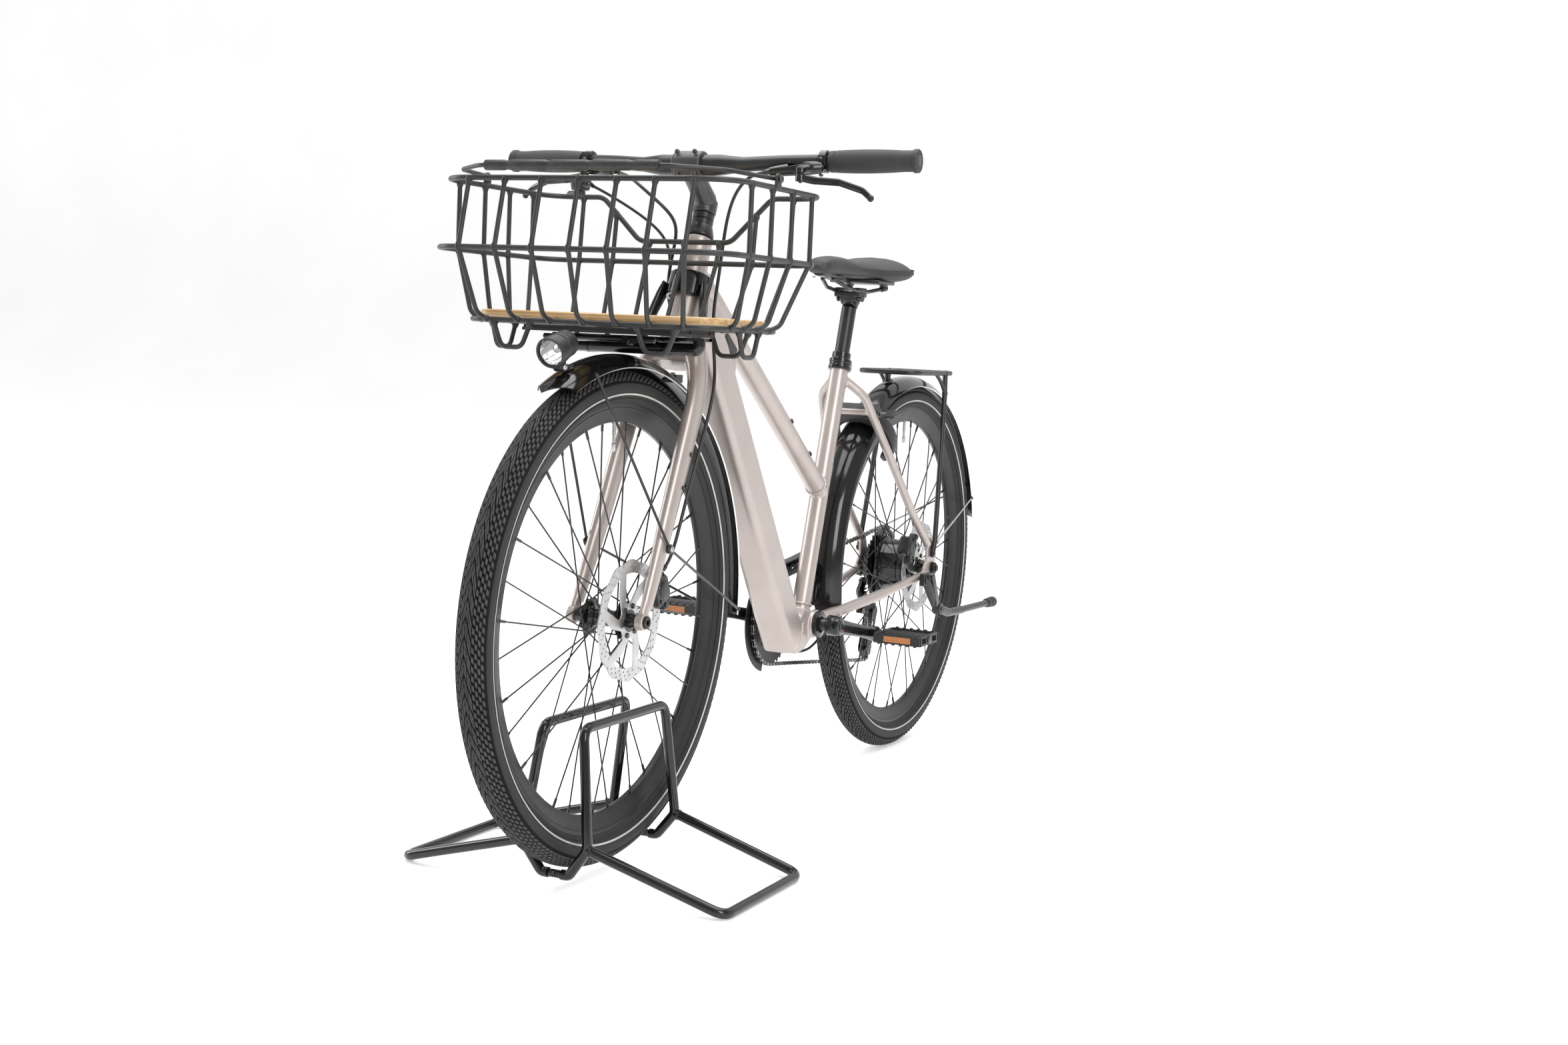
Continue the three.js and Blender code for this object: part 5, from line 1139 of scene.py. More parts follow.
def lock_case():
    """A horseshoe case, thicker at the top where the works are, with its mouth cut square."""
    shape = Shape()
    steps = 72
    rings = []
    for i in range(steps + 1):
        degrees = LOCK_MOUTH + (360 - 2 * LOCK_MOUTH) * i / steps
        centre = lock_point(degrees)
        outward = centre.normalized()
        top = max(0.0, -cos(degrees * RAD)) ** 1.4
        end = min(1.0, min(i, steps - i) / 3.0 * 0.3 + 0.7)
        ring = []
        for k in range(24):
            turn = 2 * pi * k / 24
            wide = squared(cos(turn), 0.6) * (10.5 + 2.5 * top) * end
            deep = squared(sin(turn), 0.6) * (13.5 + 2.5 * top) * end
            ring.append(centre + outward * (wide + 1.5 * top) + V(0, deep, 0))
        rings.append(ring)
    shape.loft(rings)
    shape.include(Shape().box((-45, -15.5, LOCK_RING - 8), (45, 15.5, LOCK_RING + 12)))
    shape.turned([(0, 9.5), (4, 9.5), (5, 8.4), (5, 4.4), (2, 4.2)], V(43.5, 0, LOCK_KEY_Z), (1, 0, 0), 32, 1)
    for x in (-30, 30):
        shape.bolt(V(x, -15, LOCK_RING + 2), (0, -1, 0), 4, 2.6, 1)
    return shape


def lock_works():
    """The case with the bolt's channel, the lever's slot and the key's bore cut out of it."""
    channel = Shape().tube(lock_arc(LOCK_TIP - 62, LOCK_TIP + 12, 30), LOCK_BOLT_RADIUS + 1.4, 20)
    slot = Shape().tube(lock_arc(LOCK_TIP - 62, LOCK_TIP - 24, 16, LOCK_RING * 1.14), 5, 16)
    keyway = Shape().rod(V(38, 0, LOCK_KEY_Z), V(60, 0, LOCK_KEY_Z), 3.4, 3.4, 20, 0, 0)
    return carved(lock_case(), [channel, slot, keyway])


def lock_bolt():
    shape = Shape().tube(lock_arc(LOCK_TIP - 58, LOCK_TIP - 2, 24), LOCK_BOLT_RADIUS, 20, round_ends=1.5)
    base = lock_point(LOCK_TIP - 52)
    shape.rod(base, base * 1.36, 2.6, 2.6, 12, 0)
    shape.turned([(0, 6.5), (2, 7.9), (9, 7.9), (10.5, 6.8), (11.4, 5)], base * 1.3, base, 24, 1)
    return shape


def lock_key():
    shape = Shape().rod(V(40, 0, LOCK_KEY_Z), V(62, 0, LOCK_KEY_Z), 2.6, 2.6, 14, 0)
    bow = [(y, LOCK_KEY_Z + z) for y, z in ((-9, -1.9), (9, -1.9), (9, 1.9), (-9, 1.9))]
    shape.plate([bow], 60, 80, 1, 0.6)
    for k in range(4):
        shape.box((46 + 3 * k, -0.8, LOCK_RING + 5), (47.6 + 3 * k, 0.8, LOCK_RING + 6.2), 0)
    return shape


# ---- brake caliper
FRONT_CALIPER_PLACE = tipped(V(37.4, 75, FRONT_Z + 38), 26.9)
REAR_CALIPER_PLACE = tipped(V(46, WHEELBASE - 73, REAR_Z + 41.6), 150.3)


def caliper_body(mount_x):
    """Two halves bolted across the disc, with bridge bolts, cooling fins, a banjo and mount bolts."""
    shape = Shape()
    for low, high in ((-10, -2.0), (2.0, 13)):
        outline = [(-20, -16), (-15, -20), (14, -20), (19, -13), (20, 12), (15, 20), (-13, 20), (-20, 13)]
        shape.plate([outline], low, high, 0, 1.4)
    shape.plate([[(8.5, -17), (20, -14), (20, 14), (8.5, 17)]], -6, 9, 0, 0.8)
    shape.turned([(0, 13.6), (2.2, 13.8), (3.6, 12), (4.2, 8)], V(11.4, 3.5, 0), (1, 0, 0), 32)
    shape.turned([(0, 13.4), (1.4, 13.4), (2.4, 9)], V(-9.4, 3.5, 0), (-1, 0, 0), 32)
    for z in (-16, 16):
        shape.bolt(V(13, -12, z * 0.8), (1, 0, 0), 3.2, 3, 1)
    shape.plate([[(-6, -30), (-3, -32), (4, -31), (6, -28), (6, 28), (4, 31), (-3, 32), (-6, 30)]], 2.2,
                mount_x, 0, 1.2)
    for z in (-26, 26):
        shape.bolt(V(mount_x - 0.6, 0, z), (1, 0, 0), 4.4, 4.2, 1)
    shape.turned([(0, 5), (7, 5), (8, 4)], V(5, 12, 16), (0, 0.6, 0.9), 18, 1)
    for k in range(5):
        shape.box((-1.4, -19 + 4.2 * k, -7), (1.4, -17.6 + 4.2 * k, 7), 2)
    return shape


def build_frame():
    tubes = frame_tubes()
    frame_details(tubes)
    piece("frame_tubes", tubes, "frame", [PAINT, SATIN], ["main_frame"], crease=50)
    piece("frame_cable_loops", cable_loops(), "frame", [HOSE])
    piece("charge_cover", charge_cover(), "frame", [SOFT], ["charge_port_cover"],
          bevel=1)
    piece("seat_collar", seat_collar(), "frame", [GLOSS, STEEL], ["seat_clamp"],
          bevel=0.4)
    piece("rear_guard", rear_guard(), "frame", [GLOSS, EDGE_HIGHLIGHT_PAINT, SATIN, STEEL],
          ["rear_mudguard"])
    piece("rack_tubes", rear_rack(), "frame", [SATIN, DARK_STEEL], ["rear_rack"])
    piece("lock_case", lock_works(), "frame", [PLASTIC, DARK_STEEL],
          ["ring_lock_body"], place=LOCK_PLACE, bevel=1.2)
    piece("lock_shackle", lock_bolt(), "lock_bolt", [STEEL, PLASTIC], ["ring_lock_bolt"],
          place=LOCK_PLACE)
    piece("lock_key_and_bow", lock_key(), "key", [STEEL, PLASTIC], ["lock_key"],
          place=LOCK_PLACE)
    piece("rear_caliper", caliper_body(15.5), "frame", [SATIN, DARK_STEEL, ALLOY],
          ["rear_brake_caliper"], place=REAR_CALIPER_PLACE)
    axle = Shape().rod(REAR_AXLE - V(86, 0, 0), REAR_AXLE + V(86, 0, 0), 6, 6, 24, 0, 1.2)
    for side in (1, -1):
        axle.turned([(0, 12.4), (1.2, 12.4)], REAR_AXLE + V(side * 74.2, 0, 0), (side, 0, 0), 32, 0)
        axle.turned([(0, 11), (6.2, 11), (7.6, 9.6)], REAR_AXLE + V(side * 75.4, 0, 0), (side, 0, 0), 6, 0)
    piece("rear_axle_and_nuts", axle, "frame", [ALLOY], ["rear_axle"], bevel=0.4)


# ---- drive train
FRONT_CHAIN_X, REAR_CHAIN_X = -50, -36
JOCKEY_RADIUS = 19
UPPER_JOCKEY, LOWER_JOCKEY = (1096, 268), (1072, 197)
RING_TEETH, COG_TEETH, JOCKEY_TEETH = 40, 36, 11


def chain_line(step):
    """The chain's pitch line round ring, largest sprocket and both jockey wheels, every step mm."""
    wraps = [((BB_Y, BB_Z), CHAINRING_RADIUS + CHAIN_GAP, 1),
             ((WHEELBASE, REAR_Z), SPROCKET_RADII[0] + CHAIN_GAP, 1),
             (UPPER_JOCKEY, JOCKEY_RADIUS + CHAIN_GAP, -1), (LOWER_JOCKEY, JOCKEY_RADIUS + CHAIN_GAP, 1)]
    leaving = []
    for i, (centre, radius, sense) in enumerate(wraps):
        other, far, far_sense = wraps[(i + 1) % 4]
        dy, dz = other[0] - centre[0], other[1] - centre[1]
        normal = (atan2(dz, dy) + pi / 2
                  + asin((far_sense * far - sense * radius) / hypot(dy, dz)))
        leaving.append(tuple((c[0] + r * cos(normal), c[1] + r * sin(normal))
                             for c, r in ((centre, sense * radius), (other, far_sense * far))))
    fine = []
    for i, (centre, radius, sense) in enumerate(wraps):
        arrive, leave = leaving[i - 1][1], leaving[i][0]
        start = atan2(arrive[1] - centre[1], arrive[0] - centre[0])
        turn = atan2(leave[1] - centre[1], leave[0] - centre[0]) - start
        while sense * turn > 0:
            turn -= sense * 2 * pi
        for k in range(61):
            angle = start + turn * k / 60
            fine.append((centre[0] + radius * cos(angle), centre[1] + radius * sin(angle)))
    fine.append(fine[0])
    lengths = [0.0]
    for a, b in zip(fine, fine[1:]):
        lengths.append(lengths[-1] + hypot(b[0] - a[0], b[1] - a[1]))
    links = 2 * round(lengths[-1] / step / 2)
    points = []
    at_span = 0
    for k in range(links):
        want = lengths[-1] * k / links
        while lengths[at_span + 1] < want:
            at_span += 1
        span = lengths[at_span + 1] - lengths[at_span]
        t = (want - lengths[at_span]) / max(span, 1e-6)
        y = fine[at_span][0] + (fine[at_span + 1][0] - fine[at_span][0]) * t
        z = fine[at_span][1] + (fine[at_span + 1][1] - fine[at_span][1]) * t
        share = min(max((y - BB_Y - 90) / (1040 - BB_Y - 90), 0), 1)
        points.append(V(FRONT_CHAIN_X + (REAR_CHAIN_X - FRONT_CHAIN_X) * share, y, z))
    return points


def chain(rollers):
    shape = Shape()
    count = len(rollers)
    for k, here in enumerate(rollers):
        there = rollers[(k + 1) % count]
        along = there - here
        length = along.length
        turn = atan2(along.z, along.y)
        outline = (arc((0, 0), 3.7, 55, 305, 10) + [(length / 2, -2.4)]
                   + arc((length, 0), 3.7, -125, 125, 10) + [(length / 2, 2.4)])
        lay = Matrix.Translation(here) @ Matrix.Rotation(turn, 4, "X")
        lean = Matrix.Rotation(atan2(-(there.x - here.x), length), 4, "Z")
        offset = 2.55 if k % 2 else 1.65
        for side in (1, -1):
            low, high = sorted((side * offset, side * (offset + 0.85)))
            verts = [V(x, y, z) for x in (low, high) for y, z in outline]
            n = len(outline)
            faces = [tuple(range(n - 1, -1, -1)), tuple(range(n, 2 * n))]
            faces += [(i, (i + 1) % n, n + (i + 1) % n, n + i) for i in range(n)]
            shape.add([lay @ lean @ p for p in verts], faces, k % 2)
        shape.rod(here - V(3.7, 0, 0), here + V(3.7, 0, 0), 1.7, 1.7, 8, 0, 0.2)
        shape.rod(here - V(1.6, 0, 0), here + V(1.6, 0, 0), 3.6, 3.6, 12, 1, 0.2)
    return shape


def gear_phase(rollers, centre, radius):
    """The angle of a roller that lies on this wheel, so that its teeth leave room for the rollers."""
    best = min(rollers, key=lambda p: abs(hypot(p.y - centre[0], p.z - centre[1]) - radius))
    return atan2(best.z - centre[1], best.y - centre[0]) / RAD


def cassette(phase):
    shape = Shape()
    for i, radius in enumerate(SPROCKET_RADII):
        x = REAR_CHAIN_X - 4.2 * i
        teeth = COG_TEETH if i == 0 else round(2 * pi * (radius + CHAIN_GAP) / CHAIN_PITCH)
        root, tip = radius + 1.2, radius + 7
        outlines = [toothed((0, 0), root, tip, teeth, phase), circle((0, 0), 17.2, 32)]
        if radius > 38:
            for k in range(6):
                outlines.append(circle(((radius - 12) * cos(k * pi / 3 + 0.3 * i),
                                        (radius - 12) * sin(k * pi / 3 + 0.3 * i)), 5.2 + radius / 22, 14))
        shape.plate(outlines, x - 0.9, x + 0.9, 0)
        shape.turned([(-3.2, 17.3), (-3.2, 20), (-0.9, 20), (-0.9, 17.3)], (x, 0, 0), (1, 0, 0), 32, 1,
                     ring=True)
    end = REAR_CHAIN_X - 4.2 * (len(SPROCKET_RADII) - 1)
    shape.turned([(0, 17.2), (-2.2, 15.6), (-2.2, 6.7), (34, 6.7), (34, 17.2)], (end - 0.6, 0, 0), (1, 0, 0),
                 36, 1, ring=True)
    return shape


def jockey(phase):
    outlines = [toothed((0, 0), JOCKEY_RADIUS + 1.1, JOCKEY_RADIUS + 6.2, JOCKEY_TEETH, phase),
                circle((0, 0), 4.6, 20)]
    for k in range(5):
        turn = 72 * k * RAD
        outlines.append(circle((12.4 * cos(turn), 12.4 * sin(turn)), 3, 12))
    shape = Shape().plate(outlines, -1.1, 1.1, 0)
    return shape.turned([(-1.7, 4.7), (-1.7, 7.4), (1.7, 7.4), (1.7, 4.7)], sides=24, mat=1, ring=True)


def derailleur():
    shape = Shape()
    cage = arc(UPPER_JOCKEY, 11.5, -18, 162, 12) + arc(LOWER_JOCKEY, 11.5, 162, 342, 12)
    window = arc((1090, 249), 4, -18, 162, 6) + arc((1078, 216), 4, 162, 342, 6)
    for x in (-44.6, -28.4):
        shape.plate([cage, window], x - 1.2, x + 1.2, 0, 0.3)
    for centre in (UPPER_JOCKEY, LOWER_JOCKEY):
        shape.rod(V(-46, *centre), V(-27, *centre), 3.8, 3.8, 16, 1)
        shape.bolt(V(-45.6, *centre), (-1, 0, 0), 5.2, 2.6, 1)
    shape.limb([(V(-47, 1099, 270), 9, 9), (V(-58, 1106, 287), 9.6, 10), (V(-68, 1112, 301), 8.6, 10),
                (V(-69, 1120, 312), 7.6, 8), (V(-69, 1128, 321), 7.6, 8)], 24, 0, 4)
    shape.plate([[(1088, 262), (1104, 258), (1122, 292), (1112, 304), (1098, 296)]], -66, -54, 0, 2)
    shape.plate([[(1094, 272), (1104, 270), (1116, 292), (1108, 298)]], -70.4, -66.6, 2, 0.8)
    shape.turned([(0, 8.5), (11, 8.5), (12.4, 7)], V(-63, 1128, 321), (-1, 0, 0), 28, 0)
    shape.bolt(V(-74.6, 1128, 321), (-1, 0, 0), 6, 3.2, 1)
    for k in range(2):
        shape.rod(V(-60 - 4 * k, 1117, 306), V(-60 - 4 * k, 1124, 309), 1.6, 1.6, 10, 1)
    return shape


def right_crank(phase):
    """Chainring, spider, spindle, right arm and its pedal axle, in the cranks' own frame."""
    shape = Shape()
    ring = [toothed((0, 0), CHAINRING_RADIUS + 1.1, CHAINRING_RADIUS + 6.6, RING_TEETH, phase),
            circle((0, 0), 57, 64)]
    shape.plate(ring, FRONT_CHAIN_X - 1.2, FRONT_CHAIN_X + 1.2, 1)
    shape.turned([(-2.4, 68), (-2.4, 71), (-1.2, 71), (-1.2, 68)], (FRONT_CHAIN_X, 0, 0), (1, 0, 0), 96, 1,
                 ring=True)
    for k in range(5):
        turn = (72 * k + 17) * RAD
        arm = [spun(FRONT_CHAIN_X - 4, 8, turn), spun(FRONT_CHAIN_X - 4, 30, turn),
               spun(FRONT_CHAIN_X - 2.6, 63, turn)]
        shape.tube(spline(arm, 6), [9 - 4 * i / 12 for i in range(13)], 16, round_ends=2)
        shape.bolt(spun(FRONT_CHAIN_X - 5.6, 61, turn), (-1, 0, 0), 4.2, 2, 2)
    shape.rod(V(-76, 0, 0), V(77, 0, 0), 11.6, 11.6, 32, 2, 1)
    shape.turned([(-77, 13), (-76, 17), (-73, 18.4), (-60, 18.2), (-49, 16), (-47, 12)], sides=40)
    for x in (-44, 36.6):
        shape.turned([(0, 14), (0, 22.5), (1.5, 23.5), (6.4, 23.5), (7.4, 22), (7.4, 14)], (x, 0, 0),
                     (1, 0, 0), ring=True)
    shape.bolt(V(-76, 0, 0), (-1, 0, 0), 8.5, 3, 2)
    crank_arm(shape, -1)
    return shape


def crank_arm(shape, side):
    """A forged arm from the spindle to the pedal's eye; the left arm points along +Y."""
    stations = [(V(side * 67, side * -4, 0), 8.4, 15.6), (V(side * 69, side * 22, 0), 7.8, 14.4),
                (V(side * 71.5, side * 60, 0), 7, 12.4), (V(side * 75, side * 115, 0), 6.8, 11.4),
                (V(side * 78, side * CRANK_LENGTH, 0), 6.8, 13)]
    centres = spline([s[0] for s in stations], 8)
    sizes = spline([V(s[1], s[2], i * 40) for i, s in enumerate(stations)], 8)
    rings = []
    for centre, size in zip(centres, sizes):
        rings.append([centre + V(squared(cos(t), 0.55) * size.x, 0, squared(sin(t), 0.55) * size.y)
                      for t in (2 * pi * k / 32 for k in range(32))])
    shape.loft(rings)
    eye = V(side * 71.6, side * CRANK_LENGTH, 0)
    shape.turned([(0, 13.2), (1, 14), (12.4, 14), (13.6, 12.8)], eye, (side, 0, 0), 36)
    shape.rod(V(side * 80, side * CRANK_LENGTH, 0), V(side * 184, side * CRANK_LENGTH, 0), 4.6, 4.6, 16, 2)
    shape.turned([(0, 8.6), (2, 8.8), (6.4, 8.8), (7.4, 7)], V(side * 84.8, side * CRANK_LENGTH, 0),
                 (side, 0, 0), 6, 2)


def left_crank():
    shape = Shape().turned([(57.6, 13), (58.2, 17), (60, 18.2), (78, 17.6), (81.6, 16.4), (83, 13)], sides=40)
    crank_arm(shape, 1)
    shape.turned([(82.4, 9.2), (84.2, 9.2), (84.8, 8.2), (84.8, 5), (82.6, 4.8)], sides=32, mat=1)
    shape.turned([(82.6, 4.7), (83.4, 4.7)], sides=6, mat=2)
    return shape


def pedal(side):
    """A cage pedal round its own axle: two toothed side plates, end plates, barrel and reflectors."""
    def low_high(x0, x1):
        return sorted((side * x0, side * x1))
    shape = Shape()
    for x0, x1 in ((8, 14), (92, 98)):
        low, high = low_high(x0, x1)
        outline = [(-46, -8), (-42, -9.4), (42, -9.4), (46, -8), (46, 8), (42, 9.4), (-42, 9.4), (-46, 8)]
        shape.plate([outline, [(-36, -4.6), (-15, -4.6), (-15, 4.6), (-36, 4.6)],
                     [(15, -4.6), (36, -4.6), (36, 4.6), (15, 4.6)]], low, high, 0, 0.6)
    for y in (-1, 1):
        a, b = low_high(8, 98)
        shape.box((a, y * 44 - 3.6, -8.6), (b, y * 44 + 3.6, 8.6))
        a, b = low_high(28, 80)
        shape.box((a, y * 46.9 - 0.9, -5.4), (b, y * 46.9 + 0.9, 5.4), 1)
        for k in range(14):
            x = side * (30 + 3.7 * k)
            for z in (-2.6, 2.6):
                shape.box((x - 1.3, y * 47.6 - 0.5, z - 2), (x + 1.3, y * 47.6 + 0.5, z + 2), 1)
        for k in range(6):
            x = side * (18 + 14 * k)
            for z in (-1, 1):
                shape.box((x - 2.4, y * 44 - 3.4, z * 9.4 - 1.4), (x + 2.4, y * 44 + 3.4, z * 9.4 + 1.4))
    a, b = low_high(9, 97)
    shape.rod(V(a, 0, 0), V(b, 0, 0), 10.5, 10.5, 28, 0, 1.5)
    for x in (24, 53, 82):
        low, high = low_high(x - 3, x + 3)
        shape.box((low, -44, -4.6), (high, 44, 4.6))
    shape.turned([(0, 8), (1.6, 8), (2.4, 6.6)], V(side * 98, 0, 0), (side, 0, 0), 24, 2)
    return shape


def chain_guard():
    outline = arc((BB_Y, BB_Z), 96, 255, 90, 30)
    outline += [(740, 397), (800, 405), (860, 415), (905, 424), (912, 420), (914, 412), (905, 396),
                (850, 383), (800, 372), (728, 364)]
    outline += arc((BB_Y, BB_Z), 68, 70, 255, 32)
    slots = []
    for k in range(5):
        y, z = 762 + 26 * k, 380 + 5.6 * k
        slots.append([(y - 7, z - 2), (y + 7, z + 0.8), (y + 7, z + 5), (y - 7, z + 2.2)])
    shape = Shape().plate([outline, *slots], -59.5, -56.5, 0, 0.6)
    lip = arc((BB_Y, BB_Z), 96.6, 150, 84, 12)
    lip += [(740, 398), (800, 405.6), (860, 416), (905, 424.6), (904.6, 427.4), (859, 419), (799, 408.6),
            (740, 401)]
    lip += arc((BB_Y, BB_Z), 99.2, 84, 150, 12)
    shape.plate([lip], -58, -40, 0, 0.5)
    for y, z in ((638, 372), (617, 345)):
        shape.bolt(V(-59.5, y, z), (-1, 0, 0), 4.6, 2, 1)
    return shape


def kick_bracket():
    shape = Shape().limb([(V(87, 1068, 345), 7.4, 13), (V(88.6, 1080, 332), 8, 14),
                          (V(90, 1094, 316), 8, 14.4), (V(91, 1114, 294), 7, 13)], 28)
    shape.box((79.6, 1052, 333), (90, 1092, 356))
    shape.plate([[(1072, 352), (1086, 356), (1120, 296), (1108, 286)]], 95, 99, 1, 1.2)
    for y, z in ((1062, 344), (1082, 348)):
        shape.bolt(V(90, y, z), (1, 0, 0), 4.4, 3, 1)
    return shape


def kick_leg():
    shape = Shape().turned([(0, 10), (1.2, 11), (15.8, 11), (17, 10)], V(84, 1128, 282), (1, 0, 0), 36)
    shape.bolt(V(101, 1128, 282), (1, 0, 0), 5.4, 2.2, 3)
    shape.tube(bend([V(95, 1132, 281), V(98, 1170, 270), V(106, 1230, 270)], 30, 8),
               [9 - 0.12 * k for k in range(11)], 24, round_ends=1)
    shape.rod(V(104.5, 1218, 270), V(118, 1352, 272.5), 7, 7, 28, 1)
    shape.turned([(0, 8.4), (2, 9.4), (12, 9.8), (13, 9.2), (15, 9.2), (16, 10.2), (32, 11), (35.6, 9.6)],
                 V(117, 1345, 272.4), V(3.5, 35, 0.6), 32, 2)
    return shape


def build_drive():
    rollers = chain_line(CHAIN_PITCH)
    cranks = tipped(BOTTOM_BRACKET, -CRANK_DROP)
    ring_phase = gear_phase(rollers, (BB_Y, BB_Z), CHAINRING_RADIUS + CHAIN_GAP) + CRANK_DROP
    piece("crank_and_ring", right_crank(ring_phase), "crank", [GLOSS, SATIN, DARK_STEEL],
          ["crankset"], place=cranks)
    piece("left_crank_arm", left_crank(), "crank", [GLOSS, DARK_STEEL, SATIN],
          ["left_crank"], place=cranks)
    for side, name in ((1, "left"), (-1, "right")):
        place = (cranks @ Matrix.Translation(V(side * 88, side * CRANK_LENGTH, 0))
                 @ Matrix.Rotation(CRANK_DROP * RAD, 4, "X"))
        piece(f"{name}_pedal_cage", pedal(side), f"{name}_pedal_body", [PLASTIC, AMBER, DARK_STEEL],
              [f"{name}_pedal"], place=place, bevel=0.5)
    cog_phase = gear_phase(rollers, (WHEELBASE, REAR_Z), SPROCKET_RADII[0] + CHAIN_GAP)
    piece("cassette_sprockets", cassette(cog_phase), "sprockets", [DARK_STEEL, SATIN],
          ["cassette"], place=Matrix.Translation(REAR_AXLE))
    for name, centre in (("upper", UPPER_JOCKEY), ("lower", LOWER_JOCKEY)):
        phase = gear_phase(rollers, centre, JOCKEY_RADIUS + CHAIN_GAP)
        piece(f"{name}_jockey_teeth", jockey(phase), f"{name}_jockey", [PLASTIC, DARK_STEEL],
              [f"{name}_jockey_wheel"],
              place=Matrix.Translation(V(REAR_CHAIN_X, *centre)))
    piece("derailleur_and_cage", derailleur(), "frame", [GLOSS, DARK_STEEL, ALLOY],
          ["rear_derailleur"])
    piece("chain_links", chain(rollers), "frame", [STEEL, DARK_STEEL], ["chain"])
    piece("chain_cover", chain_guard(), "frame", [PLASTIC, DARK_STEEL],
          ["chain_guard"])
    piece("kickstand_mount", kick_bracket(), "frame", [SATIN, DARK_STEEL],
          ["kickstand_bracket"], bevel=1.5)
    piece("kickstand_prop", kick_leg(), "kickstand", [GREY, GREY, SOFT, DARK_STEEL],
          ["kickstand_leg"])


# ---- fork, stem and bars
def fork_skin():
    shape = Shape()
    shape.limb([(steer(797), 27.3, 27.3), (V(0, 181, 778), 30, 27), (V(0, 178.5, 764), 40, 25.5),
                (V(0, 171, 747), 51, 21)], 40)
    for side in (1, -1):
        leg = [(sided(side, 34, 176, 764), 17, 21), (sided(side, 45, 165, 737), 14.5, 21),
               (sided(side, 52, 149, 700), 12.5, 20), (sided(side, 53, 128, 652), 12.5, 19),
               (sided(side, 55, 64, 510), 11, 16), (sided(side, 57, 30, 436), 8.8, 13.6),
               (sided(side, 57.5, 12, 397), 7.5, 12)]
        shape.limb(leg, 36)
        shape.turned([(0, 12.6), (0.8, 13), (12.8, 12), (13.7, 11)], sided(side, 50.8, 0, FRONT_Z),
                     (side, 0, 0), 40)
        shape.limb([(sided(side, 57.5, 14, 404), 7, 11), (sided(side, 57.6, 6, 391), 6.4, 10),
                    (sided(side, 57.6, 1, 380), 6.2, 9)], 28)
        shape.rod(sided(side, 56, 53, 481), sided(side, STAY_BOSS.x + 2.6, STAY_BOSS.y, STAY_BOSS.z), 6, 6,
                  24)
    return melted(shape, 1.3, 8)


def fork():
    shape = fork_skin()
    shape.rod(steer(790), steer(998), 14.3, 14.3, 36, 1)
    for side in (1, -1):
        for centre in (V(52.8, 112, 617), V(53.8, 90, 568)):
            base = V(side * (centre.x + 11.2), centre.y + 3, centre.z)
            shape.turned([(0, 5.4), (1.4, 5.4), (2, 4.6)], base - V(side * 0.8, 0, 0), (side, 0, 0), 20, 0)
            shape.bolt(base + V(side * 0.8, 0, 0), (side, 0, 0), 3.8, 2.8, 2)
    return shape


def spacers():
    axis = steer(990) - steer(940)
    shape = Shape()
    shape.turned([(0, 21.6), (1, 22.2), (4, 22), (17, 18.2), (19.4, 17), (19.4, 15.2), (0, 15.2)],
                 steer(HEAD_TOP + 0.6), axis, ring=True)
    for start in (961.6, 971.2):
        shape.turned([(0, 16), (0.8, 16.8), (8.6, 16.8), (9.4, 16), (9.4, 15.2), (0, 15.2)], steer(start),
                     axis, ring=True)
    return shape


def stem():
    body = Shape()
    body.turned([(0, 17.2), (1.2, 18.2), (21, 18.2), (23.6, 16)], steer(980.8), steer(1003) - steer(980.6),
                40)
    body.limb([(steer(999), 17, 17), (V(0, 250, 1003), 18, 18), (V(0, 228, 1023), 16.5, 17),
               (V(0, 206, 1044), 19, 17)], 36)
    body.turned([(-24, 19.5), (-22.6, 21.6), (22.6, 21.6), (24, 19.5)], (0, 200, 1050), (1, 0, 0), 44)
    shape = melted(body, 1.1, 5)
    for x in (-15, 15):
        for z, lean in ((1069, 0.4), (1032, -0.4)):
            shape.bolt(V(x, 184, z), (0, -1, lean), 3.8, 3.4, 1)
        shape.rod(V(x, 182, 1030), V(x, 190, 1068), 4.2, 4.2, 14, 0)
    for z in (988, 997):
        shape.bolt(steer(z) + V(-3, 17, 0), (-0.2, 1, 0), 3.4, 3, 1)
    shape.box((-25, 180.6, 1049.4), (25, 183, 1050.6), 2)
    return shape


BAR_LINE = [V(0, 200, 1050), V(70, 203, 1051), V(145, 226, 1057), V(194, 241.8, 1059.7),
            V(348, 251.7, 1061.9)]


def bar_path(side):
    return [V(side * p.x, p.y, p.z) for p in bend(BAR_LINE, 160, 12)]


def handlebar():
    left = bar_path(1)
    whole = [V(-p.x, p.y, p.z) for p in reversed(left[1:])] + left

    def radius(p):
        x = abs(p.x)
        return 15.8 if x < 50 else 15.8 - 4.7 * min(1, (x - 50) / 36)

    dense = []
    for a, b in zip(whole, whole[1:]):
        pieces = max(1, int((b - a).length / 8))
        dense.extend(a.lerp(b, k / pieces) for k in range(pieces))
    dense.append(whole[-1])
    return Shape().tube(dense, [radius(p) for p in dense], 36, round_ends=0.6)


def grip_axis(side, x):
    t = (x - 212) / 140
    return V(side * x, 243 + 9 * t, 1060 + 2 * t)


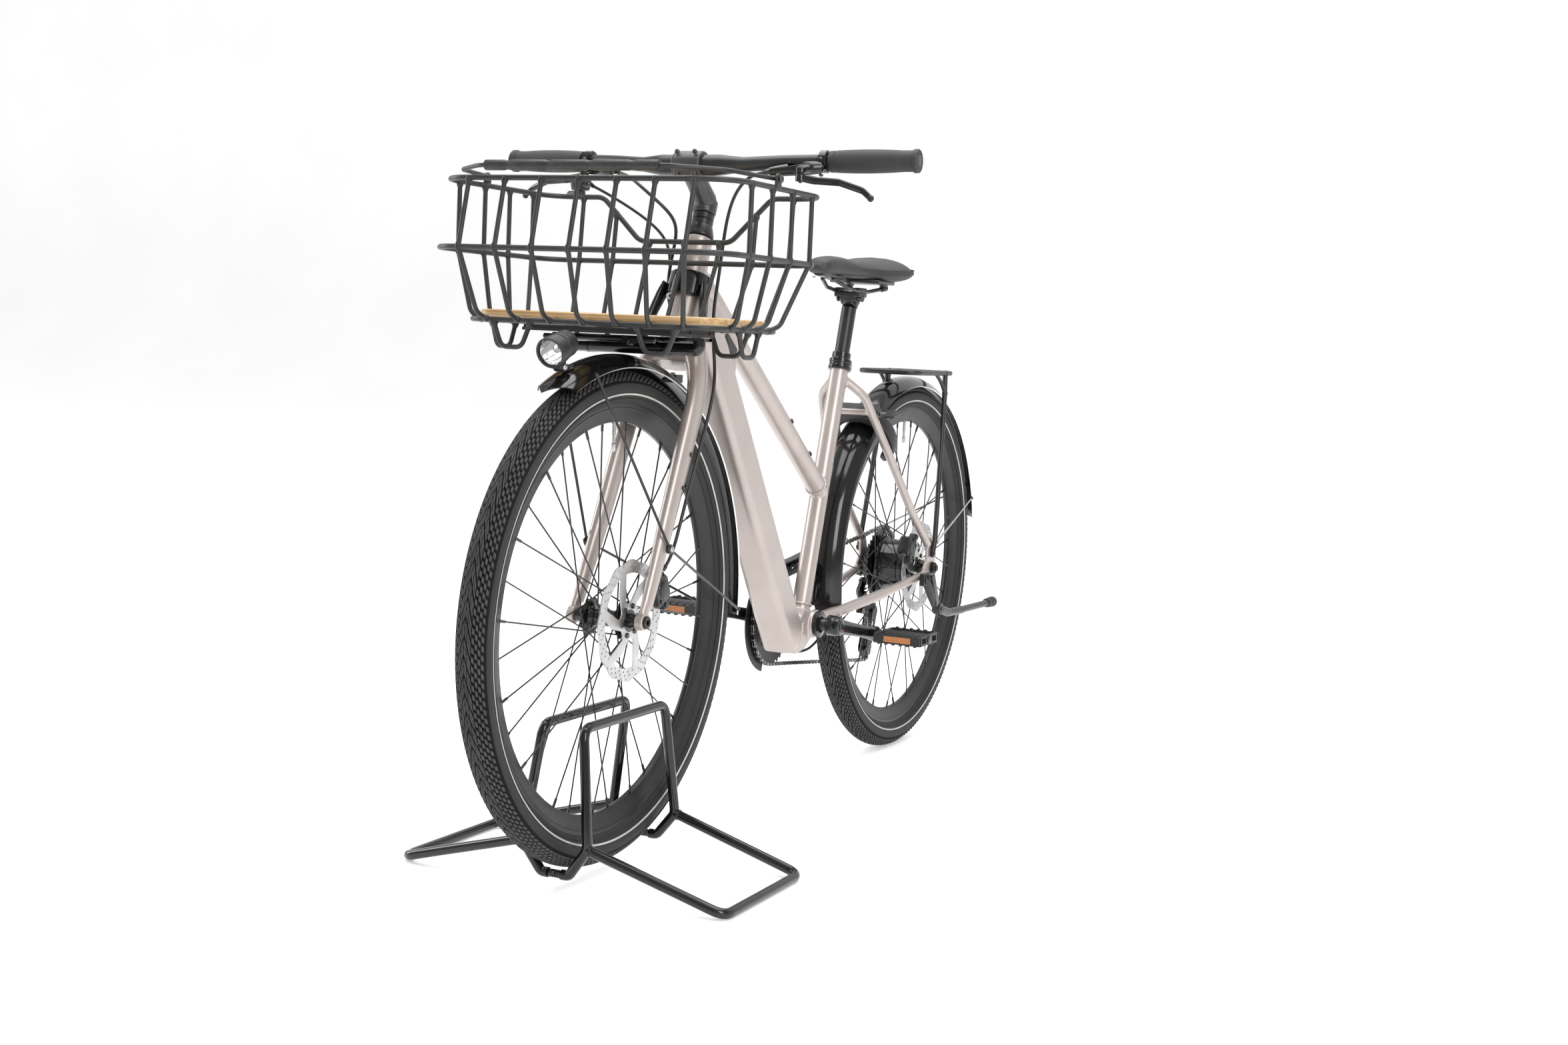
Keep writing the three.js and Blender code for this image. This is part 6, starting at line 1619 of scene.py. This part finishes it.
def grip(side):
    """A shaped rubber grip with fine ribs, a smooth collar and a flanged end plug."""
    start, end = grip_axis(side, 213.5), grip_axis(side, 352)
    profile = [(0, 13.4), (0.2, 15.6), (1.4, 16.2), (7.4, 16.2), (8.4, 15.2)]
    for k in range(56):
        along = 10 + 2.1 * k
        body = 15.6 + 1.9 * sin(min(along, 112) / 112 * pi) ** 0.8
        profile += [(along, body), (along + 0.5, body + 0.22), (along + 1.2, body + 0.22),
                    (along + 1.7, body)]
    profile += [(129.4, 15.8), (130.6, 17.2), (132, 17.6), (137.2, 17.6), (138.6, 16.4), (138.9, 11),
                (137, 10)]
    shape = Shape().turned(profile, start, end - start, 56)
    shape.turned([(0, 9.6), (0.9, 9.4), (1.2, 8)], end - (end - start).normalized() * 1.2, end - start, 32, 1)
    return shape


LEVER_PIVOT = V(186, 197, 1036)


def brake_body(side):
    """Master cylinder with its reservoir, bar clamp, lever fork, hose nut and screws."""
    shape = Shape()
    low, high = grip_axis(side, 197.6), grip_axis(side, 210.4)
    shape.turned([(0, 15.6), (1, 17), (11.6, 17), (12.8, 15.6), (12.8, 11.8), (0, 11.8)], low, high - low, 48,
                 ring=True)
    body = [(sided(side, 205, 227, 1050), 9, 8), (sided(side, 190, 218, 1048), 10, 9.4),
            (sided(side, 168, 209, 1045), 9.4, 9), (sided(side, 146, 201, 1042), 8, 8),
            (sided(side, 136, 198, 1041), 6.4, 6.4)]
    centres = spline([b[0] for b in body], 6)
    sizes = spline([V(b[1], b[2], i * 30) for i, b in enumerate(body)], 6)
    shape.tube(centres, [s.x for s in sizes], 28, round_ends=2)
    shape.rod(sided(side, 203, 238, 1054), sided(side, 203, 222, 1048), 8.6, 8.6, 24)
    cap = Matrix.Rotation(side * 24 * RAD, 3, "Z")
    shape.box(tuple(sided(side, 176, 211, 1053) - V(17, 7, 0)),
              tuple(sided(side, 176, 211, 1055.6) + V(17, 7, 0)), 0, cap)
    for x in (163, 189):
        shape.bolt(sided(side, x, 205 + (x - 163) * 0.44, 1054.6), (0, 0, 1), 2.4, 1.8, 1)
    shape.turned([(0, 7.2), (0.8, 8), (8, 8), (9, 7)], sided(side, LEVER_PIVOT.x, LEVER_PIVOT.y, 1038.6),
                 (0, 0, 1), 28)
    shape.rod(sided(side, LEVER_PIVOT.x, 199, 1044), sided(side, 192, 217, 1047), 6.2, 7, 20)
    shape.rod(sided(side, LEVER_PIVOT.x, LEVER_PIVOT.y, 1024),
              sided(side, LEVER_PIVOT.x, LEVER_PIVOT.y, 1045), 2.6, 2.6, 14, 1)
    shape.bolt(sided(side, LEVER_PIVOT.x, LEVER_PIVOT.y, 1047.4), (0, 0, 1), 4, 2, 1)
    nut = sided(side, 140, 200, 1041.4)
    shape.turned([(0, 5.6), (6, 5.6), (6.4, 4.4), (12, 3.8)], nut, sided(side, -8, -3, -1), 6, 1)
    shape.bolt(sided(side, 204, 226, 1062), (0, 0, 1), 3.4, 3, 1)
    shape.bolt(sided(side, 204, 231, 1040), (0, -0.3, -1), 3.4, 3, 1)
    return shape


def brake_lever(side):
    shape = Shape().turned([(0, 6.6), (0.8, 7.5), (11, 7.5), (12, 6.8)],
                           sided(side, LEVER_PIVOT.x, LEVER_PIVOT.y, 1026), (0, 0, 1), 32)
    blade = bend([sided(side, 188, 196, 1032), sided(side, 214, 190, 1027), sided(side, 250, 194, 1025),
                  sided(side, 284, 204, 1014), sided(side, 297, 204, 1003)], 18, 8)
    rings = []
    for i, centre in enumerate(blade):
        along = (blade[min(i + 1, len(blade) - 1)] - blade[max(i - 1, 0)]).normalized()
        up = V(0, 0, 1)
        up = (up - along * up.dot(along)).normalized()
        out = along.cross(up)
        share = i / (len(blade) - 1)
        tall, thick = 6.2 - 1.6 * share, 3.4 - 0.4 * share
        rings.append([centre + up * tall * sin(2 * pi * k / 20) + out * thick * cos(2 * pi * k / 20)
                      for k in range(20)])
    shape.loft(rings)
    return shape.ball(blade[-1], 5.2, 0, 16, (1, 0.8, 1))


GEAR_PIVOT = V(-208, 224, 0)


def shifter():
    shape = Shape().turned([(0, 13), (1.2, 14.4), (9, 15.8), (15.6, 16.6), (17.4, 15), (18, 9)],
                           GEAR_PIVOT + V(0, 0, 1013.4), (0, 0, 1), 48)
    shape.limb([(V(-214, 240, 1041), 6, 6), (V(-213.6, 236, 1034), 6.4, 7), (V(-212, 230, 1025), 8, 9)], 24)
    shape.turned([(0, 10.4), (0.8, 10.4), (1.6, 9.6)], GEAR_PIVOT + V(0, 0, 1030.8), (0, 0, 1), 40, 2)
    shape.turned([(0, 5.6), (9, 5), (13, 3.6)], V(-197, 217, 1022), (11, -4, 0), 20, 1)
    shape.turned([(13, 3.4), (15, 3.4), (19, 2.6)], V(-197, 217, 1022), (11, -4, 0), 8, 3)
    return shape


def shift_lever():
    shape = Shape().rod(GEAR_PIVOT + V(0, 0, 1008), GEAR_PIVOT + V(0, 0, 1022), 3, 3, 16)
    shape.turned([(0, 7), (0.8, 8), (5.6, 8), (6.4, 7)], GEAR_PIVOT + V(0, 0, 1006), (0, 0, 1), 28)
    shape.tube(spline([GEAR_PIVOT + V(-3, 1, 1009), GEAR_PIVOT + V(-12, 6, 1009),
                       GEAR_PIVOT + V(-22, 12, 1008.6), GEAR_PIVOT + V(-29, 16.6, 1008)], 6),
               [3.4 + 0.15 * k for k in range(19)], 18, round_ends=2)
    return shape


# ---- hoses and cable
FRONT_HOSE = [V(132, 202, 1040), V(104, 200, 1036), V(72, 214, 1012), V(50, 232, 975), V(42, 236, 930),
              V(41, 228, 880), V(43, 212, 830), V(55, 194, 780), V(68, 178, 735), V(70.5, 165, 690),
              V(68, 120, 590), V(66, 92, 520), V(60, 78, 468), V(47, 78, 446)]
REAR_HOSE = [V(-132, 202, 1040), V(-108, 193, 1035), V(-78, 178, 1020), V(-46, 178, 996), V(-22, 204, 965),
             V(-30, 212, 925), V(-39, 214, 880), V(-40, 222, 840), V(-37, 242, 806), V(-36, 262, 775)]
SHIFT_CABLE = [V(-186, 213, 1022), V(-160, 208, 1012), V(-120, 210, 992), V(-80, 222, 966), V(-52, 234, 935),
               V(-47, 234, 890), V(-47, 236, 850), V(-46, 250, 815), V(-44, 268, 783)]


def hose(points, radius):
    """A sheathed line with a crimped sleeve at both ends."""
    path = spline(points, 14)
    for _ in range(60):
        eased = [(a + b * 2 + c) / 4 for a, b, c in zip(path, path[1:], path[2:])]
        path = [path[0], *eased, path[-1]]
    shape = Shape().tube(path, radius, 16)
    shape.tube(path[:6], radius + 0.9, 16, 1, round_ends=0.5)
    shape.tube(path[-5:], radius + 0.9, 16, 1, round_ends=0.5)
    return shape


# ---- lamp
LAMP_TILT = 20
LAMP_PIVOT = V(0, -152, 741)
LAMP_PLACE = tipped(LAMP_PIVOT, LAMP_TILT)
LAMP_AXIS = 26.5


def lamp_bracket():
    def crown(radius):
        return around_x(FRONT_AXLE, radius, -LAMP_TILT)
    out = crown(2) - crown(1)
    shape = Shape().turned([(0, 9), (1.2, 9.4), (2.4, 8.6), (3.4, 6)], crown(384.4), out, 32)
    shape.bolt(crown(387), out, 4.6, 3, 1)
    strap = spline([V(0, -128, 743), V(0, -136, 741), V(0, -144, 739.6), LAMP_PIVOT], 6)
    rings = []
    for i, centre in enumerate(strap):
        along = (strap[min(i + 1, 18)] - strap[max(i - 1, 0)]).normalized()
        up = along.cross(V(1, 0, 0)).normalized()
        wide = 7 - 4.2 * i / 18
        rings.append([centre + V(x * wide, 0, 0) + up * y * 2
                      for x, y in ((1, 0.7), (0.7, 1), (-0.7, 1), (-1, 0.7),
                                                                           (-1, -0.7), (-0.7, -1), (0.7, -1),
                                                                           (1, -0.7))])
    shape.loft(rings)
    shape.turned([(-3, 4.4), (-2.4, 5), (2.4, 5), (3, 4.4)], LAMP_PIVOT, (1, 0, 0), 24)
    shape.rod(LAMP_PIVOT - V(9, 0, 0), LAMP_PIVOT + V(9, 0, 0), 2.4, 2.4, 14, 1)
    for side in (1, -1):
        shape.bolt(LAMP_PIVOT + V(side * 7.4, 0, 0), (side, 0, 0), 4.6, 3, 2)
    return shape


def lamp_body():
    """A turned housing with a bezel, cooling grooves and a bright dished reflector inside."""
    back, front = V(0, 31, LAMP_AXIS), V(0, -20, LAMP_AXIS)
    profile = [(0, 6), (0.2, 13), (1.6, 16.4), (4, 18.2)]
    for k in range(3):
        start = 8 + 4.2 * k
        profile += [(start, 18.9), (start + 0.3, 18.1), (start + 1.5, 18.1), (start + 1.8, 19.0)]
    profile += [(26, 20.1), (27, 19.2), (28.4, 19.2), (29.4, 20.6), (43, 21.8), (49, 22), (50.6, 21.2),
                (51, 20), (50.4, 18.8), (46, 18.6), (28, 18.2), (6, 16)]
    shape = Shape().turned(profile, back, front - back, 64, ring=True)
    shape.turned([(0.6, 6.4), (2.4, 16.6), (6.4, 16.4)], back, front - back, 48)
    dish = [(20, 3), (22, 8), (27, 12.6), (34, 15.8), (45, 18.2), (45.4, 18.7), (30, 16.4), (20, 10),
            (18.6, 3)]
    shape.turned(dish, back, front - back, 48, 1, ring=True)
    shape.turned([(18, 3.4), (27, 3.4), (29, 2.2)], back, front - back, 20, 2)
    for x0, x1 in ((-7.4, -3.6), (3.6, 7.4)):
        shape.plate([arc((0, 0), 6, 180, 360, 10) + [(6, 9), (-6, 9)]], x0, x1, 0, 0.5)
    return shape


def lamp_lens():
    back, front = V(0, -12, LAMP_AXIS), V(0, -18, LAMP_AXIS)
    return Shape().turned([(0, 16.8), (2, 17.3), (4, 17.2), (5.4, 14), (6.2, 9), (6.4, 3)], back,
                          front - back, 56)


def front_guard_and_lamp():
    piece("front_guard", front_guard(), "steering", [GLOSS, EDGE_HIGHLIGHT_PAINT, SATIN, STEEL],
          ["front_mudguard"])
    piece("lamp_arm", lamp_bracket(), "steering", [SATIN, DARK_STEEL, STEEL],
          ["lamp_bracket"])
    piece("lamp_housing", lamp_body(), "lamp", [PLASTIC, MIRROR, STRIPE],
          ["headlight_body"], place=LAMP_PLACE, crease=32)
    piece("lamp_glass", lamp_lens(), "lamp", [LENS], ["headlight_lens"], place=LAMP_PLACE)


def build_steering():
    piece("fork_and_steerer", fork(), "steering", [PAINT, DARK_STEEL, SATIN],
          ["fork"], crease=50)
    piece("headset_stack", spacers(), "steering", [SATIN], ["headset_spacers"])
    piece("stem_body", stem(), "steering", [GREY, DARK_STEEL, SATIN], ["stem"], crease=50)
    piece("bar_tube", handlebar(), "steering", [SATIN], ["handlebar"])
    axle = Shape().rod(FRONT_AXLE - V(66, 0, 0), FRONT_AXLE + V(66, 0, 0), 6, 6, 24, 0, 1)
    axle.turned([(64.8, 9.5), (66.6, 9.5), (68.4, 8.4), (68.5, 4.4), (66, 4.2)], FRONT_AXLE, (1, 0, 0), 32, 0)
    piece("front_through_axle", axle, "steering", [ALLOY], ["front_axle"])
    piece("front_caliper", caliper_body(12), "steering", [SATIN, DARK_STEEL, ALLOY],
          ["front_brake_caliper"], place=FRONT_CALIPER_PLACE)
    for side, name in ((1, "left"), (-1, "right")):
        piece(f"{name}_rubber_grip", grip(side), "steering", [SOFT, SATIN], [f"{name}_grip"],
              crease=30)
        piece(f"{name}_brake_master", brake_body(side), "steering", [GLOSS, DARK_STEEL],
              [f"{name}_brake_body"], crease=32)
        piece(f"{name}_brake_blade", brake_lever(side), f"{name}_lever", [GLOSS],
              [f"{name}_brake_lever"])
    piece("gear_pod", shifter(), "steering", [PLASTIC, SATIN, GREY, DARK_STEEL],
          ["shifter_body"])
    piece("gear_thumb_lever", shift_lever(), "gear_lever", [PLASTIC], ["shift_lever"])
    for name, points, radius, node in (("front_hydraulic_hose", FRONT_HOSE, 2.6, "front_brake_hose"),
                                       ("rear_hydraulic_hose", REAR_HOSE, 2.6, "rear_brake_hose"),
                                       ("gear_cable", SHIFT_CABLE, 2.3, "shift_cable")):
        piece(name, hose(points, radius), "steering", [HOSE, DARK_STEEL], [node])
    front_guard_and_lamp()


# ---- basket and its carrier
WIRE_RADIUS, RING_RADIUS = 3.5, 4
RIM = dict(z=1000, half=236, front=-120, back=190, corner=52)
BELT = dict(z=902, half=236, front=-142, back=182, corner=52)
BASE = dict(z=803, half=203, front=-96, back=124, corner=42)
DIP_HALF, DIP_FLOOR_HALF, DIP_Z = 145, 78, 934
NARROWING = 0.88        # the wires' spacing at the floor, as a share of that at the rim


def ring_corners(ring, dipped=False):
    h, z = ring["half"], ring["z"]
    points = [V(-h, ring["front"], z), V(h, ring["front"], z), V(h, ring["back"], z)]
    if dipped:
        points += [V(DIP_HALF, ring["back"], z), V(DIP_FLOOR_HALF, ring["back"], DIP_Z),
                   V(-DIP_FLOOR_HALF, ring["back"], DIP_Z), V(-DIP_HALF, ring["back"], z)]
    return points + [V(-h, ring["back"], z)]


def ring_wire(shape, ring, dipped=False):
    corners = ring_corners(ring, dipped)
    radii = [ring["corner"]] * 3 + [26] * (4 if dipped else 0) + [ring["corner"]]
    path = []
    for i, corner in enumerate(corners):
        before, after = corners[i - 1], corners[(i + 1) % len(corners)]
        into, out = (corner - before).normalized(), (after - corner).normalized()
        angle = into.angle(out)
        reach = radii[i] * tan(angle / 2)
        start, end = corner - into * reach, corner + out * reach
        inward = (out - into).normalized()
        centre = corner + inward * (radii[i] / cos(angle / 2))
        for k in range(11):
            direct = start.lerp(end, k / 10) - centre
            path.append(centre + direct.normalized() * radii[i])
    shape.tube(path, RING_RADIUS, 16, closed=True)


def weld_fillet(shape, at_point, along, radius=5.4):
    """The rounded collar of a brazed joint between two wires."""
    shape.turned([(-6, WIRE_RADIUS), (-3, radius - 0.8), (0, radius), (3, radius - 0.8), (6, WIRE_RADIUS)],
                 at_point, along, 16)


def upright(shape, high, belt, base):
    outward = (V(belt.x - base.x, belt.y - base.y, 0)).normalized()
    knee = belt.lerp(base, 0.82) + outward * 9 - V(0, 0, 9)
    path = bend([high, belt, knee, base], 20, 6)
    shape.tube(path, WIRE_RADIUS, 14)
    weld_fillet(shape, high - (high - belt).normalized() * 3, belt - high)
    weld_fillet(shape, belt, knee - high, 5.2)
    weld_fillet(shape, base + (knee - base).normalized() * 2, knee - base)


def hook(shape, start, end):
    """A U-shaped loop of wire hanging below the floor ring between two of its points."""
    low = [start.lerp(end, share) - V(0, 0, 38) for share in (0.24, 0.76)]
    shape.tube(bend([start, *low, end], 15, 8), WIRE_RADIUS, 14)
    for point, toward in ((start, low[0]), (end, low[1])):
        weld_fillet(shape, point.lerp(toward, 0.12), toward - point, 5.4)


def basket_wires():
    shape = Shape()
    ring_wire(shape, RIM, True)
    ring_wire(shape, BELT)
    ring_wire(shape, BASE)
    for k in range(-3, 4):
        x = 60 * k
        for edge in ("front", "back"):
            dipped = edge == "back" and abs(x) < 100
            drop = DIP_Z if dipped else RIM["z"]
            if edge == "back" and DIP_FLOOR_HALF < abs(x) < DIP_HALF:
                drop = DIP_Z + (RIM["z"] - DIP_Z) * (abs(x) - DIP_FLOOR_HALF) / (DIP_HALF - DIP_FLOOR_HALF)
            upright(shape, V(x, RIM[edge], drop), V(x, BELT[edge], BELT["z"]),
                    V(NARROWING * x, BASE[edge], BASE["z"]))
        if abs(x) < 160:
            shape.tube([V(NARROWING * x, BASE[end], BASE["z"]) for end in ("front", "back")],
                       WIRE_RADIUS - 0.2, 12)
    for k in range(4):
        for side in (1, -1):
            upright(shape, V(side * RIM["half"], -62 + 65 * k, RIM["z"]),
                    V(side * BELT["half"], -62 + 65 * k, BELT["z"]),
                    V(side * BASE["half"], -46 + 40 * k, BASE["z"]))
    for y in (-20, 46):
        shape.tube([V(-BASE["half"], y, BASE["z"]), V(BASE["half"], y, BASE["z"])], WIRE_RADIUS - 0.2, 12)
    return shape


def basket_ears(shape):
    for side in (1, -1):
        low, high = sorted((side * 237.6, side * 241))
        outline = arc((12, 1012), 8, 0, 180, 10) + [(4, 999), (20, 999)]
        shape.plate([outline], low, high, 0, 0.5)
        shape.turned([(-2, 3.4), (3.4, 3.4), (3.6, 5.2), (5, 4.6), (5.6, 2.6)], V(side * 240.6, 12, 1012),
                     (side, 0, 0), 20, 1)


def basket_handle():
    """The hinged wire handle and the grooved sleeve on its front bar."""
    corners = [V(244, 12, 1013), V(232, 12, 1013), V(214, -90, 1014), V(150, -142, 1015),
               V(-150, -142, 1015), V(-214, -90, 1014), V(-232, 12, 1013), V(-244, 12, 1013)]
    path = bend(corners[1:-1], 40, 8)
    shape = Shape().tube([corners[0]] + path + [corners[-1]], 3.2, 16, round_ends=1)
    profile = [(0, 5.2), (0.8, 7.2), (3, 7.5)]
    for k in range(4):
        start = 34 + 66 * k
        profile += [(start - 3, 7.5), (start, 6.5), (start + 6, 6.5), (start + 9, 7.5)]
    profile += [(273, 7.5), (275.2, 7.2), (276, 5.2)]
    shape.turned(profile, V(-138, -142, 1015), (1, 0, 0), 28)
    return shape


def basket_board():
    half, front, back, corner = 193, -86, 114, 34
    centres = ((half - corner, back - corner, 0), (corner - half, back - corner, 90),
               (corner - half, front + corner, 180), (half - corner, front + corner, 270))
    outline = []
    for cx, cy, start in centres:
        outline += arc((cx, cy), corner, start, start + 90, 9)
    rings = []
    for inset, z in ((1.4, 807.8), (0, 809.2), (0, 816), (1.6, 817.6)):
        rings.append([V(x * (1 - inset / half), 14 + (y - 14) * (1 - inset / 100), z) for x, y in outline])
    return Shape().loft(rings)


def basket_plate():
    shape = Shape().box((-122, -62, 790.2), (122, 66, 794.6))
    for x in (-116, -58, 0, 58, 116):
        shape.box((x - 3, -60, 794), (x + 3, 64, 798.6))
    for y in (-58, 0, 60):
        shape.box((-120, y - 3, 794), (120, y + 3, 798.4))
    for x in (-86, 86):
        for y in (-40, 44):
            shape.turned([(0, 7), (3.6, 7), (4.4, 6)], V(x, y, 794.4), (0, 0, 1), 24)
            shape.bolt(V(x, y, 790.4), (0, 0, -1), 5, 0.2, 1)
    return shape


def carrier():
    """The collar round the head tube, its two arms and the cross tube under the basket."""
    shape = Shape()
    low, high = steer(848), steer(886)
    axis = high - low
    shape.turned([(0, 32), (1.6, 33.6), (37, 31.6), (38.6, 30), (38.6, 25.2), (0, 27.4)], low, axis,
                 ring=True)
    for side in (1, -1):
        arm = [(sided(side, 33.5, 201, 868), 5, 13), (sided(side, 38, 188, 848), 6, 12),
               (sided(side, 44, 176, 822), 6, 10), (sided(side, 46, 162, 797), 6, 9),
               (sided(side, 46, 140, 783), 6, 5.5), (sided(side, 46, 20, 783), 6, 5),
               (sided(side, 46, -58, 783), 6, 5)]
        shape.limb(arm, 24)
        for y in (40, -42):
            shape.bolt(sided(side, 46, y, 777.6), (0, 0, -1), 4.6, 3, 1)
        shape.bolt(sided(side, 39, 192, 860), (side, 0, 0), 4, 3.4, 1)
        pad_low, pad_high = sorted((side * 100, side * 122))
        shape.box((pad_low, 20, 785), (pad_high, 60, 789.4), 2)
        tip = V(side * 118, 29, 788.5)
        shape.tube(bend([V(side * 60, 29, 772), V(side * 118, 29, 772), tip], 13, 8), 9, 28, 0)
        shape.turned([(0, 9), (0.2, 8.6), (1.2, 8)], tip - V(0, 0, 0.4), (0, 0, 1), 28, 2)
    shape.tube([V(-64, 29, 772), V(64, 29, 772)], 9, 28)
    shape.tube([V(-90, -52, 783), V(90, -52, 783)], 4, 20, round_ends=2)
    shape.box((-122, 50, 784.4), (122, 62, 789.2))
    return shape


def build_basket():
    wires = basket_wires()
    for side in (1, -1):
        hook(wires, V(side * BASE["half"], -18, BASE["z"]), V(side * BASE["half"], 46, BASE["z"]))
        for y in (BASE["front"], BASE["back"]):
            hook(wires, V(side * 85, y, BASE["z"]), V(side * 149, y, BASE["z"]))
    basket_ears(wires)
    piece("basket_wire_cage", wires, "basket", [WIRE, DARK_STEEL], ["basket_wires"], crease=60)
    piece("basket_handle", basket_handle(), "bail", [WIRE, DARK_STEEL], ["basket_bail"])
    piece("bamboo_floor", basket_board(), "basket", [BAMBOO], ["basket_floor"])
    piece("basket_ribbed_plate", basket_plate(), "basket", [PLASTIC, DARK_STEEL],
          ["basket_adapter"], bevel=0.6)
    piece("basket_carrier", carrier(), "frame", [GLOSS, DARK_STEEL, PLASTIC],
          ["front_carrier"], bevel=0.4)


# ---- saddle and seat post
# Each station is (y, half width, top, bottom).
SADDLE_STATIONS = ((676, 8, 928, 919), (684, 19, 938, 914), (705, 24, 944, 912), (750, 28, 947, 913),
                   (800, 41, 945, 913), (845, 64, 946, 912), (885, 83, 951, 909), (915, 88, 955, 909),
                   (938, 80, 955, 914), (950, 60, 951, 924))
COVER_SIDES = 40


def seat_post():
    shape = Shape().turned([(0, 12.6), (0.8, 13.6), (225.6, 13.6), (226, 12)], seat(640),
                           seat(866) - seat(640), 48)
    head = Shape()
    head.limb([(seat(858), 13.4, 13.4), (V(0, 838, 866), 14, 13), (V(0, 834, 877), 15, 14)], 32)
    head.turned([(-16, 10), (-15, 12.6), (15, 12.6), (16, 10)], (0, 834, 876), (1, 0, 0), 36)
    head.box((-23, 815, 879), (23, 853, 886))
    shape.include(melted(head, 1.0, 6))
    for side in (1, -1):
        low, high = sorted((side * 13, side * 25))
        shape.plate([[(816, 886), (852, 886), (852, 893.6), (846, 895), (822, 895), (816, 893.6)]], low, high,
                    0, 0.8)
        shape.plate([[(818, 878), (850, 878), (853, 885), (815, 885)]], low, high, 0, 0.8)
    shape.rod(V(-23, 834, 876), V(23, 834, 876), 5, 5, 20, 1)
    for side in (1, -1):
        shape.bolt(V(side * 22.4, 834, 876), (side, 0, 0), 6.4, 4, 1)
        rail = bend([sided(side, 10, 728, 906), sided(side, 20, 772, 893), sided(side, 22, 812, 889),
                     sided(side, 22, 862, 889), sided(side, 34, 905, 897)], 24, 8)
        shape.tube(rail, 3.5, 18, 1, round_ends=1.6)
        shape.turned([(-5, 4), (-4, 6), (8, 6), (9, 4)], sided(side, 34, 905, 897.6), sided(side, 12, 41, 8),
                     20, 0)
    return shape


def saddle_ring(y, half, top, bottom):
    """One cross section of the padded cover: a squared oval whose top falls towards its edges."""
    droop = 14 if half > 50 else 14 * max(0, half - 24) / 26
    middle = (top + bottom) / 2
    points = []
    for k in range(COVER_SIDES):
        angle = 2 * pi * k / COVER_SIDES
        c, s = cos(angle), sin(angle)
        x = squared(c, 0.62) * half
        z = middle + squared(s, 0.7) * (top - bottom) / 2
        edge = abs(x) / half
        if s > 0:
            z -= droop * edge ** 2.4
            z += 1.2 * exp(-(x / (0.34 * half)) ** 2) - 1.2
        points.append(V(x, y, z))
    return points


def saddle_cover():
    path = spline([V(s[1], s[0], 0) for s in SADDLE_STATIONS], 6)
    tops = spline([V(s[2], s[0], s[3]) for s in SADDLE_STATIONS], 6)
    shape = Shape().loft([saddle_ring(a.y, max(a.x, 6), b.x, b.z) for a, b in zip(path, tops)])
    nose = SADDLE_STATIONS[0][0]
    shape.limb([(V(0, nose + 14, 915), 11, 6), (V(0, nose + 50, 911.6), 16, 5),
                (V(0, nose + 86, 908.6), 20, 4)],
               20, 1)
    shape.plate([[(846, 911), (925, 911), (921, 904), (850, 905)]], -50, 50, 1, 2)
    for side in (1, -1):
        shape.ball(V(side * 34, 907, 905), 8, 1, 18)
        shape.bolt(V(side * 12, nose + 20, 908), (0, 0, -1), 3, 1.6, 2)
    return shape


def build_seat():
    piece("seat_post_and_clamp", seat_post(), "seat", [SATIN, DARK_STEEL], ["seatpost"],
          crease=45)
    saddle = piece("padded_saddle", saddle_cover(), "seat", [COVER, GREY, DARK_STEEL],
                   ["saddle"], crease=60)


# ---- the whole scene
build_camera()
build_floor()
build_light()
build_stand()
build_wheels()
build_frame()
build_drive()
build_steering()
build_basket()
build_seat()
